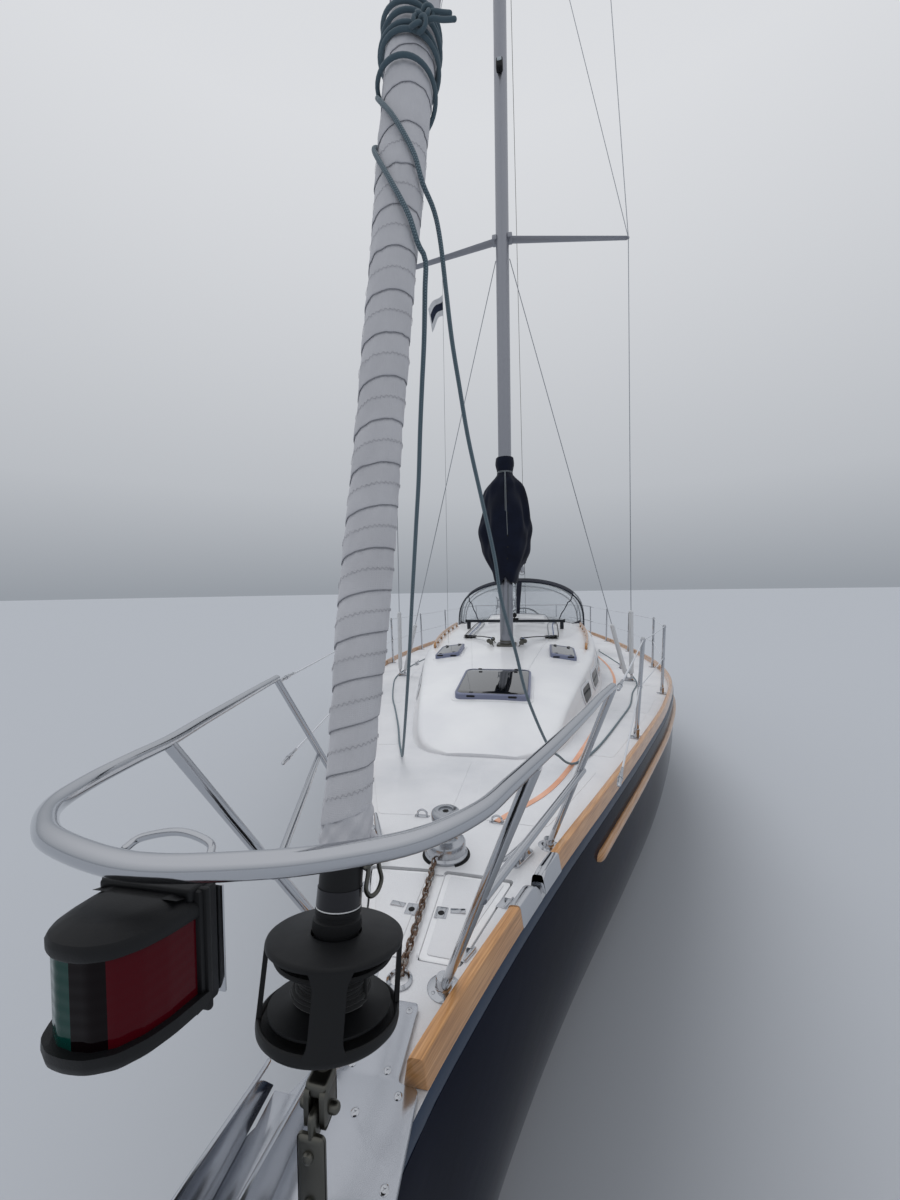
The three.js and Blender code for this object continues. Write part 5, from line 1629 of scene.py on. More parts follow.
def make_wraps():
    ropes = []
    for low, first, high, last in WRAPS:
        turns = np.linspace(first, last, int(abs(last - first) * 40))
        share = (turns - first) / (last - first)
        ups = low + (high - low) * (share + 0.05 * np.sin(turns * 7.1))
        ropes.append(tube([
            on_sail(u, -t, 2.5 * math.sin(t * 3)) for u, t in zip(ups, turns)
        ], SHEET, 12, True))
    # Two knots at the sail's corner, with their short tails
    knot_at = on_sail(2258, 0.86, 14)
    across, aft, along = STAY_SIDE, STAY_AFT, STAY_WAY
    for shift, turn in ((0, 0.3), (-26, 1.4)):
        centre = knot_at + along * shift - across * 14 * (shift != 0)
        loops = []
        for t in np.linspace(0, 2 * math.pi, 60):
            r = 15 + 6.5 * math.cos(3 * t)
            x, z, y = r * math.cos(2 * t + turn), r * math.sin(2 * t + turn), 7.5 * math.sin(3 * t)
            loops.append(centre + across * x + along * z - aft * (y + 4))
        ropes.append(tube(loops, SHEET * 0.95, 10))
    for lift, reach in ((4, 62), (-22, 74)):
        start = knot_at + along * lift
        tail = [
            start - across * 12, start + across * 18 - aft * 4, start + across * 45 - along * 5,
            start + across * reach - along * 14
        ]
        ropes.append(tube(smooth_path(tail, 24), SHEET * 0.95, 12, True))
    piece(
        "sheet_turns", together(*ropes), TEAL_ROPE, body="furler", replaces="sheet_turns", slot="rope",
        angle=80
    )


def lay(points):
    """Points on the deck for a rope that lies on it."""
    lift = SHEET + 1.5
    return [(x, y, deck_height(x, y) + lift) for x, y in points]


# Each sheet crosses the front of the sail, hangs, and lies along the side deck
CROSS_STARBOARD = [
    (2090, 0.20), (2060, 0.32), (2010, 0.42), (1970, 0.50), (1870, 0.625), (1755, 0.75), (1668, 0.87),
    (1618, 0.955)
]
CROSS_PORT = [
    (2220, 0.24), (2200, 0.36), (2140, 0.50), (2040, 0.625), (1935, 0.75), (1845, 0.87), (1790, 0.95)
]
HANG_STARBOARD = [
    (71, -4886, 2944), (65, -4870, 2888), (52, -4834, 2795), (36, -4798, 2707), (20, -4762, 2610),
    (0, -4710, 2496), (-20, -4666, 2396), (-45, -4610, 2273), (-71, -4546, 2169), (-124, -4410, 1961),
    (-200, -4206, 1732), (-272, -4006, 1554), (-350, -3780, 1400), (-405, -3620, 1325)
]
HANG_PORT = [
    (79, -4826, 3101), (90, -4810, 3041), (97, -4782, 2939), (104, -4750, 2834), (115, -4714, 2735),
    (130, -4662, 2607), (158, -4590, 2445), (183, -4514, 2294), (197, -4450, 2161), (234, -4326, 1978),
    (268, -4186, 1790), (345, -3890, 1515), (404, -3694, 1393), (440, -3590, 1330)
]
DECK_STARBOARD = [
    (-455, -3475), (-520, -3300), (-640, -2950), (-800, -2520), (-942, -2150), (-1100, -1660),
    (-1235, -1180), (-1300, -700), (-1310, 0), (-1270, 800), (-1225, 1430)
]
DECK_PORT = [
    (478, -3505), (530, -3440), (600, -3290), (690, -3060), (850, -2600), (1014, -2105), (1130, -1600),
    (1255, -1150), (1300, -700), (1310, 0), (1270, 800), (1225, 1430)
]


def make_sheet(side, cross, hang, deck_run):
    points = [
        on_sail(up, turn) for up, turn in cross
    ] + hang + lay(deck_run) + [(deck_run[-1][0], 1500, 1222)]
    path = smooth_path(points, 560)
    for i, (x, y, z) in enumerate(path):
        floor = deck_height(x, y) + SHEET + 1
        if y > -3480 and z < floor:
            path[i][2] = floor
    shape = tube(path, SHEET, 12, True)
    made = piece(f"jib_sheet_{side}", shape, TEAL_ROPE, replaces=f"jib_sheet_{side}", slot="rope", angle=80)
    wrap_uv(made, path)


def wrap_uv(made, path):
    """A UV map for a rope: once round it, and metres along it."""
    mesh = made.data
    path = np.array(path) * MM
    run = run_along(path)
    _, across, up = frames_along(path)
    co = np.array([v.co for v in mesh.vertices])
    nearest = np.array([int(((path - c) ** 2).sum(1).argmin()) for c in co])
    off = co - path[nearest]
    around = np.arctan2((off * up[nearest]).sum(1), (off * across[nearest]).sum(1)) / (2 * math.pi) % 1
    layer = mesh.uv_layers.new(name="UVMap")
    for face in mesh.polygons:
        turns = around[list(face.vertices)]
        wide = turns.max() - turns.min() > 0.5
        for corner, v in zip(face.loop_indices, face.vertices):
            u = around[v] + (1 if wide and around[v] < 0.5 else 0)
            layer.data[corner].uv = (u, run[nearest[v]])


make_wraps()
make_sheet("starboard", CROSS_STARBOARD, HANG_STARBOARD, DECK_STARBOARD)
make_sheet("port", CROSS_PORT, HANG_PORT, DECK_PORT)

# Mast
MAST = {"y": -1468, "foot": 1668, "head": 15950, "wide": 125, "deep": 175, "rake": 0.0187}
GOOSENECK = {"y": -1308, "z": 2560}
STEAMING_LIGHT = 7150
mast_y = lambda z: MAST["y"] + MAST["rake"] * (z - MAST["foot"])
SPREADERS = [(5580, (1199, -1105, 5620), 30), (10600, (900, -1005, 10640), 26)]


def mast_ring(z, grow=0.0, sides=40):
    ring = []
    for a in full_turn(sides):
        x, y = math.cos(a) * (MAST["wide"] / 2 + grow), math.sin(a) * (MAST["deep"] / 2 + grow)
        ring.append((x, mast_y(z) + y, z))
    return ring


def make_mast():
    foot, head = MAST["foot"], MAST["head"]
    parts = [loft([mast_ring(z) for z in np.linspace(foot - 20, head - 2, 30)] + [mast_ring(head, -4)])]
    # Luff track up the after face
    track = [[
        (x, mast_y(z) + MAST["deep"] / 2 + y - 4, z)
        for x, y in ((-14, 0), (14, 0), (14, 9), (8, 14), (-8, 14), (-14, 9))
    ] for z in (3500, head - 40)]
    parts.append(loft(track))
    parts.append(block((-16, 16), (mast_y(head) - 70, mast_y(head) + 190), (head - 5, head + 36), 6))
    for z, tip, root in SPREADERS:
        for side in (1, -1):
            start, end = np.array((0, mast_y(z), z)), np.array((tip[0] * side, tip[1], tip[2]))
            rings = []
            for t in np.linspace(0, 1, 14):
                chord = (root * 1.7) * (1 - t) + 28 * t
                thick = 13 * (1 - t) + 8 * t
                centre = start + (end - start) * t
                rings.append([
                    centre + np.array((0, chord * math.cos(a), thick * math.sin(a))) for a in full_turn(20)
                ])
            parts.append(loft(rings))
            parts.append(tube([
                end + np.array((-12 * side, 0, 0)), end + np.array((8 * side, 0, 0))
            ], 13, 16, True))
            parts.append(block(
                sorted((side * 50, side * 96)), (start[1] - 55, start[1] + 55), (z - 22, z + 26), 8
            ))
    for side in (-1, 1):
        low, high = sorted((GOOSENECK["z"] + side * 45.3, GOOSENECK["z"] + side * 61))
        parts.append(block((-18, 18), (mast_y(GOOSENECK["z"]) + 60, GOOSENECK["y"] + 18), (low, high), 4))
    piece("mast", together(*parts), MAST_ALLOY, replaces="mast", slot="alloy", angle=40)
    base = roof_height(0, MAST["y"])
    step = rounded(rectangle(92, 120, (0, MAST["y"])), 50, 8)
    collar = loft([
        [(x, y, z) for x, y in inset(step, shrink)]
        for z, shrink in ((base - 12, 0), (base + 9, 0), (base + 12, 3), (base + 13, 30))
    ])
    bands = [loft([
        mast_ring(z, grow)
        for z, grow in ((z0, -2), (z0, 3), (z0 + 3, 4), (z0 + 15, 4), (z0 + 18, 3), (z0 + 18, -2))
    ]) for z0 in (base + 8, base + 30)]
    piece("mast_collar", together(collar, *bands), WORN_STAINLESS, slot="stainless")
    # Steaming light on the front of the mast
    z = STEAMING_LIGHT
    front = mast_y(z) - MAST["deep"] / 2
    lamp = block((-32, 32), (front - 62, front + 4), (z - 60, z + 34), 14, 4)
    piece("steaming_light", lamp, BLACK_PLASTIC, slot="black_plastic")
    piece("steaming_lens", block((-22, 22), (front - 67, front - 30), (z - 8, z + 26), 8, 3), CLEAR_LENS)
    # Masthead light
    top = np.array((0, mast_y(head), head + 30))
    lantern = together(
        rod(top + (0, -40, 0), top + (0, -40, 70), 18, sides=24),
        rod(top + (0, -40, 70), top + (0, -40, 90), 30, 26, sides=24),
    )
    piece("masthead_light", lantern, BLACK_PLASTIC, slot="black_plastic")


MAST_ALLOY = brushed_alloy("clear_anodised_mast", 0x9A9CA3, 0.42)
make_mast()

# Cover tied round the mast: height, half width, how far its front stands from the mast's centre
COVER_ROWS = [
    [2240, 88, 130], [2262, 108, 150], [2360, 132, 165], [2450, 176, 190], [2560, 222, 215], [2690, 240, 225],
    [2860, 240, 220], [2980, 226, 205], [3100, 198, 185], [3200, 158, 160], [3270, 98, 120], [3310, 72, 98],
    [3345, 78, 102], [3400, 90, 108], [3462, 84, 104],
]
NECK = 3312  # height at which cords gather the cover
cover_lines = curve_through(COVER_ROWS)


def cover_point(z, turn):
    """A point of the mast cover: turn is in degrees from the front, positive to port."""
    half, front = cover_lines(z)
    a = math.radians(turn)
    full = min(max((half - 60) / 120, 0), 1)
    fold = math.sin(a * 7 + z / 170 + 1.3 * math.sin(z / 310)) * 9 + math.sin(a * 13 - z / 90) * 4
    fold += noise.noise((math.cos(a) * 2.2, math.sin(a) * 2.2, z / 190)) * 34
    gather = math.sin(a * 19) * 4 * max(0, 1 - abs(z - 3310) / 90)
    size = 1 + (fold * full + gather) / 240
    x = half * size * math.copysign(abs(math.sin(a)) ** 0.92, math.sin(a))
    reach = front if abs(turn) < 90 else 96
    y = -reach * size * math.copysign(abs(math.cos(a)) ** 0.9, math.cos(a))
    return x, mast_y(z) + y, z


def cover_hem(turn, low):
    """Height of the cover's hem, which parts over the mast's front."""
    return low + 62 * max(0, 1 - abs(turn) / 24) + 12 * math.sin(math.radians(turn * 3))


def make_mast_cover():
    open_turn = 152
    rows = []
    turns = np.linspace(-open_turn, open_turn, 113)
    for share in np.linspace(0, 1, 96):
        ring = []
        for turn in turns:
            hem = cover_hem(turn, 2246)
            ring.append(cover_point(hem + (3460 - hem) * share, turn))
        rows.append(ring)
    made = piece(
        "mast_cover", loft(rows, closed=False, caps=False), NAVY_CANVAS, body=None, angle=60,
        slot="navy_canvas"
    )
    thicken(made, 2.2)
    settle(made, 60, replaces="mast_cover")
    # Hem, the cords round the neck with their hanging ends, and the buttons down the front
    hem = [cover_point(cover_hem(t, 2252), t) for t in turns]
    piece("mast_cover_hem", tube(hem, 4, 8, True), NAVY_CANVAS, slot="navy_canvas", angle=60)
    neck = [np.array(cover_point(NECK, t)) * (1.03, 1, 1) + (0, -3, 0) for t in np.linspace(-150, 150, 60)]
    cords = [tube(neck, 3, 10, True), tube([p + np.array((0, -1, 9)) for p in neck], 3, 10, True)]
    for x, bottom in ((16, 2920), (34, 2700)):
        drop = [(x * 0.3, cover_point(NECK, 0)[1] - 8, NECK)]
        for t in (0.15, 0.4, 0.7, 1):
            z = NECK - (NECK - bottom) * t
            drop.append((x * (0.4 + 0.6 * t), cover_point(z, 4)[1] - 9, z))
        cords.append(tube(smooth_path(drop, 40), 2.6, 10, True))
    piece("mast_cover_ties", together(*cords), WHITE_ROPE, slot="rope")
    buttons = []
    for z in np.arange(2480, 3130, 105):
        x, y, _ = cover_point(z, 7)
        buttons.append(lathe([(0, 0), (8, 0), (9, 2), (7, 4), (0, 4.6)], (x, y + 1, z), (0.1, -1, 0), 16))
    piece("mast_cover_buttons", together(*buttons), BLACK_PLASTIC, slot="black_plastic")


make_mast_cover()


# Boom, its cover and vang
BOOM = {"length": 4150, "wide": 95, "deep": 140}
# Sail cover: distance aft of the gooseneck, half width, lower and upper height
STOW_ROWS = [
    [170, 60, 2660, 3180], [330, 100, 2650, 3150], [700, 150, 2630.5, 3050], [1600, 150, 2630.5, 2960],
    [2800, 125, 2630.5, 2880], [3950, 80, 2630.5, 2790]
]
stow_lines = curve_through(STOW_ROWS)


def oval(centre, half_x, half_z, sides=32):
    x, y, z = centre
    return [(x + half_x * math.cos(a), y, z + half_z * math.sin(a)) for a in full_turn(sides)]


def stow_ring(along, sides=64):
    half, low, high = stow_lines(along)
    y, ring = GOOSENECK["y"] + along, []
    mid = low + (high - low) * 0.36
    for i in range(sides):
        a = 2 * math.pi * i / sides
        x = half * math.copysign(abs(math.cos(a)) ** 0.85, math.cos(a))
        z = mid + (
            (high - mid) if math.sin(a) > 0 else (mid - low)
        ) * math.copysign(abs(math.sin(a)) ** 0.9, math.sin(a))
        if math.sin(a) > 0:
            x *= 1 - 0.6 * math.sin(a) ** 2
        sag = 7 * math.sin(along / 62 + 2.2 * math.sin(a * 2)) + 26 * noise.noise((
            along / 260, math.cos(a) * 1.5, math.sin(a) * 1.5
        ))
        size = 1 + sag * min(1, (along - 150) / 300) / 210
        ring.append((x * size, y, max(low, mid + (z - mid) * size)))
    return ring


def make_boom():
    y, z = GOOSENECK["y"], GOOSENECK["z"]
    spar = loft([
        oval((0, y + a, z), BOOM["wide"] / 2 * s, BOOM["deep"] / 2 * s)
        for a, s in ((30, 0.94), (34, 1), (2000, 1), (BOOM["length"] - 4, 1), (BOOM["length"], 0.94))
    ])
    pin = rod((0, y, z - 45), (0, y, z + 45), 16, sides=24)
    jaw = block((-14, 14), (y, y + 60), (z - 20, z + 20), 4)
    bail_y = y + BOOM["length"] - 120
    bail = [(x, bail_y, z - down) for x, down in ((-47, 40), (-40, 95), (0, 108), (40, 95), (47, 40))]
    bail = tube(smooth_path(bail, 30), 5, 12, True)
    piece("boom", together(spar, pin, jaw, bail), MAST_ALLOY, body="boom", replaces="boom", slot="alloy")
    strut_end = (0, y + 1010, z - BOOM["deep"] / 2 - 40)
    strut_foot = (0, y + 14, 1875)
    strut_middle = np.array(strut_foot) * 0.45 + np.array(strut_end) * 0.55
    vang = together(
        rod(strut_foot, strut_middle, 22, sides=24, round_ends=True),
        rod(strut_foot, strut_end, 16, sides=24, round_ends=True),
        rod(
            (0, y + 1000, z - BOOM["deep"] / 2 - 54), (0, y + 1000, z - BOOM["deep"] / 2 - SEAT), 14,
            sides=20
        ),
        rod((0, y, 1850), (0, y, 1900), 18, sides=24)
    )
    piece("vang", vang, MAST_ALLOY, body="boom", replaces="vang", slot="alloy")
    alongs = np.linspace(172, 3948, 150)
    cover = loft(
        [[
            (p[0] * 0.9, p[1], 2900 + (p[2] - 2900) * 0.95) for p in stow_ring(alongs[0])
        ]] + [stow_ring(a) for a in alongs]
    )
    cover = piece("sail_cover", cover, NAVY_CANVAS, body=None, slot="navy_canvas", angle=60)
    thicken(cover, 2)
    settle(cover, 60, "boom", "sail_cover")
    ties = []
    for along in np.arange(700, 3900, 640):
        ring = stow_ring(along)
        centre = np.mean(ring, axis=0)
        loop = [centre + (np.array(p) - centre) * 1.012 for p in ring]
        rings = []
        for aft, grow in ((-13, 0.995), (-13, 1.008), (13, 1.008), (13, 0.995)):
            rings.append([centre + (np.array(p) - centre) * grow + np.array((0, aft, 0)) for p in loop])
        ties.append(loft(rings, caps=False))
    bands = piece("sail_cover_straps", together(*ties), WEBBING_BLACK, body=None)
    thicken(bands, 1.5, 1)
    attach(bands, "boom")


WEBBING_BLACK = woven("black_webbing", (0x121317, 0x1B1C22), 2.0, 0.85)
make_boom()


CLOTH_FRONT = -1372


def make_gooseneck_cloth():
    """Cloth between the mast's cover and the boom's."""
    def flat_ring(y, half, low, high, count=40):
        ring = []
        for i in range(count + 1):
            a = math.pi * (-0.5 + i / count)
            x = half * math.cos(a) ** 0.7 if abs(math.cos(a)) > 1e-9 else 0
            ring.append((x, y, (low + high) / 2 + (high - low) / 2 * math.sin(a)))
        return ring + [(-x, y, z) for x, y, z in reversed(ring[1:-1])]
    rows = []
    for share in np.linspace(0, 1, 14):
        y = CLOTH_FRONT + (GOOSENECK["y"] + 196 - CLOTH_FRONT) * share
        half = 92 * (1 - share) + 66 * share
        puff = 1 + 0.1 * math.sin(math.pi * share)
        ring = flat_ring(y, half * puff, 2660 + 30 * (1 - share), 3150 + 20 * share)
        rows.append([(x * (1 + 0.05 * math.sin(z / 40 + share * 9)), yy, z) for x, yy, z in ring])
    made = piece(
        "gooseneck_cloth", loft(rows, caps=False), NAVY_CANVAS, body=None, angle=60, slot="navy_canvas"
    )
    thicken(made, 2)
    shade(made, 60)
    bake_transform(made)


make_gooseneck_cloth()

# Sprayhood: place, half width, height at the centre
HOOD_ROWS = [[880, 830, 1850], [1200, 910, 2080], [1560, 1000, 2300], [1950, 1050, 2372], [2140, 1055, 2350]]
HOOD_LOW = 1454
hood_lines = curve_through(HOOD_ROWS)


def hood_at(y, angle, drop=0.0):
    half, top = hood_lines(y)
    c, s = math.cos(angle), max(math.sin(angle), 0)
    sag = 9 * math.sin(math.pi * min(max((y - 1590) / 360, 0), 1)) * s
    sag += 5 * math.sin(math.pi * min(max((y - 900) / 660, 0), 1)) * s
    x = (half - drop) * c * (0.94 + 0.06 * c * c)
    z = HOOD_LOW + (top - drop - sag - HOOD_LOW) * s**0.47
    if y < 990:
        # The front hem lies on the roof and passes over the sea hood
        over = min(max((452 - abs(x)) / 60, 0), 1)
        hem = roof_height(x, y) + 5 + 71 * over * over * (3 - 2 * over)
        near = (990 - y) / 110
        if z > hem:
            z += (hem - z) * near * near
    return x, y, z


def hood_foot(y):
    """The angle at which the hood's side meets the coachroof."""
    for angle in np.linspace(0, 1.2, 500):
        x, _, z = hood_at(y, angle)
        if y > 1555 or z > roof_height(x, y) + 3 or abs(x) > roof_side(y, min(z, 1640)) + 3:
            return angle
    return 0


def make_sprayhood():
    ys = np.concatenate([
        [880, 884, 905, 935], np.linspace(960, 1545, 30), [1560, 1575, 1590], np.linspace(1610, 1930, 17),
        [1950, 1970], np.linspace(2000, 2120, 6), [2134, 2140]
    ])
    turns = np.sort(np.concatenate([
        np.linspace(0, 1, 73), [0.478, 0.486, 0.514, 0.522, 0.175, 0.183, 0.817, 0.825]
    ]))
    rings = []
    for y in ys:
        start = hood_foot(y)
        rings.append([hood_at(y, start + (math.pi - 2 * start) * t) for t in turns])
    count = len(turns)
    canvas, window = [], []
    for r in range(len(ys) - 1):
        for i in range(count - 1):
            y, t = (ys[r] + ys[r + 1]) / 2, (turns[i] + turns[i + 1]) / 2
            side = min(t, 1 - t)
            clear = 888 < y < 1560 and abs(t - 0.5) > 0.0125 and not 0.175 < side < 0.185 and side > 0.014
            clear = clear or (side < 0.175 and 0.045 < side and 1590 < y < 1950)
            a = r * count + i
            (window if clear else canvas).append((a, a + 1, a + count + 1, a + count))
    points = np.vstack(rings)
    made = piece("sprayhood", (points, canvas), NAVY_CANVAS, body=None, angle=60, slot="navy_canvas")
    thicken(made, 1.6, 0)
    settle(made, 60, replaces="sprayhood")
    pane = piece("sprayhood_windows", (points, window), VINYL, body=None, angle=60)
    thicken(pane, 0.8, 0)
    settle(pane, 60)
    # Bound edges: the roll over the front bow, the after edge, the hem on the roof, and the middle seam
    parts = []
    for y, radius, drop in ((1572, 13, 2), (2138, 8, 2), (882, 2.5, 3)):
        start = hood_foot(y)
        line = [hood_at(y, a, drop - 2) for a in np.linspace(start, math.pi - start, 120)]
        parts.append(tube(line, radius, 12, True))
    seam = [hood_at(y, math.pi / 2, -1) for y in np.linspace(900, 1560, 40)]
    parts.append(tube(seam, 5, 8, True))
    piece("sprayhood_binding", together(*parts), NAVY_CANVAS, slot="navy_canvas", angle=60)
    bows = []
    for y, half, top, foot in ((1950, 1050, 2372, 1900), (1590, 990, 2300, 1880)):
        line = []
        for a in np.linspace(0, math.pi, 90):
            c, s = math.cos(a), max(math.sin(a), 0)
            line.append((
                (half - 66) * c * (0.94 + 0.06 * c * c), foot + (y - foot) * s**0.4,
                1462 + (top - 66 - 1462) * s**0.5
            ))
        bows.append(tube(line, 11, 20, True))
    for side in (1, -1):
        bows.append(rod((side * 935, 1875, 1467), (side * 1012, 1900, 1467), 14, sides=20, round_ends=True))
    piece("sprayhood_bows", together(*bows), STAINLESS, replaces="sprayhood_frame", slot="stainless")


make_sprayhood()


# Hatches
def slab(outline, low, high, edge=3.0, height=roof_height):
    """A plate that follows the roof or another surface, between two heights above it."""
    flat = np.array(outline)
    ring = lambda lift, shrink: [(x, y, height(x, y) + lift) for x, y in inset(flat, shrink)]
    return loft([ring(low, 0), ring(high - edge, 0), ring(high - edge * 0.3, edge * 0.3), ring(high, edge)])


def make_hatches():
    for hatch in HATCHES:
        x, y, half, reach = hatch["x"], hatch["y"], hatch["half"], hatch["reach"]
        big = half > 200
        corner = 60 if big else 36
        body = f"{hatch['name']}_lid"
        outer = rounded(rectangle(half, reach, (x, y)), corner, 10)
        rim_wide, tall = 16 if big else 15, HATCH_TALL
        frame_shape = slab(outer, 1.2, tall, 6)
        rim = piece(f"{hatch['name']}_rim", frame_shape, SKY_REFLECTING_HATCH_ALLOY, body=None)
        hole = rounded(rectangle(half - rim_wide, reach - rim_wide, (x, y)), corner - 10, 10)
        through = rounded(rectangle(half - HATCH_RIM, reach - HATCH_RIM, (x, y)), corner - 24, 10)
        cut(rim, slab(hole, tall - 11, tall + 30, 0.5), slab(through, -40, tall + 30, 0.5))
        settle(rim, 40, body, hatch["name"])
        lens = slab(inset(np.array(hole), 1.2), tall - 10.5, tall - 1, 1.5)
        piece(f"{hatch['name']}_lens", lens, SMOKED_ACRYLIC, body=body, slot="smoked_lens")
        # Pads at the lens edges, and two hinge knuckles in front
        knobs = []
        for side in (-0.55, 0.55):
            cx = x + half * side
            for way in (-1, 1):
                at = (cx, y + way * (reach - rim_wide - 18), roof_height(cx, y + way * reach) + tall - 2)
                knobs.append(moved(block((-14, 14), (-9, 9), (0, 7), 2.5), at))
            pin_y, pin_z = hatch["pin"]
            knobs.append(rod((cx - 22, pin_y, pin_z), (cx + 22, pin_y, pin_z), 7, sides=16, round_ends=True))
        piece(f"{hatch['name']}_fittings", together(*knobs), BLACK_PLASTIC, body=body, slot="black_plastic")


# The hatch frames' blue tint is a painted reflection of the sky on grey alloy
SKY_REFLECTING_HATCH_ALLOY = brushed_alloy("grey_frame_painted_sky_reflection", 0x8A8FA6, 0.35)
make_hatches()

# Bow plate with the anchor roller
BOW_PLATE = [
    (56, -4990), (58, -5146), (98, -5150), (104, -5300), (92, -5440), (30, -5490),
    (-190, -5490), (-190, -5330), (-100, -5150), (-58, -5146), (-56, -4990),
]


PLATE_SCREWS = [
    (40, -5010), (-42, -5020), (34, -5131), (-35, -5130), (66, -5168), (2, -5204), (84, -5290), (74, -5420),
    (10, -5470), (-60, -5470), (-176, -5350), (-70, -5180),
]


def make_stem_fitting():
    low, high = 1315.8, 1323.8
    parts = [plate(rounded(BOW_PLATE, 10), low, high, 1.6)]
    for x in (-160, -76):
        cheek = [(-5190, 4), (-5530, 4), (-5530, 50), (-5440, 92), (-5230, 60)]
        ring = rounded([(y, z) for y, z in cheek], [4, 10, 24, 40, 30], 8)
        shape = plate(ring, -3, 3, 1.2)
        points = np.column_stack([x + shape[0][:, 2], shape[0][:, 0], high - 4 + shape[0][:, 1]])
        parts.append((points, shape[1]))
        rolled = [
            (x, y, high - 4 + z)
            for y, z in smooth_path([
                (-5200, 57, 0), (-5230, 60, 0), (-5440, 92, 0), (-5500, 66, 0), (-5526, 50, 0)
            ], 40)[:, :2]
        ]
        parts.append(tube(rolled, 4.2, 10, True))
    parts.append(rod((-166, -5470, high + 42), (-70, -5470, high + 42), 6, sides=16, round_ends=True))
    parts.append(block((-150, -86), (-5420, -5200), (high - 1, high + 3), 1.5))
    piece("stem_fitting", together(*parts), BOW_STEEL, replaces="stem_fitting", slot="stainless", angle=30)
    roller = [(-36, 34), (-34, 36), (-12, 24), (12, 24), (34, 36), (36, 34), (36, 9), (-36, 9), (-36, 34)]
    wheel = lathe([(r, h) for h, r in roller], (-118, -5470, high + 42), (1, 0, 0), 40)
    piece("anchor_roller", wheel, BLACK_PLASTIC, slot="black_plastic")
    places = [(x, y, high) for x, y in PLATE_SCREWS]
    repeat("bow_plate_screws", screw_head(7.5), places, (0.7, 0.7, 0), (0, 0, 1), STAINLESS)
    tang = together(
        block((-21, 21), (-5350, -5338), (high - 2, 1456), 8, 4),
        block((-6, 6), (-5349, -5308), (1436, 1482), 8, 4)
    )
    piece("stem_tang", tang, WORN_STAINLESS, slot="stainless")
    bolts = [
        lathe([(8, -2), (8, 2), (6.5, 5), (3, 6.5), (0, 6.8)], (x, -5350, z), (0, -1, 0), 20)
        for x, z in ((-2, 1430), (-2, 1364))
    ]
    piece("stem_tang_bolts", together(*bolts), WORN_STAINLESS, slot="stainless")


BOW_STEEL = polished_metal("polished_bow_plate", 0xBDC0C6, 0.14, 0.12, 120, 0.08)
make_stem_fitting()


# Windlass and the chain that leads from it
def chain_link(half=12.0, wide=8.0, wire=3.1):
    path = [(
        half * math.cos(a) + math.copysign(4, math.cos(a)) * min(1, abs(math.cos(a)) * 3),
        wide * math.sin(a), 0
    ) for a in full_turn(18)]
    ring = []
    path = np.array(path)
    for i, p in enumerate(path):
        way = path[(i + 1) % 18] - path[i - 1]
        way = unit(way)
        side = np.cross(way, (0, 0, 1))
        ring.append([
            p + wire * (math.cos(a) * side + math.sin(a) * np.array((0, 0, 1))) for a in full_turn(7)
        ])
    points, faces = loft(ring, caps=False)
    last = 17 * 7
    faces += [(last + i, last + (i + 1) % 7, (i + 1) % 7, i) for i in range(7)]
    return points, faces


WINDLASS_PLACE = (0, -4430)
WINDLASS_PROFILE = [
    (0, 0), (72, 0), (72, 8), (68, 11), (65, 14), (65, 44), (62, 49), (52, 53), (42, 58), (38, 66), (36, 84),
    (37, 104), (42, 112), (47, 116), (49, 123), (49, 139), (46, 146), (38, 151), (26, 152.5), (24, 151),
    (23, 146), (12, 146), (0, 146),
]


def make_windlass():
    x, y = WINDLASS_PLACE
    z = deck_height(x, y)
    piece(
        "windlass", lathe(WINDLASS_PROFILE, (x, y, z + 0.6), sides=64), WINDLASS_CHROME, body="windlass",
        replaces="windlass", slot="stainless"
    )
    marks = []
    for i in range(12):
        a = 2 * math.pi * i / 12
        rx, ry = x + 36 * math.cos(a), y + 36 * math.sin(a)
        marks.append(rod((rx, ry, z + 66), (rx, ry, z + 102), 4.2, sides=8, round_ends=True))
    piece("windlass_ribs", together(*marks), WINDLASS_CHROME, body="windlass", slot="stainless")
    gasket = lathe([(80, -2), (80, 0.2), (0, 0.2)], (x, y, z), sides=48)
    piece("windlass_gasket", gasket, RUBBER_AND_HOLE_SHADE, slot="black_plastic")
    # The handle socket is a flat black disc: painted shade in its hole
    socket = lathe([(11, -3), (11, 0.6), (0, 0.6)], (x, y, z + 146.6), sides=6)
    piece("windlass_socket", socket, RUBBER_AND_HOLE_SHADE, body="windlass")
    # The chain leaves the gipsy forward, between the locker lids, and drops into its pipe
    on_deck = [
        (-22, -4560, 12), (-14, -4700, 11), (-8, -4830, 11), (-6, -4905, 12), (-6, -4925, 4),
        (-6, -4932, -18)
    ]
    on_deck = [(px, py, deck_height(0, py) + lift) for px, py, lift in on_deck]
    path = smooth_path([(-26, -4492, z + 15), *on_deck], 400)
    run = run_along(path)
    count = int(run[-1] / 24)
    at = np.linspace(12, 24 * count - 12, count)
    places = np.column_stack([np.interp(at, run, path[:, k]) for k in range(3)])
    ahead = np.gradient(places, axis=0)
    side = np.cross(ahead, (0, 0, 1))
    side = units(side)
    lift = np.cross(side, ahead)
    lift = units(lift)
    out = np.array([(l + s) if i % 2 else (l - s) for i, (l, s) in enumerate(zip(lift, side))])
    repeat("anchor_chain", chain_link(), places, ahead, out, RUSTY_CHAIN, angle=60)
    hole = lathe(
        [(30, -2), (30, 4), (24, 9), (20, 4), (20, -2), (30, -2)], (-6, -4932, deck_height(0, -4932)),
        sides=32
    )
    piece("chain_hawse", hole, STAINLESS, slot="stainless")


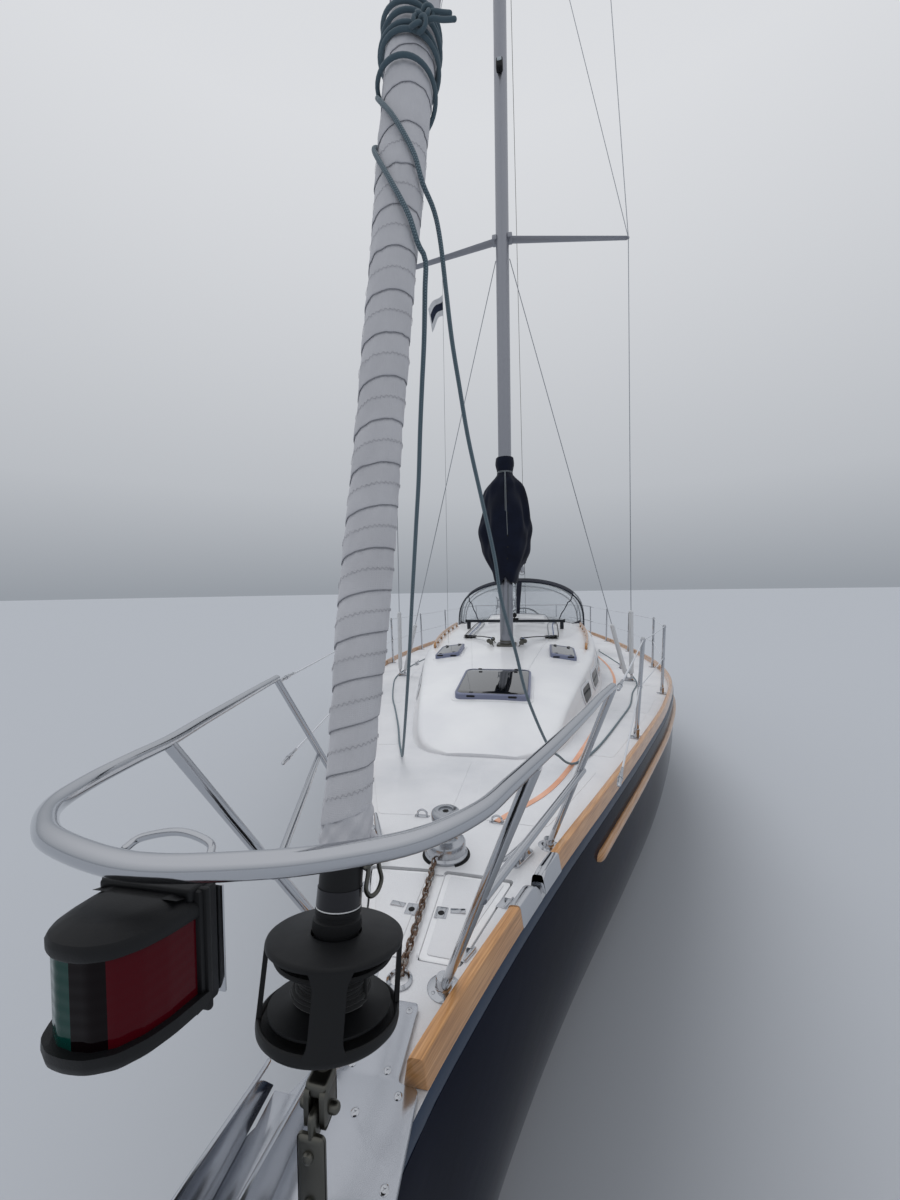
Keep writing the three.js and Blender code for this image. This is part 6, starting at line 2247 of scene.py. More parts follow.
def rusty_chain():
    """Galvanised anchor chain whose zinc has worn: dull grey with brown rust in patches."""
    made, tree, shader = finish("rusty_galvanised_chain", 0x8A7F74, 0.62, Metallic=0.5)
    spots = grain(tree, place(tree), 14, 5, 0.7)
    tint(tree, shader, spots, (0x4A3020, 0x705848, 0x979490), (0.35, 0.5, 0.62))
    roughen(tree, shader, spots, 0.8, 0.45)
    return made


WINDLASS_CHROME = polished_metal("chromed_windlass", 0xB2B5BA, 0.1, 0.2, 60)
RUSTY_CHAIN = rusty_chain()
make_windlass()


# Anchor locker lids, their hinges and latches
# A hinge leaf's corners: along the hinge, then from there
LEAF_CORNERS = [(-24, (-14, 0)), (-24, (18, -4)), (24, (18, -4)), (24, (-14, 0))]


def make_locker_lids():
    for side in ("port", "starboard"):
        body = f"{side}_locker_lid"
        outline = rounded(locker_outline(5, 12), 14, 8)
        shape = slab(outline, -18, -1, 3, deck_height)
        inner = draped(rounded(locker_outline(22, 24), 10, 5), deck_height, 0.2, 0.5, 30, 2)
        hinges = []
        for hx, hy in ((247, -4624), (150, -4827)):
            ux = unit(np.array((97, 203)))
            at = np.array((min(hx, 232) - 24, hy))
            leaf = [at + ux * end + np.array(by) for end, by in LEAF_CORNERS]
            hinges.append(plate(rounded(leaf, 6), deck_height(*at) - 1, deck_height(*at) + 1.6, 0.8))
            knuckle = np.array((*(at + (14, 0)), deck_height(*at) + 2.4))
            hinges.append(rod(
                knuckle - (*(ux * 22), 0), knuckle + (*(ux * 22), 0), 3.6, sides=12, round_ends=True
            ))
        # Flush latch: a bordered plate with a finger hole, and its strap
        latch_z = deck_height(40, -4706)
        hinges.append(pad(17, 22, (4, 4), (-1.4, 1.2), 0.6, (42, -4704, latch_z)))
        hinges.append(moved(
            block((-21, 21), (-9, 9), (-1.2, 3), 1.5), (86, -4690, deck_height(86, -4690)), 8
        ))
        # The finger hole is a flat black disc: painted shade in the recess
        hole = moved(lathe([(9, -1), (9, 0.5), (7.5, 0.7), (0, 0.7)], sides=24), (42, -4706, latch_z + 1))
        piece(
            f"anchor_locker_lid_{side}", on_side(shape, side), WHITE_GELCOAT, body=body,
            replaces=f"anchor_locker_lid_{side}", slot="gelcoat_white"
        )
        piece(f"locker_lid_tread_{side}", on_side(inner, side), PATCHES, body=body)
        piece(
            f"locker_lid_fittings_{side}", on_side(together(*hinges), side), STAINLESS, body=body,
            slot="stainless"
        )
        piece(f"locker_latch_hole_{side}", on_side(hole, side), RUBBER_AND_HOLE_SHADE, body=body)
        edge = np.array(rounded(locker_outline(2.2, 6), 14, 6))
        outward = edge @ np.array((ux[1], -ux[0]))
        inboard = outward < outward.max() - 14
        start = next(i for i in range(len(edge)) if inboard[i] and not inboard[i - 1])
        edge = [p for p, keep in zip(np.roll(edge, -start, axis=0), np.roll(inboard, -start)) if keep]
        seal = tube([(x, y, deck_height(x, y) - 12) for x, y in edge], 1.9, 8, True)
        piece(f"locker_seal_{side}", on_side(seal, side), RUBBER_AND_HOLE_SHADE)


make_locker_lids()

# Teak handrails on the coachroof
HANDRAIL = {
    "high": 62, "wide": 26, "deep": 24, "inboard": 78, "feet": [-1255, -945, -635, -325, -15, 295, 605]
}


def make_handrails():
    rings = []
    feet = HANDRAIL["feet"]
    for y in np.linspace(feet[0] - 45, feet[-1] + 45, 330):
        x = roof_lines(y)[1] - HANDRAIL["inboard"]
        roof = roof_height(x, y)
        near = min(abs(y - f) for f in feet)
        arch = (HANDRAIL["high"] - HANDRAIL["deep"]) * min(1, max(0, (near - 30) / 62)) ** 0.5
        end = min(y - (feet[0] - 45), feet[-1] + 45 - y)
        top = roof + HANDRAIL["high"] - 26 * max(0, 1 - end / 60) ** 2
        w, low = HANDRAIL["wide"] / 2, min(roof + SEAT + arch, top - 12)
        ring = [
            (-w, low + 5), (-w + 2, low + 1.5), (-w + 5, low), (w - 5, low), (w - 2, low + 1.5),
            (w, low + 5), (w, top - 8), (w - 3, top - 2.5), (w - 8, top), (-w + 8, top),
            (-w + 3, top - 2.5), (-w, top - 8)
        ]
        rings.append([(x + dx, y, z) for dx, z in ring])
    pair("handrail", loft(rings), TEAK, replaces="handrail", slot="teak", angle=40)
    places = []
    for f in feet:
        x = roof_lines(f)[1] - HANDRAIL["inboard"]
        places += [(s * x, f, roof_height(x, f) + HANDRAIL["high"]) for s in (1, -1)]
    repeat(
        "handrail_plugs", lathe([(6, -1), (6, 0.3), (0, 0.3)], sides=14), places, (1, 0, 0), (0, 0, 1),
        WASHBOARD_TEAK
    )


make_handrails()


# Mooring cleats
def cleat(length=236, high=46, radius=11):
    half = length / 2
    line = smooth_path([
        (-half, 0, high + 6), (-half * 0.6, 0, high - 2), (0, 0, high - 6), (half * 0.6, 0, high - 2),
        (half, 0, high + 6)
    ], 36)
    share = np.abs(np.linspace(-1, 1, len(line)))
    horn = tube(line, radius * (1.05 - 0.45 * share**1.6), 20, True)
    feet = [tube(
        [(s * 34, 0, 3), (s * 34, 0, 14), (s * 31, 0, 26), (s * 26, 0, high - 6)], (17, 12.5, 11, 11.5), 20
    ) for s in (-1, 1)]
    base = plate(rounded(rectangle(62, 19), 18, 8), 0.4, 6, 2)
    heads = [lathe([(5, 5), (5, 6.4), (3.6, 7.2), (0, 7.4)], (s * 50, 0, 0), sides=12) for s in (-1, 1)]
    return together(horn, base, *feet, *heads)


def make_cleats():
    at = (248, -4400)
    shape = moved(cleat(), (*at, deck_height(*at)), 90 - 26)
    pair("bow_cleat", shape, STAINLESS, replaces="bow_cleat", slot="stainless")
    extra = []
    for x, y, turn in ((1270, -150, 88), (1180, 4560, 76)):
        extra.append(moved(cleat(190, 40, 9), (x, y, deck_height(x, y)), turn))
    pair("deck_cleats", together(*extra), STAINLESS, slot="stainless")


make_cleats()

# Stanchions, lifelines and stern rail
STANCHIONS = [(-2922, 94, 45), (-1500, 94, 25), (150, 94, 20), (1750, 94, 20), (3200, 94, 20)]
LIFELINE = {"top": 610, "middle": 320, "wire": 3.5, "post": 12.5}
PUSHPIT = [(1360, 3950), (1270, 4450), (1160, 4830), (1000, 4985), (700, 5010), (330, 5015)]
PUSHPIT_RAIL = {"top": 1800, "middle": 1500, "radius": 12.7}


def make_lifelines():
    posts = []
    wires = {"top": [(535, -4530, 1905)], "middle": [(535, -4530, 1625)]}
    for y, inboard, lean in STANCHIONS:
        x = hull_lines(y)[0] - inboard
        z = deck_height(x, y)
        foot, head = np.array((x, y, z + 2)), np.array((x + lean, y, z + LIFELINE["top"] + 10))
        posts.append(tube(
            [foot, foot + (head - foot) * 0.985, head], (LIFELINE["post"], LIFELINE["post"], 11.5), 24, True
        ))
        way = unit(head - foot)
        posts.append(aimed(lathe([(17, 0), (17, 52), (16, 56), (LIFELINE["post"], 58)], sides=24), foot, way))
        posts.append(pad(42, 34, (12, 6), (0.4, 5), 1.5, (x, y, z)))
        posts += [
            lathe([(5, 4), (5, 5.6), (0, 6.6)], (x + dx, y + dy, z), sides=10) for dx in (-30, 30)
            for dy in (-22, 22)
        ]
        for name in wires:
            share = LIFELINE[name] / (LIFELINE["top"] + 10)
            at = foot + (head - foot) * share
            wires[name].append(tuple(at))
            posts.append(aimed(lathe([
                (14, -9), (15, -7), (15, 7), (14, 9), (12, 10), (12, -10), (14, -9)
            ], sides=24), at, way))
    wires["top"].append((1362, 3930, 1790))
    wires["middle"].append((1362, 3930, 1490))
    lines, ends = [], []
    for name, stops in wires.items():
        stops = np.array(stops)
        path = []
        for a, b in zip(stops, stops[1:]):
            for t in np.linspace(0, 1, 12, endpoint=False):
                p = a + (b - a) * t
                path.append(p - np.array((0, 0, 5 * math.sin(math.pi * t))))
        path.append(stops[-1])
        lines.append(tube(path, LIFELINE["wire"], 10, True))
        for a, b in ((stops[0], stops[1]), (stops[-1], stops[-2])):
            way = unit(b - a)
            ends.append(rod(a + way * 6, a + way * 95, 6.5, sides=14, round_ends=True))
            ends.append(rod(a + way * 95, a + way * 150, 4.8, sides=12, round_ends=True))
            ends.append(aimed(lathe([(8, -6), (8, 6), (0, 6)], sides=12), a + way * 60, way))
    pair("lifelines", together(*lines), COATED_WIRE, replaces="lifelines", slot="stainless", angle=50)
    pair("stanchions", together(*posts, *ends), STAINLESS, slot="stainless")


def make_pushpit():
    half = [(x, y, PUSHPIT_RAIL["top"]) for x, y in PUSHPIT]
    whole = half + [(-x, y, z) for x, y, z in reversed(half)]
    radius = PUSHPIT_RAIL["radius"]
    parts = [tube(smooth_path(whole, 150), radius, 24, True)]
    middle = [(x * 0.995, y, PUSHPIT_RAIL["middle"]) for x, y in PUSHPIT[:4]]
    parts.append(both(tube(smooth_path(middle, 50), 11, 20, True)))
    for x, y in ((1360, 3960), (1165, 4845), (700, 5000)):
        z = deck_height(x, y)
        post = rod((x, y, z + 1), (x, y, PUSHPIT_RAIL["top"]), radius, sides=24)
        leg = together(post, foot_flange(x, y, deck_height, 34, 3))
        parts.append(both(leg))
    piece("pushpit", together(*parts), STAINLESS, replaces="pushpit", slot="stainless")


COATED_WIRE = moulded("white_pvc_coated_wire", 0xC9CCD1, 0.4)
make_lifelines()
make_pushpit()

# Standing rigging
CHAINPLATE = (1235, -990, 1262)
BACKSTAY_Y = 4990


def make_shrouds():
    foot = np.array(CHAINPLATE, float)
    lower, upper = np.array((1209.5, -1105, 5620.0)), np.array((910.5, -1005, 10640.0))
    head = np.array((70.5, mast_y(15890), 15890))
    low_foot = foot + (-46, 10, 0)
    low_head = np.array((67.5, mast_y(5400) + 20, 5400))
    wires = [
        tube([foot, lower, upper, head], 4, 8),
        rod(lower, (67.5, mast_y(10450) + 20, 10450), 3.5, sides=8),
        rod(low_foot, low_head, 4, sides=8),
    ]
    screws, covers = [], []
    for base, top, share in ((foot, lower, 0.155), (low_foot, low_head, 0.13)):
        way = unit(top - base)
        length = np.linalg.norm(top - base)
        covers.append(tube([base + way * 62, base + way * length * share], 22, 28, True))
        covers.append(aimed(
            lathe([(23.5, 0), (24, 4), (23.5, 10), (12, 13), (0, 13)], sides=28),
            base + way * (length * share - 6), way
        ))
        screws.append(aimed(block((-11, 11), (-8, 8), (-18, 34), 3), base + way * 18, way))
        screws.append(rod(base + (0, -15, 14), base + (0, 15, 14), 5.5, sides=12, round_ends=True))
        screws.append(rod(base + way * 40, base + way * 72, 8, sides=16))
    screws.append(block((1169, 1253), (-1000, -970), (1212, 1268), 4))
    screws.append(pad(60, 30, (12, 6), (0.3, 4), 1.2, (1210, -986, deck_height(1210, -986))))
    pair("shrouds", together(*wires), WIRE, replaces="shrouds", slot="stainless", angle=50)
    pair("shroud_covers", together(*covers), WHITE_PVC)
    pair("chainplates", together(*screws), STAINLESS, slot="stainless")


def make_stays():
    toggle = on_stay([(0, 96), (11, 96), (13, 102), (14, 108), (14, 150), (11, 156), (8, 162), (0, 162)], 24)
    fork = [
        both(block((6.6, 17), (-5336, -5296), (1448, 1504), 9, 4)),
        block((-17, 17), (-5332, -5294), (1488, 1510), 7, 4)
    ]
    wire = rod(
        STAY_FOOT + STAY_WAY * 96, STAY_FOOT + STAY_WAY * (np.linalg.norm(STAY_HEAD - STAY_FOOT) - 20), 5,
        sides=10
    )
    pin = rod((-23, -5318, 1468), (23, -5318, 1468), 8, sides=16, round_ends=True)
    piece(
        "forestay", together(wire, toggle, pin, *fork), WORN_STAINLESS, replaces="forestay",
        slot="stainless"
    )
    deck = deck_height(0, BACKSTAY_Y)
    foot = np.array((0, BACKSTAY_Y, deck + 70))
    head = np.array((0, mast_y(15940) + 176, 15940))
    low, high = foot, np.array((0, 4830, 1700))
    way = unit(high - low)
    parts = [
        rod(foot, head, 4, sides=8),
        tube([low + way * 40, low + way * 60, high - way * 20, high], (9, 12, 12, 9), 20, True)
    ]
    parts.append(block((-5, 5), (BACKSTAY_Y - 30, BACKSTAY_Y + 30), (deck + 0.5, foot[2] + 16), 3))
    parts.append(rod(foot + (-13, 0, 0), foot + (13, 0, 0), 6, sides=14, round_ends=True))
    parts.append(pad(24, 46, (10, 6), (0.4, 5), 1.2, (0, BACKSTAY_Y, deck)))
    wheel = aimed(
        lathe([(34, -5), (36, 0), (34, 5), (28, 6), (28, -6), (34, -5)], sides=32), low + way * 200, way
    )
    piece("backstay", together(*parts), WORN_STAINLESS, replaces="backstay", slot="stainless")
    piece("backstay_wheel", wheel, STAINLESS)


WIRE = polished_metal("stranded_stainless_wire", 0xA9ADB2, 0.28, 0.1)
make_shrouds()
make_stays()


# Cockpit
COCKPIT = {"seat": 930, "sole": 520, "well": 350}


def slats(corners, z, pitch=46, gap=5, thick=7):
    """Teak slats that run fore and aft between two corners, with gaps for the caulking."""
    (x0, y0), (x1, y1) = np.array(corners, float)
    count = max(1, round((x1 - x0 + gap) / pitch))
    step = (x1 - x0 + gap) / count
    starts = [x0 + i * step for i in range(count)]
    return together(*[block((a, a + step - gap), (y0, y1), (z + 0.4, z + thick), 1.2, 1) for a in starts])


def make_cockpit():
    refined("cockpit", "cockpit", WHITE_GELCOAT, bevel=9, segments=3, angle=40)
    seats, rubber = [], []
    for y0, y1 in ((1680, 1980), (3000, 3900)):
        seats.append(slats([(420, y0), (870, y1)], COCKPIT["seat"]))
        rubber.append(plate(
            rounded([(414, y0 - 6), (876, y0 - 6), (876, y1 + 6), (414, y1 + 6)], 12),
            COCKPIT["seat"] + 0.2, COCKPIT["seat"] + 3.5
        ))
    pair("seat_slats", together(*seats), COCKPIT_TEAK, slot="teak")
    pair("seat_caulking", together(*rubber), RUBBER_AND_HOLE_SHADE)
    floor = slats([(-320, 1720), (320, 3120)], COCKPIT["sole"], 52, 5, 9)
    piece("sole_slats", floor, COCKPIT_TEAK, slot="teak")
    piece("sole_caulking", plate(
        rounded(rectangle(328, 706, (0, 2420)), 12), COCKPIT["sole"] + 0.2, COCKPIT["sole"] + 4
    ), RUBBER_AND_HOLE_SHADE)
    for side in ("port", "starboard"):
        body = f"{side}_seat_lid"
        refined(
            f"seat_lid_{side}", f"seat_lid_{side}", WHITE_GELCOAT, bevel=5, segments=2, body=body,
            angle=40
        )
        teak = slats([(424, 2016), (861, 2934)], 952, 46, 5, 6)
        under = plate(rounded([(418, 2010), (867, 2010), (867, 2940), (418, 2940)], 10), 952.2, 955)
        pull = [moved(tube(smooth_path([
            (-45, 0, 0), (-40, 0, 16), (-20, 0, 22), (20, 0, 22), (40, 0, 16), (45, 0, 0)
        ], 30), 5, 12, True), (440, 2475, 951), 90)]
        piece(f"seat_lid_teak_{side}", on_side(teak, side), COCKPIT_TEAK, body=body, slot="teak")
        piece(f"seat_lid_caulking_{side}", on_side(under, side), RUBBER_AND_HOLE_SHADE, body=body)
        piece(f"seat_lid_pull_{side}", on_side(together(*pull), side), STAINLESS, body=body, slot="stainless")
    # Speakers, engine panel and drains in the well
    parts, dark = [], []
    parts.append(both(moved(
        lathe([(52, -1), (52, 3), (46, 7), (42, 5), (0, 5)], sides=40), (COCKPIT["well"] - 0.5, 2300, 760),
        -90, "Y"
    )))
    dark.append(both(moved(
        lathe([(41, 4), (41, 6.2), (0, 6.2)], sides=32), (COCKPIT["well"] - 0.5, 2300, 760), -90, "Y"
    )))
    piece("well_speakers", together(*parts), WHITE_PLASTIC)
    piece("well_speaker_grilles", together(*dark), BLACK_PLASTIC)
    panel = block((COCKPIT["well"] - 14, COCKPIT["well"] - 0.4), (3000, 3150), (690, 830), 5)
    dials = [moved(
        lathe([(22, 0), (22, 3), (20, 5), (0, 5)], sides=28), (COCKPIT["well"] - 14, 3040 + 70 * i, 790),
        -90, "Y"
    ) for i in (0, 1)]
    keys = [moved(
        lathe([(8, 0), (8, 7), (6, 9), (0, 9)], sides=16), (COCKPIT["well"] - 14, 3030 + 30 * i, 725), -90,
        "Y"
    ) for i in range(4)]
    piece("engine_panel", together(panel, *keys), BLACK_PLASTIC, slot="black_plastic")
    piece("engine_dials", together(*dials), SMOKED_ACRYLIC)
    drains = [lathe(
        [(30, 0.4), (30, 2), (24, 3), (24, 1), (0, 1)], (s * 285, 4300, COCKPIT["sole"]), sides=28
    ) for s in (-1, 1)]
    piece("cockpit_drains", together(*drains), STAINLESS)


COCKPIT_TEAK = varnished_wood("weathered_teak_slat", 0x8B6B45, 0xA98558, 0xBE9C6E, 0.6)
make_cockpit()


def make_winches():
    for side, sign in (("port", 1), ("starboard", -1)):
        x, y, z = sign * 1046, 2650, 1451.3
        body = f"{side}_winch"
        drum = [
            (0, 0.3), (78, 0.3), (78, 14), (76, 20), (72, 22), (60, 26), (57, 36), (53, 52), (50, 70),
            (51, 90), (54, 108), (60, 117), (67, 121), (68, 125), (58, 128), (56, 131), (68, 134),
            (70, 138), (68, 143), (60, 148), (34, 151), (30, 152), (26, 150), (26, 138), (0, 138)
        ]
        piece(
            f"winch_{side}", lathe([(r * 0.99 if r < 78 else r, h) for r, h in drum], (x, y, z), sides=56),
            STAINLESS, body=body, replaces=f"winch_{side}", slot="stainless"
        )
        ribs = []
        for i in range(18):
            a = 2 * math.pi * i / 18
            rx, ry = x + 52.5 * math.cos(a), y + 52.5 * math.sin(a)
            ribs.append(rod((rx, ry, z + 48), (rx, ry, z + 96), 2.6, sides=8, round_ends=True))
        piece(f"winch_ribs_{side}", together(*ribs), WORN_STAINLESS, body=body)
        # The handle socket is a flat black disc: painted shade in its hole
        piece(
            f"winch_socket_{side}", lathe([(13, 0), (13, 1), (0, 1)], (x, y, z + 137.5), sides=8), RUBBER_AND_HOLE_SHADE,
            body=body
        )
        piece(
            f"winch_plinth_{side}", lathe([(88, -2), (88, 0.1), (0, 0.1)], (x, y, z), sides=48),
            BLACK_PLASTIC
        )


make_winches()


PEDESTAL_Y, GUARD_Y = 3330, 3210
COMPASS_LOW = 1530.4
COMPASS_BOWL = [(74, 0), (78, 4), (78, 16), (70, 20)]
COMPASS_DOME = [(68, 20), (66, 30), (56, 46), (38, 58), (16, 64), (0, 65)]
WHEEL_CENTRE = (0, 3480, 1395)


def make_steering():
    sections = [
        (520.3, 110, 120), (540, 100, 108), (580, 85, 90), (900, 76, 84), (1300, 68, 78), (1400, 78, 84),
        (1480, 92, 90), (1516, 92, 89), (1530, 80, 80)
    ]
    read = curve_through([[z, a, b] for z, a, b in sections])
    rings = []
    for z in np.concatenate([np.linspace(520.3, 1516, 40), [1522, 1527, 1530]]):
        a, b = read(z)
        if z > 1516:
            a, b = 92 - (z - 1516) ** 1.6 * 0.19, 89 - (z - 1516) ** 1.6 * 0.16
        squared = lambda part: math.copysign(abs(part) ** 0.75, part)
        rings.append([
            (a * squared(math.cos(t)), PEDESTAL_Y + b * squared(math.sin(t)), z) for t in full_turn(48)
        ])
    axle = rod((0, PEDESTAL_Y, WHEEL_CENTRE[2]), (0, 3466, WHEEL_CENTRE[2]), 18, sides=28)
    piece(
        "pedestal", together(loft(rings), axle), WHITE_GELCOAT, replaces="pedestal", slot="gelcoat_white",
        angle=45
    )
    half = [(-180, 520), (-180, 1200), (-180, 1560), (-150, 1660), (-90, 1680)]
    bar = [(x, GUARD_Y, z) for x, z in half] + [(-x, GUARD_Y, z) for x, z in reversed(half)]
    bar = smooth_path(bar, 120)
    ties = [rod((-180, GUARD_Y, 1400), (180, GUARD_Y, 1400), 10, sides=20)]
    ties += [rod((x, GUARD_Y + 2, 1404), (x, PEDESTAL_Y - 30, 1404), 8, sides=16) for x in (-60, 60)]
    foot = [(34, 0.4), (34, 4), (30, 6), (18, 8), (16, 20), (0, 20)]
    feet = [lathe(foot, (s * 180, GUARD_Y, COCKPIT["sole"]), sides=28) for s in (-1, 1)]
    bar[:, 2] = np.maximum(bar[:, 2], 521)
    piece("pedestal_guard", together(tube(bar, 12.5, 22, True), *ties, *feet), STAINLESS, slot="stainless")
    bowl = lathe([*COMPASS_BOWL, (0, 20)], (0, PEDESTAL_Y, COMPASS_LOW), sides=48)
    piece("compass", bowl, BLACK_PLASTIC, slot="black_plastic")
    dome = lathe(COMPASS_DOME, (0, PEDESTAL_Y, COMPASS_LOW + 0.4), sides=48)
    piece("compass_dome", dome, SMOKED_ACRYLIC, slot="smoked_lens")
    display = block((-90, 90), (3196, 3206), (1500, 1620), 6)
    screen = block((-74, 74), (3206, 3208.5), (1514, 1606), 2)
    piece("instrument_pod", display, BLACK_PLASTIC)
    piece("instrument_screens", screen, SMOKED_ACRYLIC)
    levers = []
    for s in (-1, 1):
        levers.append(tube([
            (s * 92, 3340, 1440), (s * 112, 3342, 1444), (s * 116, 3348, 1500), (s * 118, 3352, 1560)
        ], (8, 8, 6, 5), 14, True))
        levers.append(moved(
            lathe([(0, -16), (10, -13), (15, -4), (15, 4), (10, 13), (0, 16)], sides=20),
            (s * 118, 3353, 1570)
        ))
    piece("engine_levers", together(*levers), STAINLESS, slot="stainless")


def make_wheel():
    centre = WHEEL_CENTRE
    rim = [(386 + 14 * math.cos(a) + 14, 14 * math.sin(a)) for a in np.linspace(0, 2 * math.pi, 17)]
    spokes = [lathe([(0, -12), (34, -12), (40, -8), (40, 10), (36, 13), (0, 13)], centre, (0, 1, 0), 40)]
    for i in range(5):
        a = math.radians(90 + 72 * i)
        way = np.array((math.cos(a), 0, math.sin(a)))
        spokes.append(tube([
            np.array(centre) + way * r + np.array((0, dy, 0))
            for r, dy in ((36, 0), (120, -4), (280, -4), (392, 0))
        ], 7, 16))
    knob = lathe([(0, 13), (20, 13), (22, 18), (20, 28), (0, 30)], centre, (0, 1, 0), 24)
    piece(
        "steering_wheel", together(*spokes), STAINLESS, body="wheel", replaces="steering_wheel",
        slot="stainless"
    )
    piece("wheel_rim", lathe(rim, centre, (0, 1, 0), 96), LEATHER, body="wheel")
    piece("wheel_nut", knob, BLACK_PLASTIC, body="wheel", slot="black_plastic")
    count = 120
    angles = full_turn(count)
    outs = np.column_stack([-np.cos(angles), np.zeros(count), -np.sin(angles)])
    places = np.array(centre) - outs * (400 - 14.4)
    ahead = np.column_stack([-np.sin(angles), np.zeros(count), np.cos(angles)])
    stitch = rod((-3.6, 3, 0), (3.6, -3, 0), 0.9, sides=6, round_ends=True)
    repeat("wheel_stitches", stitch, places, ahead, outs, THREAD, body="wheel")


LEATHER = moulded("stitched_elk_hide", 0x2B2D30, 0.75, 2.5, 0.3)
make_steering()
make_wheel()


def block_sheave(at, radius=32, wide=26, way=(1, 0, 0)):
    """A ball-bearing rope block: two cheeks, a sheave between them and a strap."""
    cheek = [
        (0, wide / 2 - 3), (radius * 0.9, wide / 2 - 3), (radius, wide / 2 - 1.5),
        (radius * 0.92, wide / 2), (0, wide / 2 + 1)
    ]
    other = [(r, -h) for r, h in reversed(cheek)]
    sheave = [
        (radius * 0.86, -wide / 2 + 4), (radius * 0.7, 0), (radius * 0.86, wide / 2 - 4), (0, wide / 2 - 4),
        (0, -wide / 2 + 4)
    ]
    return together(
        lathe(cheek, at, way, 28), lathe(other, at, way, 28),
        lathe(sheave[:3] + [(8, wide / 2 - 4), (8, -wide / 2 + 4), sheave[0]], at, way, 28)
    )


def make_mainsheet():
    y = -40
    track = [
        block((-620, 620), (y - 16, y + 16), (1768, 1786), 3),
        block((-620, 620), (y - 11, y + 11), (1784, 1793), 2),
        block((-620, 620), (y - 15, y + 15), (1790, 1800), 3)
    ]
    feet = []
    for s in (-1, 1):
        z = roof_height(s * 590, y)
        feet.append(block((s * 590 - 22, s * 590 + 22), (y - 28, y + 28), (z + 0.5, 1768), 7))
        track.append(block((s * 622 - 14, s * 622 + 8), (y - 20, y + 20), (1764, 1806), 6))
    piece("traveller", together(*track), DARK_ALLOY, replaces="traveller", slot="alloy")
    z = roof_height(0, y)
    piece("traveller_feet", together(*feet), DARK_ALLOY, slot="alloy")
    # The track's holes are flat black discs: painted shade in them
    holes = [(x, y, 1799.9) for x in np.arange(-560, 561, 40) if abs(x) > 60]
    repeat(
        "traveller_holes", lathe([(4, 0), (4, 0.4), (0, 0.4)], sides=12), holes, (1, 0, 0), (0, 0, 1),
        RUBBER_AND_HOLE_SHADE
    )
    car = block((-52, 52), (y - 24, y + 24), (1794, 1822), 6)
    cheeks = [
        block_sheave((0, y, 1858), 30, 34, (0, 1, 0)), block_sheave((0, y, 2442), 30, 34, (0, 1, 0)),
        block_sheave((0, y, 2392), 18, 30, (0, 1, 0))
    ]
    piece(
        "mainsheet_blocks",
        together(car, *cheeks, rod((0, y, 1820), (0, y, 1836), 6), rod((0, y, 2462), (0, y, 2484), 6)),
        BLACK_PLASTIC, replaces="mainsheet", slot="black_plastic"
    )
    falls = [
        tube([(dx, y + dy, 1868), (dx * 0.9, y + dy, 2160), (dx * 0.8, y + dy, 2436)], 4.5, 10)
        for dx, dy in ((-26, -7), (26, -7), (-24, 7), (24, 7))
    ]
    piece("mainsheet_falls", together(*falls), WHITE_ROPE, slot="rope")
    bail = tube(smooth_path([
        (-34, y, 2500), (-34, y, 2484), (-14, y, 2478), (14, y, 2478), (34, y, 2484), (34, y, 2500)
    ], 30), 4, 10, True)
    piece("mainsheet_bail", bail, STAINLESS)


DARK_ALLOY = brushed_alloy("dark_anodised_track", 0x3A3D42, 0.4)
make_mainsheet()

# Companionway: sliding hatch, sea hood and washboard
refined(
    "companionway_slide", "companionway_slide", WHITE_GELCOAT, bevel=3, segments=2,
    body="companionway_hatch", angle=40
)
refined("seahood", "seahood", WHITE_GELCOAT, bevel=7, segments=3, angle=40)
refined("washboard", "washboard", WASHBOARD_TEAK, bevel=4, segments=2, angle=40)


def make_companionway():
    z = roof_height(0, 1540) + 26
    handle = tube(smooth_path([
        (-100, 1560, z - 1), (-96, 1560, z + 16), (-80, 1560, z + 24), (80, 1560, z + 24),
        (96, 1560, z + 16), (100, 1560, z - 1)
    ], 40), 7, 16, True)
    piece("slide_grab", handle, STAINLESS, body="companionway_hatch")
    rails = []
    for s in (-1, 1):
        rails.append([(s * 356, y, roof_height(356, y) + 9) for y in np.linspace(992, 1556, 12)])
    piece("slide_runners", together(*[tube(r, 7, 12, True) for r in rails]), STAINLESS)
    lock = lathe([(16, 0), (16, 3), (12, 5), (0, 5)], (0, 1545, 1640), (0, 1, 0), 24)
    vents = [block((-140, 140), (1544, 1548), (1400 + 26 * i, 1412 + 26 * i), 1.5) for i in range(5)]
    piece("washboard_vent", together(*vents), BLACK_PLASTIC)
    piece("washboard_lock", lock, STAINLESS)


make_companionway()

# Below the water: keel, rudder, shaft, propeller and engine
KEEL_ROWS = [
    (-1880, -520, 1010, 150), (-1800, -640, 1060, 165), (-1690, -560, 960, 110), (-1560, -470, 850, 70),
    (-700, -760, 900, 85), (-420, -800, 920, 95)
]
FOIL = [
    (0, 0), (0.01, 0.26), (0.03, 0.44), (0.06, 0.6), (0.12, 0.82), (0.25, 1), (0.37, 0.96), (0.5, 0.85),
    (0.65, 0.62), (0.8, 0.35), (0.92, 0.13), (1, 0.03)
]


def foil_ring(z, start, end, half):
    side = [(half * h, start + (end - start) * s, z) for s, h in FOIL]
    return side + [(-x, y, zz) for x, y, zz in reversed(side[1:])]


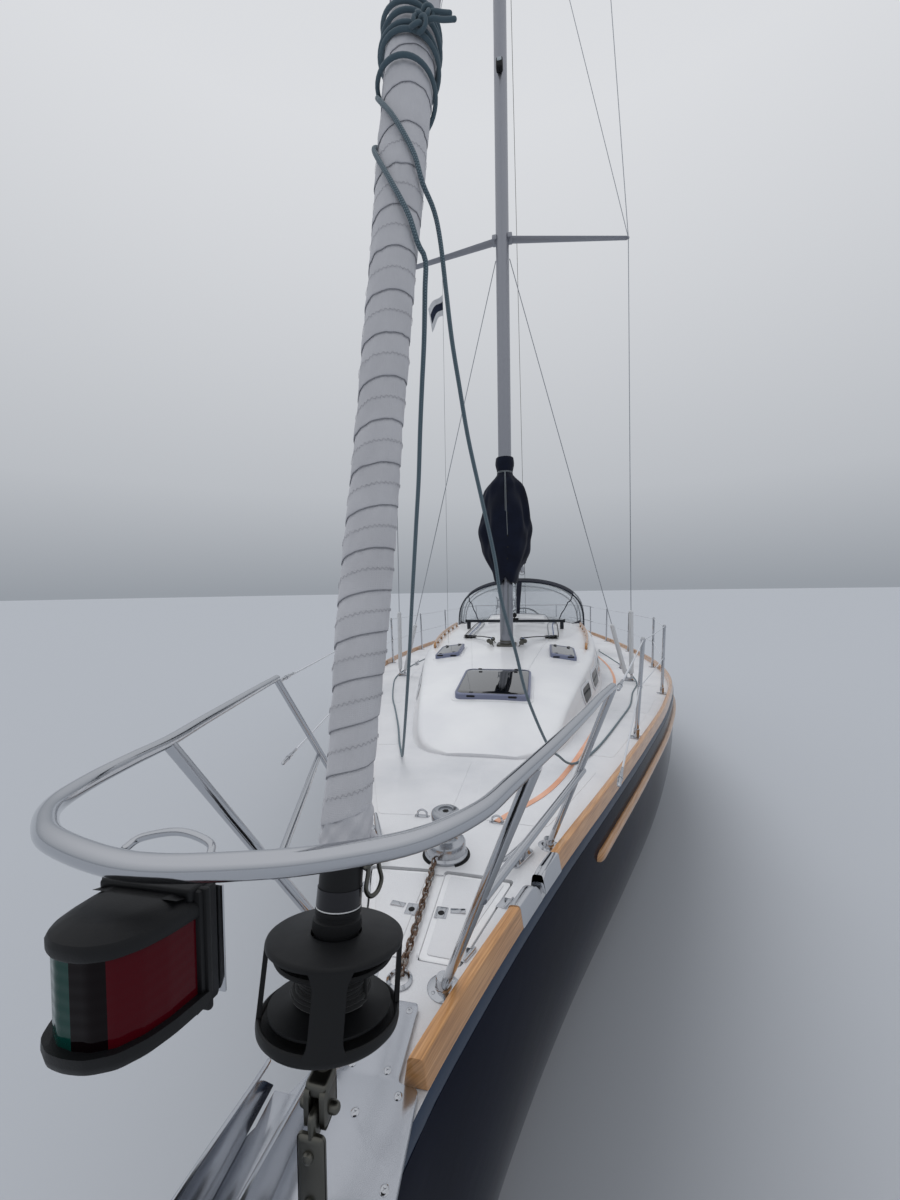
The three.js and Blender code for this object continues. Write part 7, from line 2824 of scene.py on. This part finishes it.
def make_keel():
    read = curve_through([list(row) for row in sorted(KEEL_ROWS)])
    rings = []
    for z in np.concatenate([[-1880, -1874, -1862], np.linspace(-1845, -420, 46)]):
        start, end, half = read(z)
        if z < -1850:
            k = math.sqrt(max(0, 1 - ((z + 1850) / 30) ** 2)) * 0.25 + 0.75
            mid = (start + end) / 2
            start, end, half = mid + (start - mid) * (
                0.97 + 0.03 * k
            ), mid + (end - mid) * (0.97 + 0.03 * k), half * k
        rings.append(foil_ring(z, start, end, half))
    piece("keel", loft(rings), IRON_PAINT, replaces="keel", slot="cast_iron", angle=50)


RUDDER_STOCK = 4230


def make_rudder():
    rows = [[-1480, 4140, 4500, 22], [-900, 4110, 4580, 34], [-245, 4100, 4650, 42]]
    read = curve_through(rows)
    rings = []
    for z in np.concatenate([[-1480, -1476, -1466, -1450], np.linspace(-1420, -245, 36)]):
        start, end, half = read(z)
        if z < -1450:
            k = math.sqrt(max(0.0, 1 - ((z + 1450) / 31) ** 2))
            start, end, half = start + 14 * (1 - k), end - 60 * (1 - k), half * (0.3 + 0.7 * k)
        rings.append(foil_ring(z, start, end, half))
    stock = rod((0, RUDDER_STOCK, -500), (0, RUDDER_STOCK, 120), 30, sides=32)
    piece("rudder", together(loft(rings), stock), BOTTOM_PAINT, body="rudder", replaces="rudder", angle=50)
    collar = lathe(
        [(31, -6), (40, -6), (44, 0), (40, 6), (31, 6), (31, -6)], (0, RUDDER_STOCK, -236), sides=32
    )
    piece("rudder_collar", collar, BRONZE, body="rudder", slot="bronze")


def shaft_at(y):
    return np.array((0, y, -680 - 0.15 * (y - 2950)))


def make_propeller():
    way = unit(shaft_at(3000) - shaft_at(2000))
    hub = [
        (0, -1), (42, -1), (44, 4), (42, 20), (36, 100), (30, 128), (28, 131), (28, 140), (24, 160),
        (12, 180), (8, 181), (0, 181)
    ]
    parts = [lathe([(r * 0.96, h) for r, h in hub], shaft_at(2880), way, 40)]
    shaft = rod(shaft_at(2030), shaft_at(2950), 16, sides=24)
    anode = lathe([(17, -26), (30, -22), (34, 0), (30, 22), (17, 26), (17, -26)], shaft_at(2560), way, 28)
    across = np.array((1.0, 0, 0))
    up = np.cross(way, across)
    for k in range(3):
        a = 2 * math.pi * k / 3 + 0.5
        radial = math.cos(a) * across + math.sin(a) * up
        tangent = np.cross(way, radial)
        rings = []
        for t in np.linspace(0, 1, 16):
            r = 30 + 168 * t
            pitch = math.atan2(250, 2 * math.pi * r)
            chord = 62 + 92 * math.sin(math.pi * min(1, t * 0.8 + 0.12))
            if t > 0.75:
                chord *= math.sqrt(max(0.03, 1 - ((t - 0.75) / 0.26) ** 2))
            cd = math.cos(pitch) * tangent + math.sin(pitch) * way
            cn = np.cross(radial, cd)
            centre = shaft_at(2942) + radial * r
            thick = 6.5 * (1 - t) + 1.6
            ring = []
            for s in full_turn(20):
                c = math.cos(s)
                ring.append(
                    centre + cd * chord / 2 * c * 0.86 + cn * (
                        thick * math.sin(s) * (1 - 0.5 * c * c) + 7 * (1 - c * c) * t
                    )
                )
            rings.append(ring)
        parts.append(loft(rings))
    piece(
        "propeller", together(*parts), BRONZE, body="propeller", replaces="propeller", slot="bronze",
        angle=45
    )
    piece("propeller_shaft", shaft, STAINLESS, body="propeller", slot="stainless")
    piece("shaft_anode", anode, GALVANISED, body="propeller")


def make_strut():
    way = unit(shaft_at(3000) - shaft_at(2000))
    barrel = lathe([
        (17, -80), (32, -80), (36, -74), (36, 74), (32, 80), (17, 80), (17, -80)
    ], shaft_at(2780), way, 40)
    rings = []
    for z in np.linspace(-690, -300, 16):
        t = min(max((z + 760) / 460, 0), 1)
        start, end, half = 2725 - 20 * t, 2835 + 20 * t, 12 + 4 * t
        rings.append(foil_ring(z, start, end, half))
    piece(
        "shaft_strut", together(loft(rings), barrel), BRONZE, replaces="shaft_strut", slot="bronze",
        angle=50
    )


make_keel()
make_rudder()
make_propeller()
make_strut()
refined("engine", "engine", ENGINE_PAINT, bevel=18, segments=3)


# What stands round the mast's foot and lies on the roof and the side decks
def deck_block(at, turn=0.0, radius=21, high=26, sheaves=1):
    """Low turning block: a base, side cheeks and sheaves with upright axles."""
    parts = [block(
        (-radius - 5, radius + 5), (-radius * sheaves * 0.9 - 5, radius * sheaves * 0.9 + 5), (0.4, 5), 2
    )]
    for i in range(sheaves):
        y = (i - (sheaves - 1) / 2) * radius * 1.75
        parts.append(lathe([
            (0, 5), (radius * 0.95, 5), (radius * 0.6, high / 2), (radius * 0.95, high - 5), (0, high - 5)
        ], (0, y, 0), sides=24))
        parts.append(lathe([
            (0, high - 4), (radius * 0.5, high - 4), (radius * 0.4, high + 1), (0, high + 2)
        ], (0, y, 0), sides=16))
    parts.append(block(
        (-radius * 0.7, radius * 0.7), (-radius * sheaves * 0.9, radius * sheaves * 0.9),
        (high - 6, high - 2), 1.5
    ))
    return moved(together(*parts), at, turn)


# Route of the lines over the roof: x, its step from line to line, y, its step, and height above the roof
LINE_ROUTE = [
    (132, 14, -1470, 26, 62), (262, 20, -1210, 14, 42), (398, 40, -975, 14, 22), (412, 52, -800, 0, 18),
    (424, 60, 250, 0, 13), (502, 18, 520, 0, 16), (502, 18, 690, 0, 16), (490, 20, 1010, 0, 12),
]


def make_roof_gear():
    on_roof = lambda x, y, lift=0.0: (x, y, roof_height(x, y) + lift)
    steel, alloy, lines = [], [], {"white": [], "blue": [], "dark": []}
    for s in (-1, 1):
        alloy.append(deck_block(on_roof(s * 434, -948), 90 + s * 14, 25, 32, 3))
        for k, (x, y) in enumerate(((118, -1560), (150, -1480), (118, -1390))):
            base = np.array(on_roof(s * x, y, 4))
            way = np.array((s * 0.55, 0.1, 0.8))
            steel.append(aimed(block_sheave((0, 0, 44), 21, 18, (0, 1, 0)), base, unit(way)))
            steel.append(rod(base - (0, 0, 3), base + way * 30, 5, sides=10))
        # Halyards and reefing lines: mast, block, organiser, clutch, and aft under the hood
        for k, kind in enumerate(("white", "blue", "dark")):
            path = [on_roof(s * (x + dx * k), y + dy * k, lift) for x, dx, y, dy, lift in LINE_ROUTE]
            lines[kind].append(tube(smooth_path(path, 90), 5, 10, True))
        for k in range(3):
            x = s * (502 + 18 * k)
            alloy.append(block(
                (x - 8, x + 8), (600, 700), (roof_height(x, 650) + 1, roof_height(x, 650) + 26), 5
            ))
            alloy.append(tube([
                on_roof(x, 690, 28), on_roof(x, 640, 33), on_roof(x, 585, 31)
            ], (6, 5, 5), 12, True))
    piece("organisers", together(*alloy), BLACK_PLASTIC, slot="black_plastic")
    piece("mast_foot_blocks", together(*steel), WORN_STAINLESS, slot="stainless")
    for kind, material in (("white", WHITE_ROPE), ("blue", BLUE_ROPE), ("dark", DARK_ROPE)):
        piece(f"deck_lines_{kind}", together(*lines[kind]), material, slot="rope", angle=80)
    # Halyard tails down the mast's front and side
    falls = []
    for x, back in ((-34, -5), (30, -5), (-52, 90)):
        heights = np.linspace(1760, 2235, 6)
        falls.append(tube([(x, mast_y(z) - MAST["deep"] / 2 + back, z) for z in heights], 4, 8, True))
    piece("mast_falls", together(*falls), WHITE_ROPE, slot="rope")
    horn = moved(cleat(120, 30, 6), turn=90)
    points = np.column_stack([horn[0][:, 2] + MAST["wide"] / 2 - 3, horn[0][:, 0], horn[0][:, 1]])
    side_cleat = (points + np.array((0, mast_y(2060), 2060)), horn[1])
    piece("mast_cleats", both(side_cleat), ALLOY)


def make_roof_panel():
    outline = [(-208, -2392), (208, -2392), (402, -1100), (410, -1020), (-410, -1020), (-402, -1100)]
    panel = draped(rounded(outline, 24, 6), roof_height, 5, 4, 90, 3)
    made = piece("roof_panel", panel, WHITE_GELCOAT, body=None, slot="gelcoat_white")
    step = rounded(rectangle(96, 124, (0, MAST["y"])), 50, 8)
    cut(made, plate(step, 1500, 1800))
    settle(made, 40)
    # Raised mounts that the hatch frames bed on
    beds = []
    for hatch in HATCHES:
        x, y, half, reach = hatch["x"], hatch["y"], hatch["half"], hatch["reach"]
        outer = rounded(rectangle(half + 22, reach + 20, (x, y)), 60 if half > 200 else 40, 8)
        beds.append((outer, rounded(rectangle(half - HATCH_RIM, reach - HATCH_RIM, (x, y)), 30, 8)))
    for i, (outer, inner) in enumerate(beds):
        bed = piece(f"hatch_bed_{i}", draped(outer, roof_height, 5, 4, 90, 3), WHITE_GELCOAT, body=None)
        cut(bed, plate(inner, 1300, 1900))
        settle(bed, 40)


def flat_line(points, wide, thick, height, lift):
    """A flat webbing that lies on the deck."""
    path = smooth_path([(x, y, 0) for x, y in points], 160)
    way = np.gradient(path[:, :2], axis=0)
    way = units(way)
    rings = []
    for (x, y, _), (ax, ay) in zip(path, way):
        side = np.array((ay, -ax))
        ring = []
        for a, h in ((-0.5, 0), (0.5, 0), (0.5, thick), (-0.5, thick)):
            px, py = np.array((x, y)) + side * wide * a
            ring.append((px, py, height(px, py) + lift + h))
        rings.append(ring)
    return loft(rings)


def make_jacklines():
    runs = [(147, -4185), (401, -3721), (723, -2600), (950, -1617), (1080, -900), (1140, 0), (1120, 1200)]
    piece("jackline", flat_line(runs, 24, 2.2, deck_height, 1.8), WEBBING)
    eyes = []
    for x, y in (runs[0], runs[-1]):
        z = deck_height(x, y)
        eyes.append(tube(smooth_path([
            (x - 20, y, z + 1), (x - 16, y, z + 18), (x, y, z + 26), (x + 16, y, z + 18), (x + 20, y, z + 1)
        ], 24), 4, 10, True))
        eyes.append(pad(30, 12, (8, 5), (0.3, 1.7), 0.6, (x, y, z)))
    pair("deck_eyes", together(*eyes), STAINLESS, slot="stainless")


def make_flag():
    """A small two-coloured courtesy flag on a thin halyard under the starboard spreader."""
    top, high, long = np.array((-656, -1100, 5330.0)), 210, 300
    rows = []
    for i in range(15):
        u = i / 14
        ring = []
        for j in range(11):
            v = j / 10
            drop = high * v + 120 * u * u * (0.6 + 0.4 * v) + 30 * u
            ring.append(top + np.array((
                -6 - long * u * 0.55 * (1 - 0.25 * v), 16 * math.sin(u * 7 + v * 2) + 30 * u, -drop
            )))
        rows.append(ring)
    made = piece(
        "courtesy_flag", loft(rows, closed=False, caps=False), FLAG_WHITE, body=None, angle=60,
        slot="sailcloth"
    )
    made.data.materials.append(FLAG_BLUE)
    for face in made.data.polygons:
        row, column = divmod(face.index, 10)
        if 3 <= column <= 6 and row < 13:
            face.material_index = 1
    thicken(made, 0.8, 0)
    settle(made, 60)
    halyard = rod((-656, -1100, 1420), (-656, -1105, 5600), 1.6, sides=6)
    piece("flag_halyard", halyard, WHITE_ROPE)


make_roof_gear()
make_roof_panel()
make_jacklines()
make_flag()


# Tack of the headsail: webbing gathered over the furler's torque tube, and its shackle
def make_tack():
    rows = []
    for up in np.linspace(404, 470, 16):
        ring = []
        for a in full_turn(60):
            side = math.cos(a - 0.5)
            bulge = 6 * max(0, side) * math.sin(math.pi * (up - 400) / 80)
            fold = 2.0 * math.sin(a * 5 + up / 9) + 1.5 * math.sin(a * 9 - up / 6)
            ring.append(up_stay(up, 37 + bulge + fold, a))
        rows.append(ring)
    piece("tack_webbing", loft(rows), SAILCLOTH, body="furler", slot="sailcloth", angle=60)
    at = np.array(up_stay(352, 52, 0.35))
    bow = smooth_path([
        (-9, 0, 30), (-11, 0, 14), (-15, 0, -6), (-9, 0, -20), (0, 0, -24), (9, 0, -20), (15, 0, -6),
        (11, 0, 14), (9, 0, 30)
    ], 50)
    bow = tube([at + np.array((p[0] * 0.5, p[0], p[2])) for p in bow], 3.6, 12, True)
    pin = rod(at + (-8, -16, 30), at + (8, 16, 30), 4.2, sides=12, round_ends=True)
    loop = tube(smooth_path([
        up_stay(372, 40, 0.35), up_stay(390, 50, 0.35), at + (2, 0, 36), up_stay(400, 58, 0.35),
        up_stay(420, 42, 0.35)
    ], 24), 7, 10, True)
    piece("tack_shackle", together(bow, pin), WORN_STAINLESS, body="furler", slot="stainless")
    piece("tack_loop", loop, SAILCLOTH, body="furler", slot="sailcloth")


make_tack()


# The white web between the locker lids, under the chain
def make_locker_web():
    ys = np.linspace(LOCKER["front"] - 2, LOCKER["back"] + 2, 8)
    rings = [[
        (x, y, deck_height(0, y) + z)
        for x, z in ((-17, -70), (17, -70), (17, -7), (14, -5), (-14, -5), (-17, -7))
    ] for y in ys]
    piece("locker_web", loft(rings), WHITE_GELCOAT)


make_locker_web()


# On the transom: exhaust outlet and bilge outlets
def make_transom_fittings():
    slope = TRANSOM["slope"]
    out = np.array((0, 1, slope)) / math.hypot(1, slope)
    on = lambda x, z: np.array((x, on_transom(z), z))
    flanges, holes = [], []
    for x, z, radius in ((-430, 345, 42), (350, 690, 17), (430, 690, 17)):
        flange = [
            (radius + 14, -4), (radius + 14, 3), (radius + 10, 6), (radius + 2, 7), (radius, 4),
            (radius, -4), (radius + 14, -4)
        ]
        flanges.append(lathe(flange, on(x, z), out, 40))
        holes.append(lathe([(radius, -3), (radius, 1.5), (0, 1.5)], on(x, z), out, 32))
    piece("transom_outlets", together(*flanges), STAINLESS, slot="stainless")
    # The outlets' throats are flat black discs: painted shade inside the pipes
    piece("transom_outlet_throats", together(*holes), RUBBER_AND_HOLE_SHADE)


make_transom_fittings()


# Floor at the waterline, light and finish
def water_outline():
    ys = np.linspace(-4990, 5300, 60)
    half = [(hull_half(y, 0) - 4, y) for y in ys if hull_half(y, 0) > 6]
    return half + [(-x, y) for x, y in reversed(half)]


def make_stage():
    outline = [(x, y, 0) for x, y in water_outline()]
    ways = [math.atan2(y, x * 3) for x, y, _ in outline]
    outer = [(300000 * math.cos(a), 300000 * math.sin(a), 0) for a in ways]
    count = len(outline)
    faces = [(i, (i + 1) % count, count + (i + 1) % count, count + i) for i in range(count)]
    pale = finish("pale_floor", 0xB2B6BC, 0.9)[0]
    floor = piece("floor", (np.vstack([outline, outer]), faces), pale, body=None)
    scene = bpy.context.scene
    world = bpy.data.worlds.new("studio")
    scene.world = world
    world.use_nodes = True
    tree = world.node_tree
    # Soft studio light: bright overhead, dimmer at the horizon, so that polished metal has contrast
    way = node(
        tree, "ShaderNodeSeparateXYZ", {"Vector": node(tree, "ShaderNodeTexCoord").outputs["Generated"]}
    )
    ramp = node(tree, "ShaderNodeValToRGB", {"Fac": way.outputs["Z"]})
    ramp.color_ramp.elements.new(0.3)
    for band, colour, stop in zip(ramp.color_ramp.elements, (0xA8AEB6, 0xCFD3D9, 0xF4F6FA), (0.0, 0.2, 0.7)):
        band.position, band.color = stop, linear(colour)
    tree.links.new(ramp.outputs["Color"], tree.nodes["Background"].inputs["Color"])
    tree.nodes["Background"].inputs["Strength"].default_value = 0.78
    lamp = bpy.data.objects.new("key_light", bpy.data.lights.new("key_light", "SUN"))
    lamp.data.energy, lamp.data.angle = 1.1, 0.7
    lamp.visible_glossy = False
    lamp.rotation_euler = Vector((0.3, -0.5, -1)).to_track_quat("-Z", "Y").to_euler()
    scene.collection.objects.link(lamp)
    scene.view_settings.view_transform = "Standard"


make_stage()
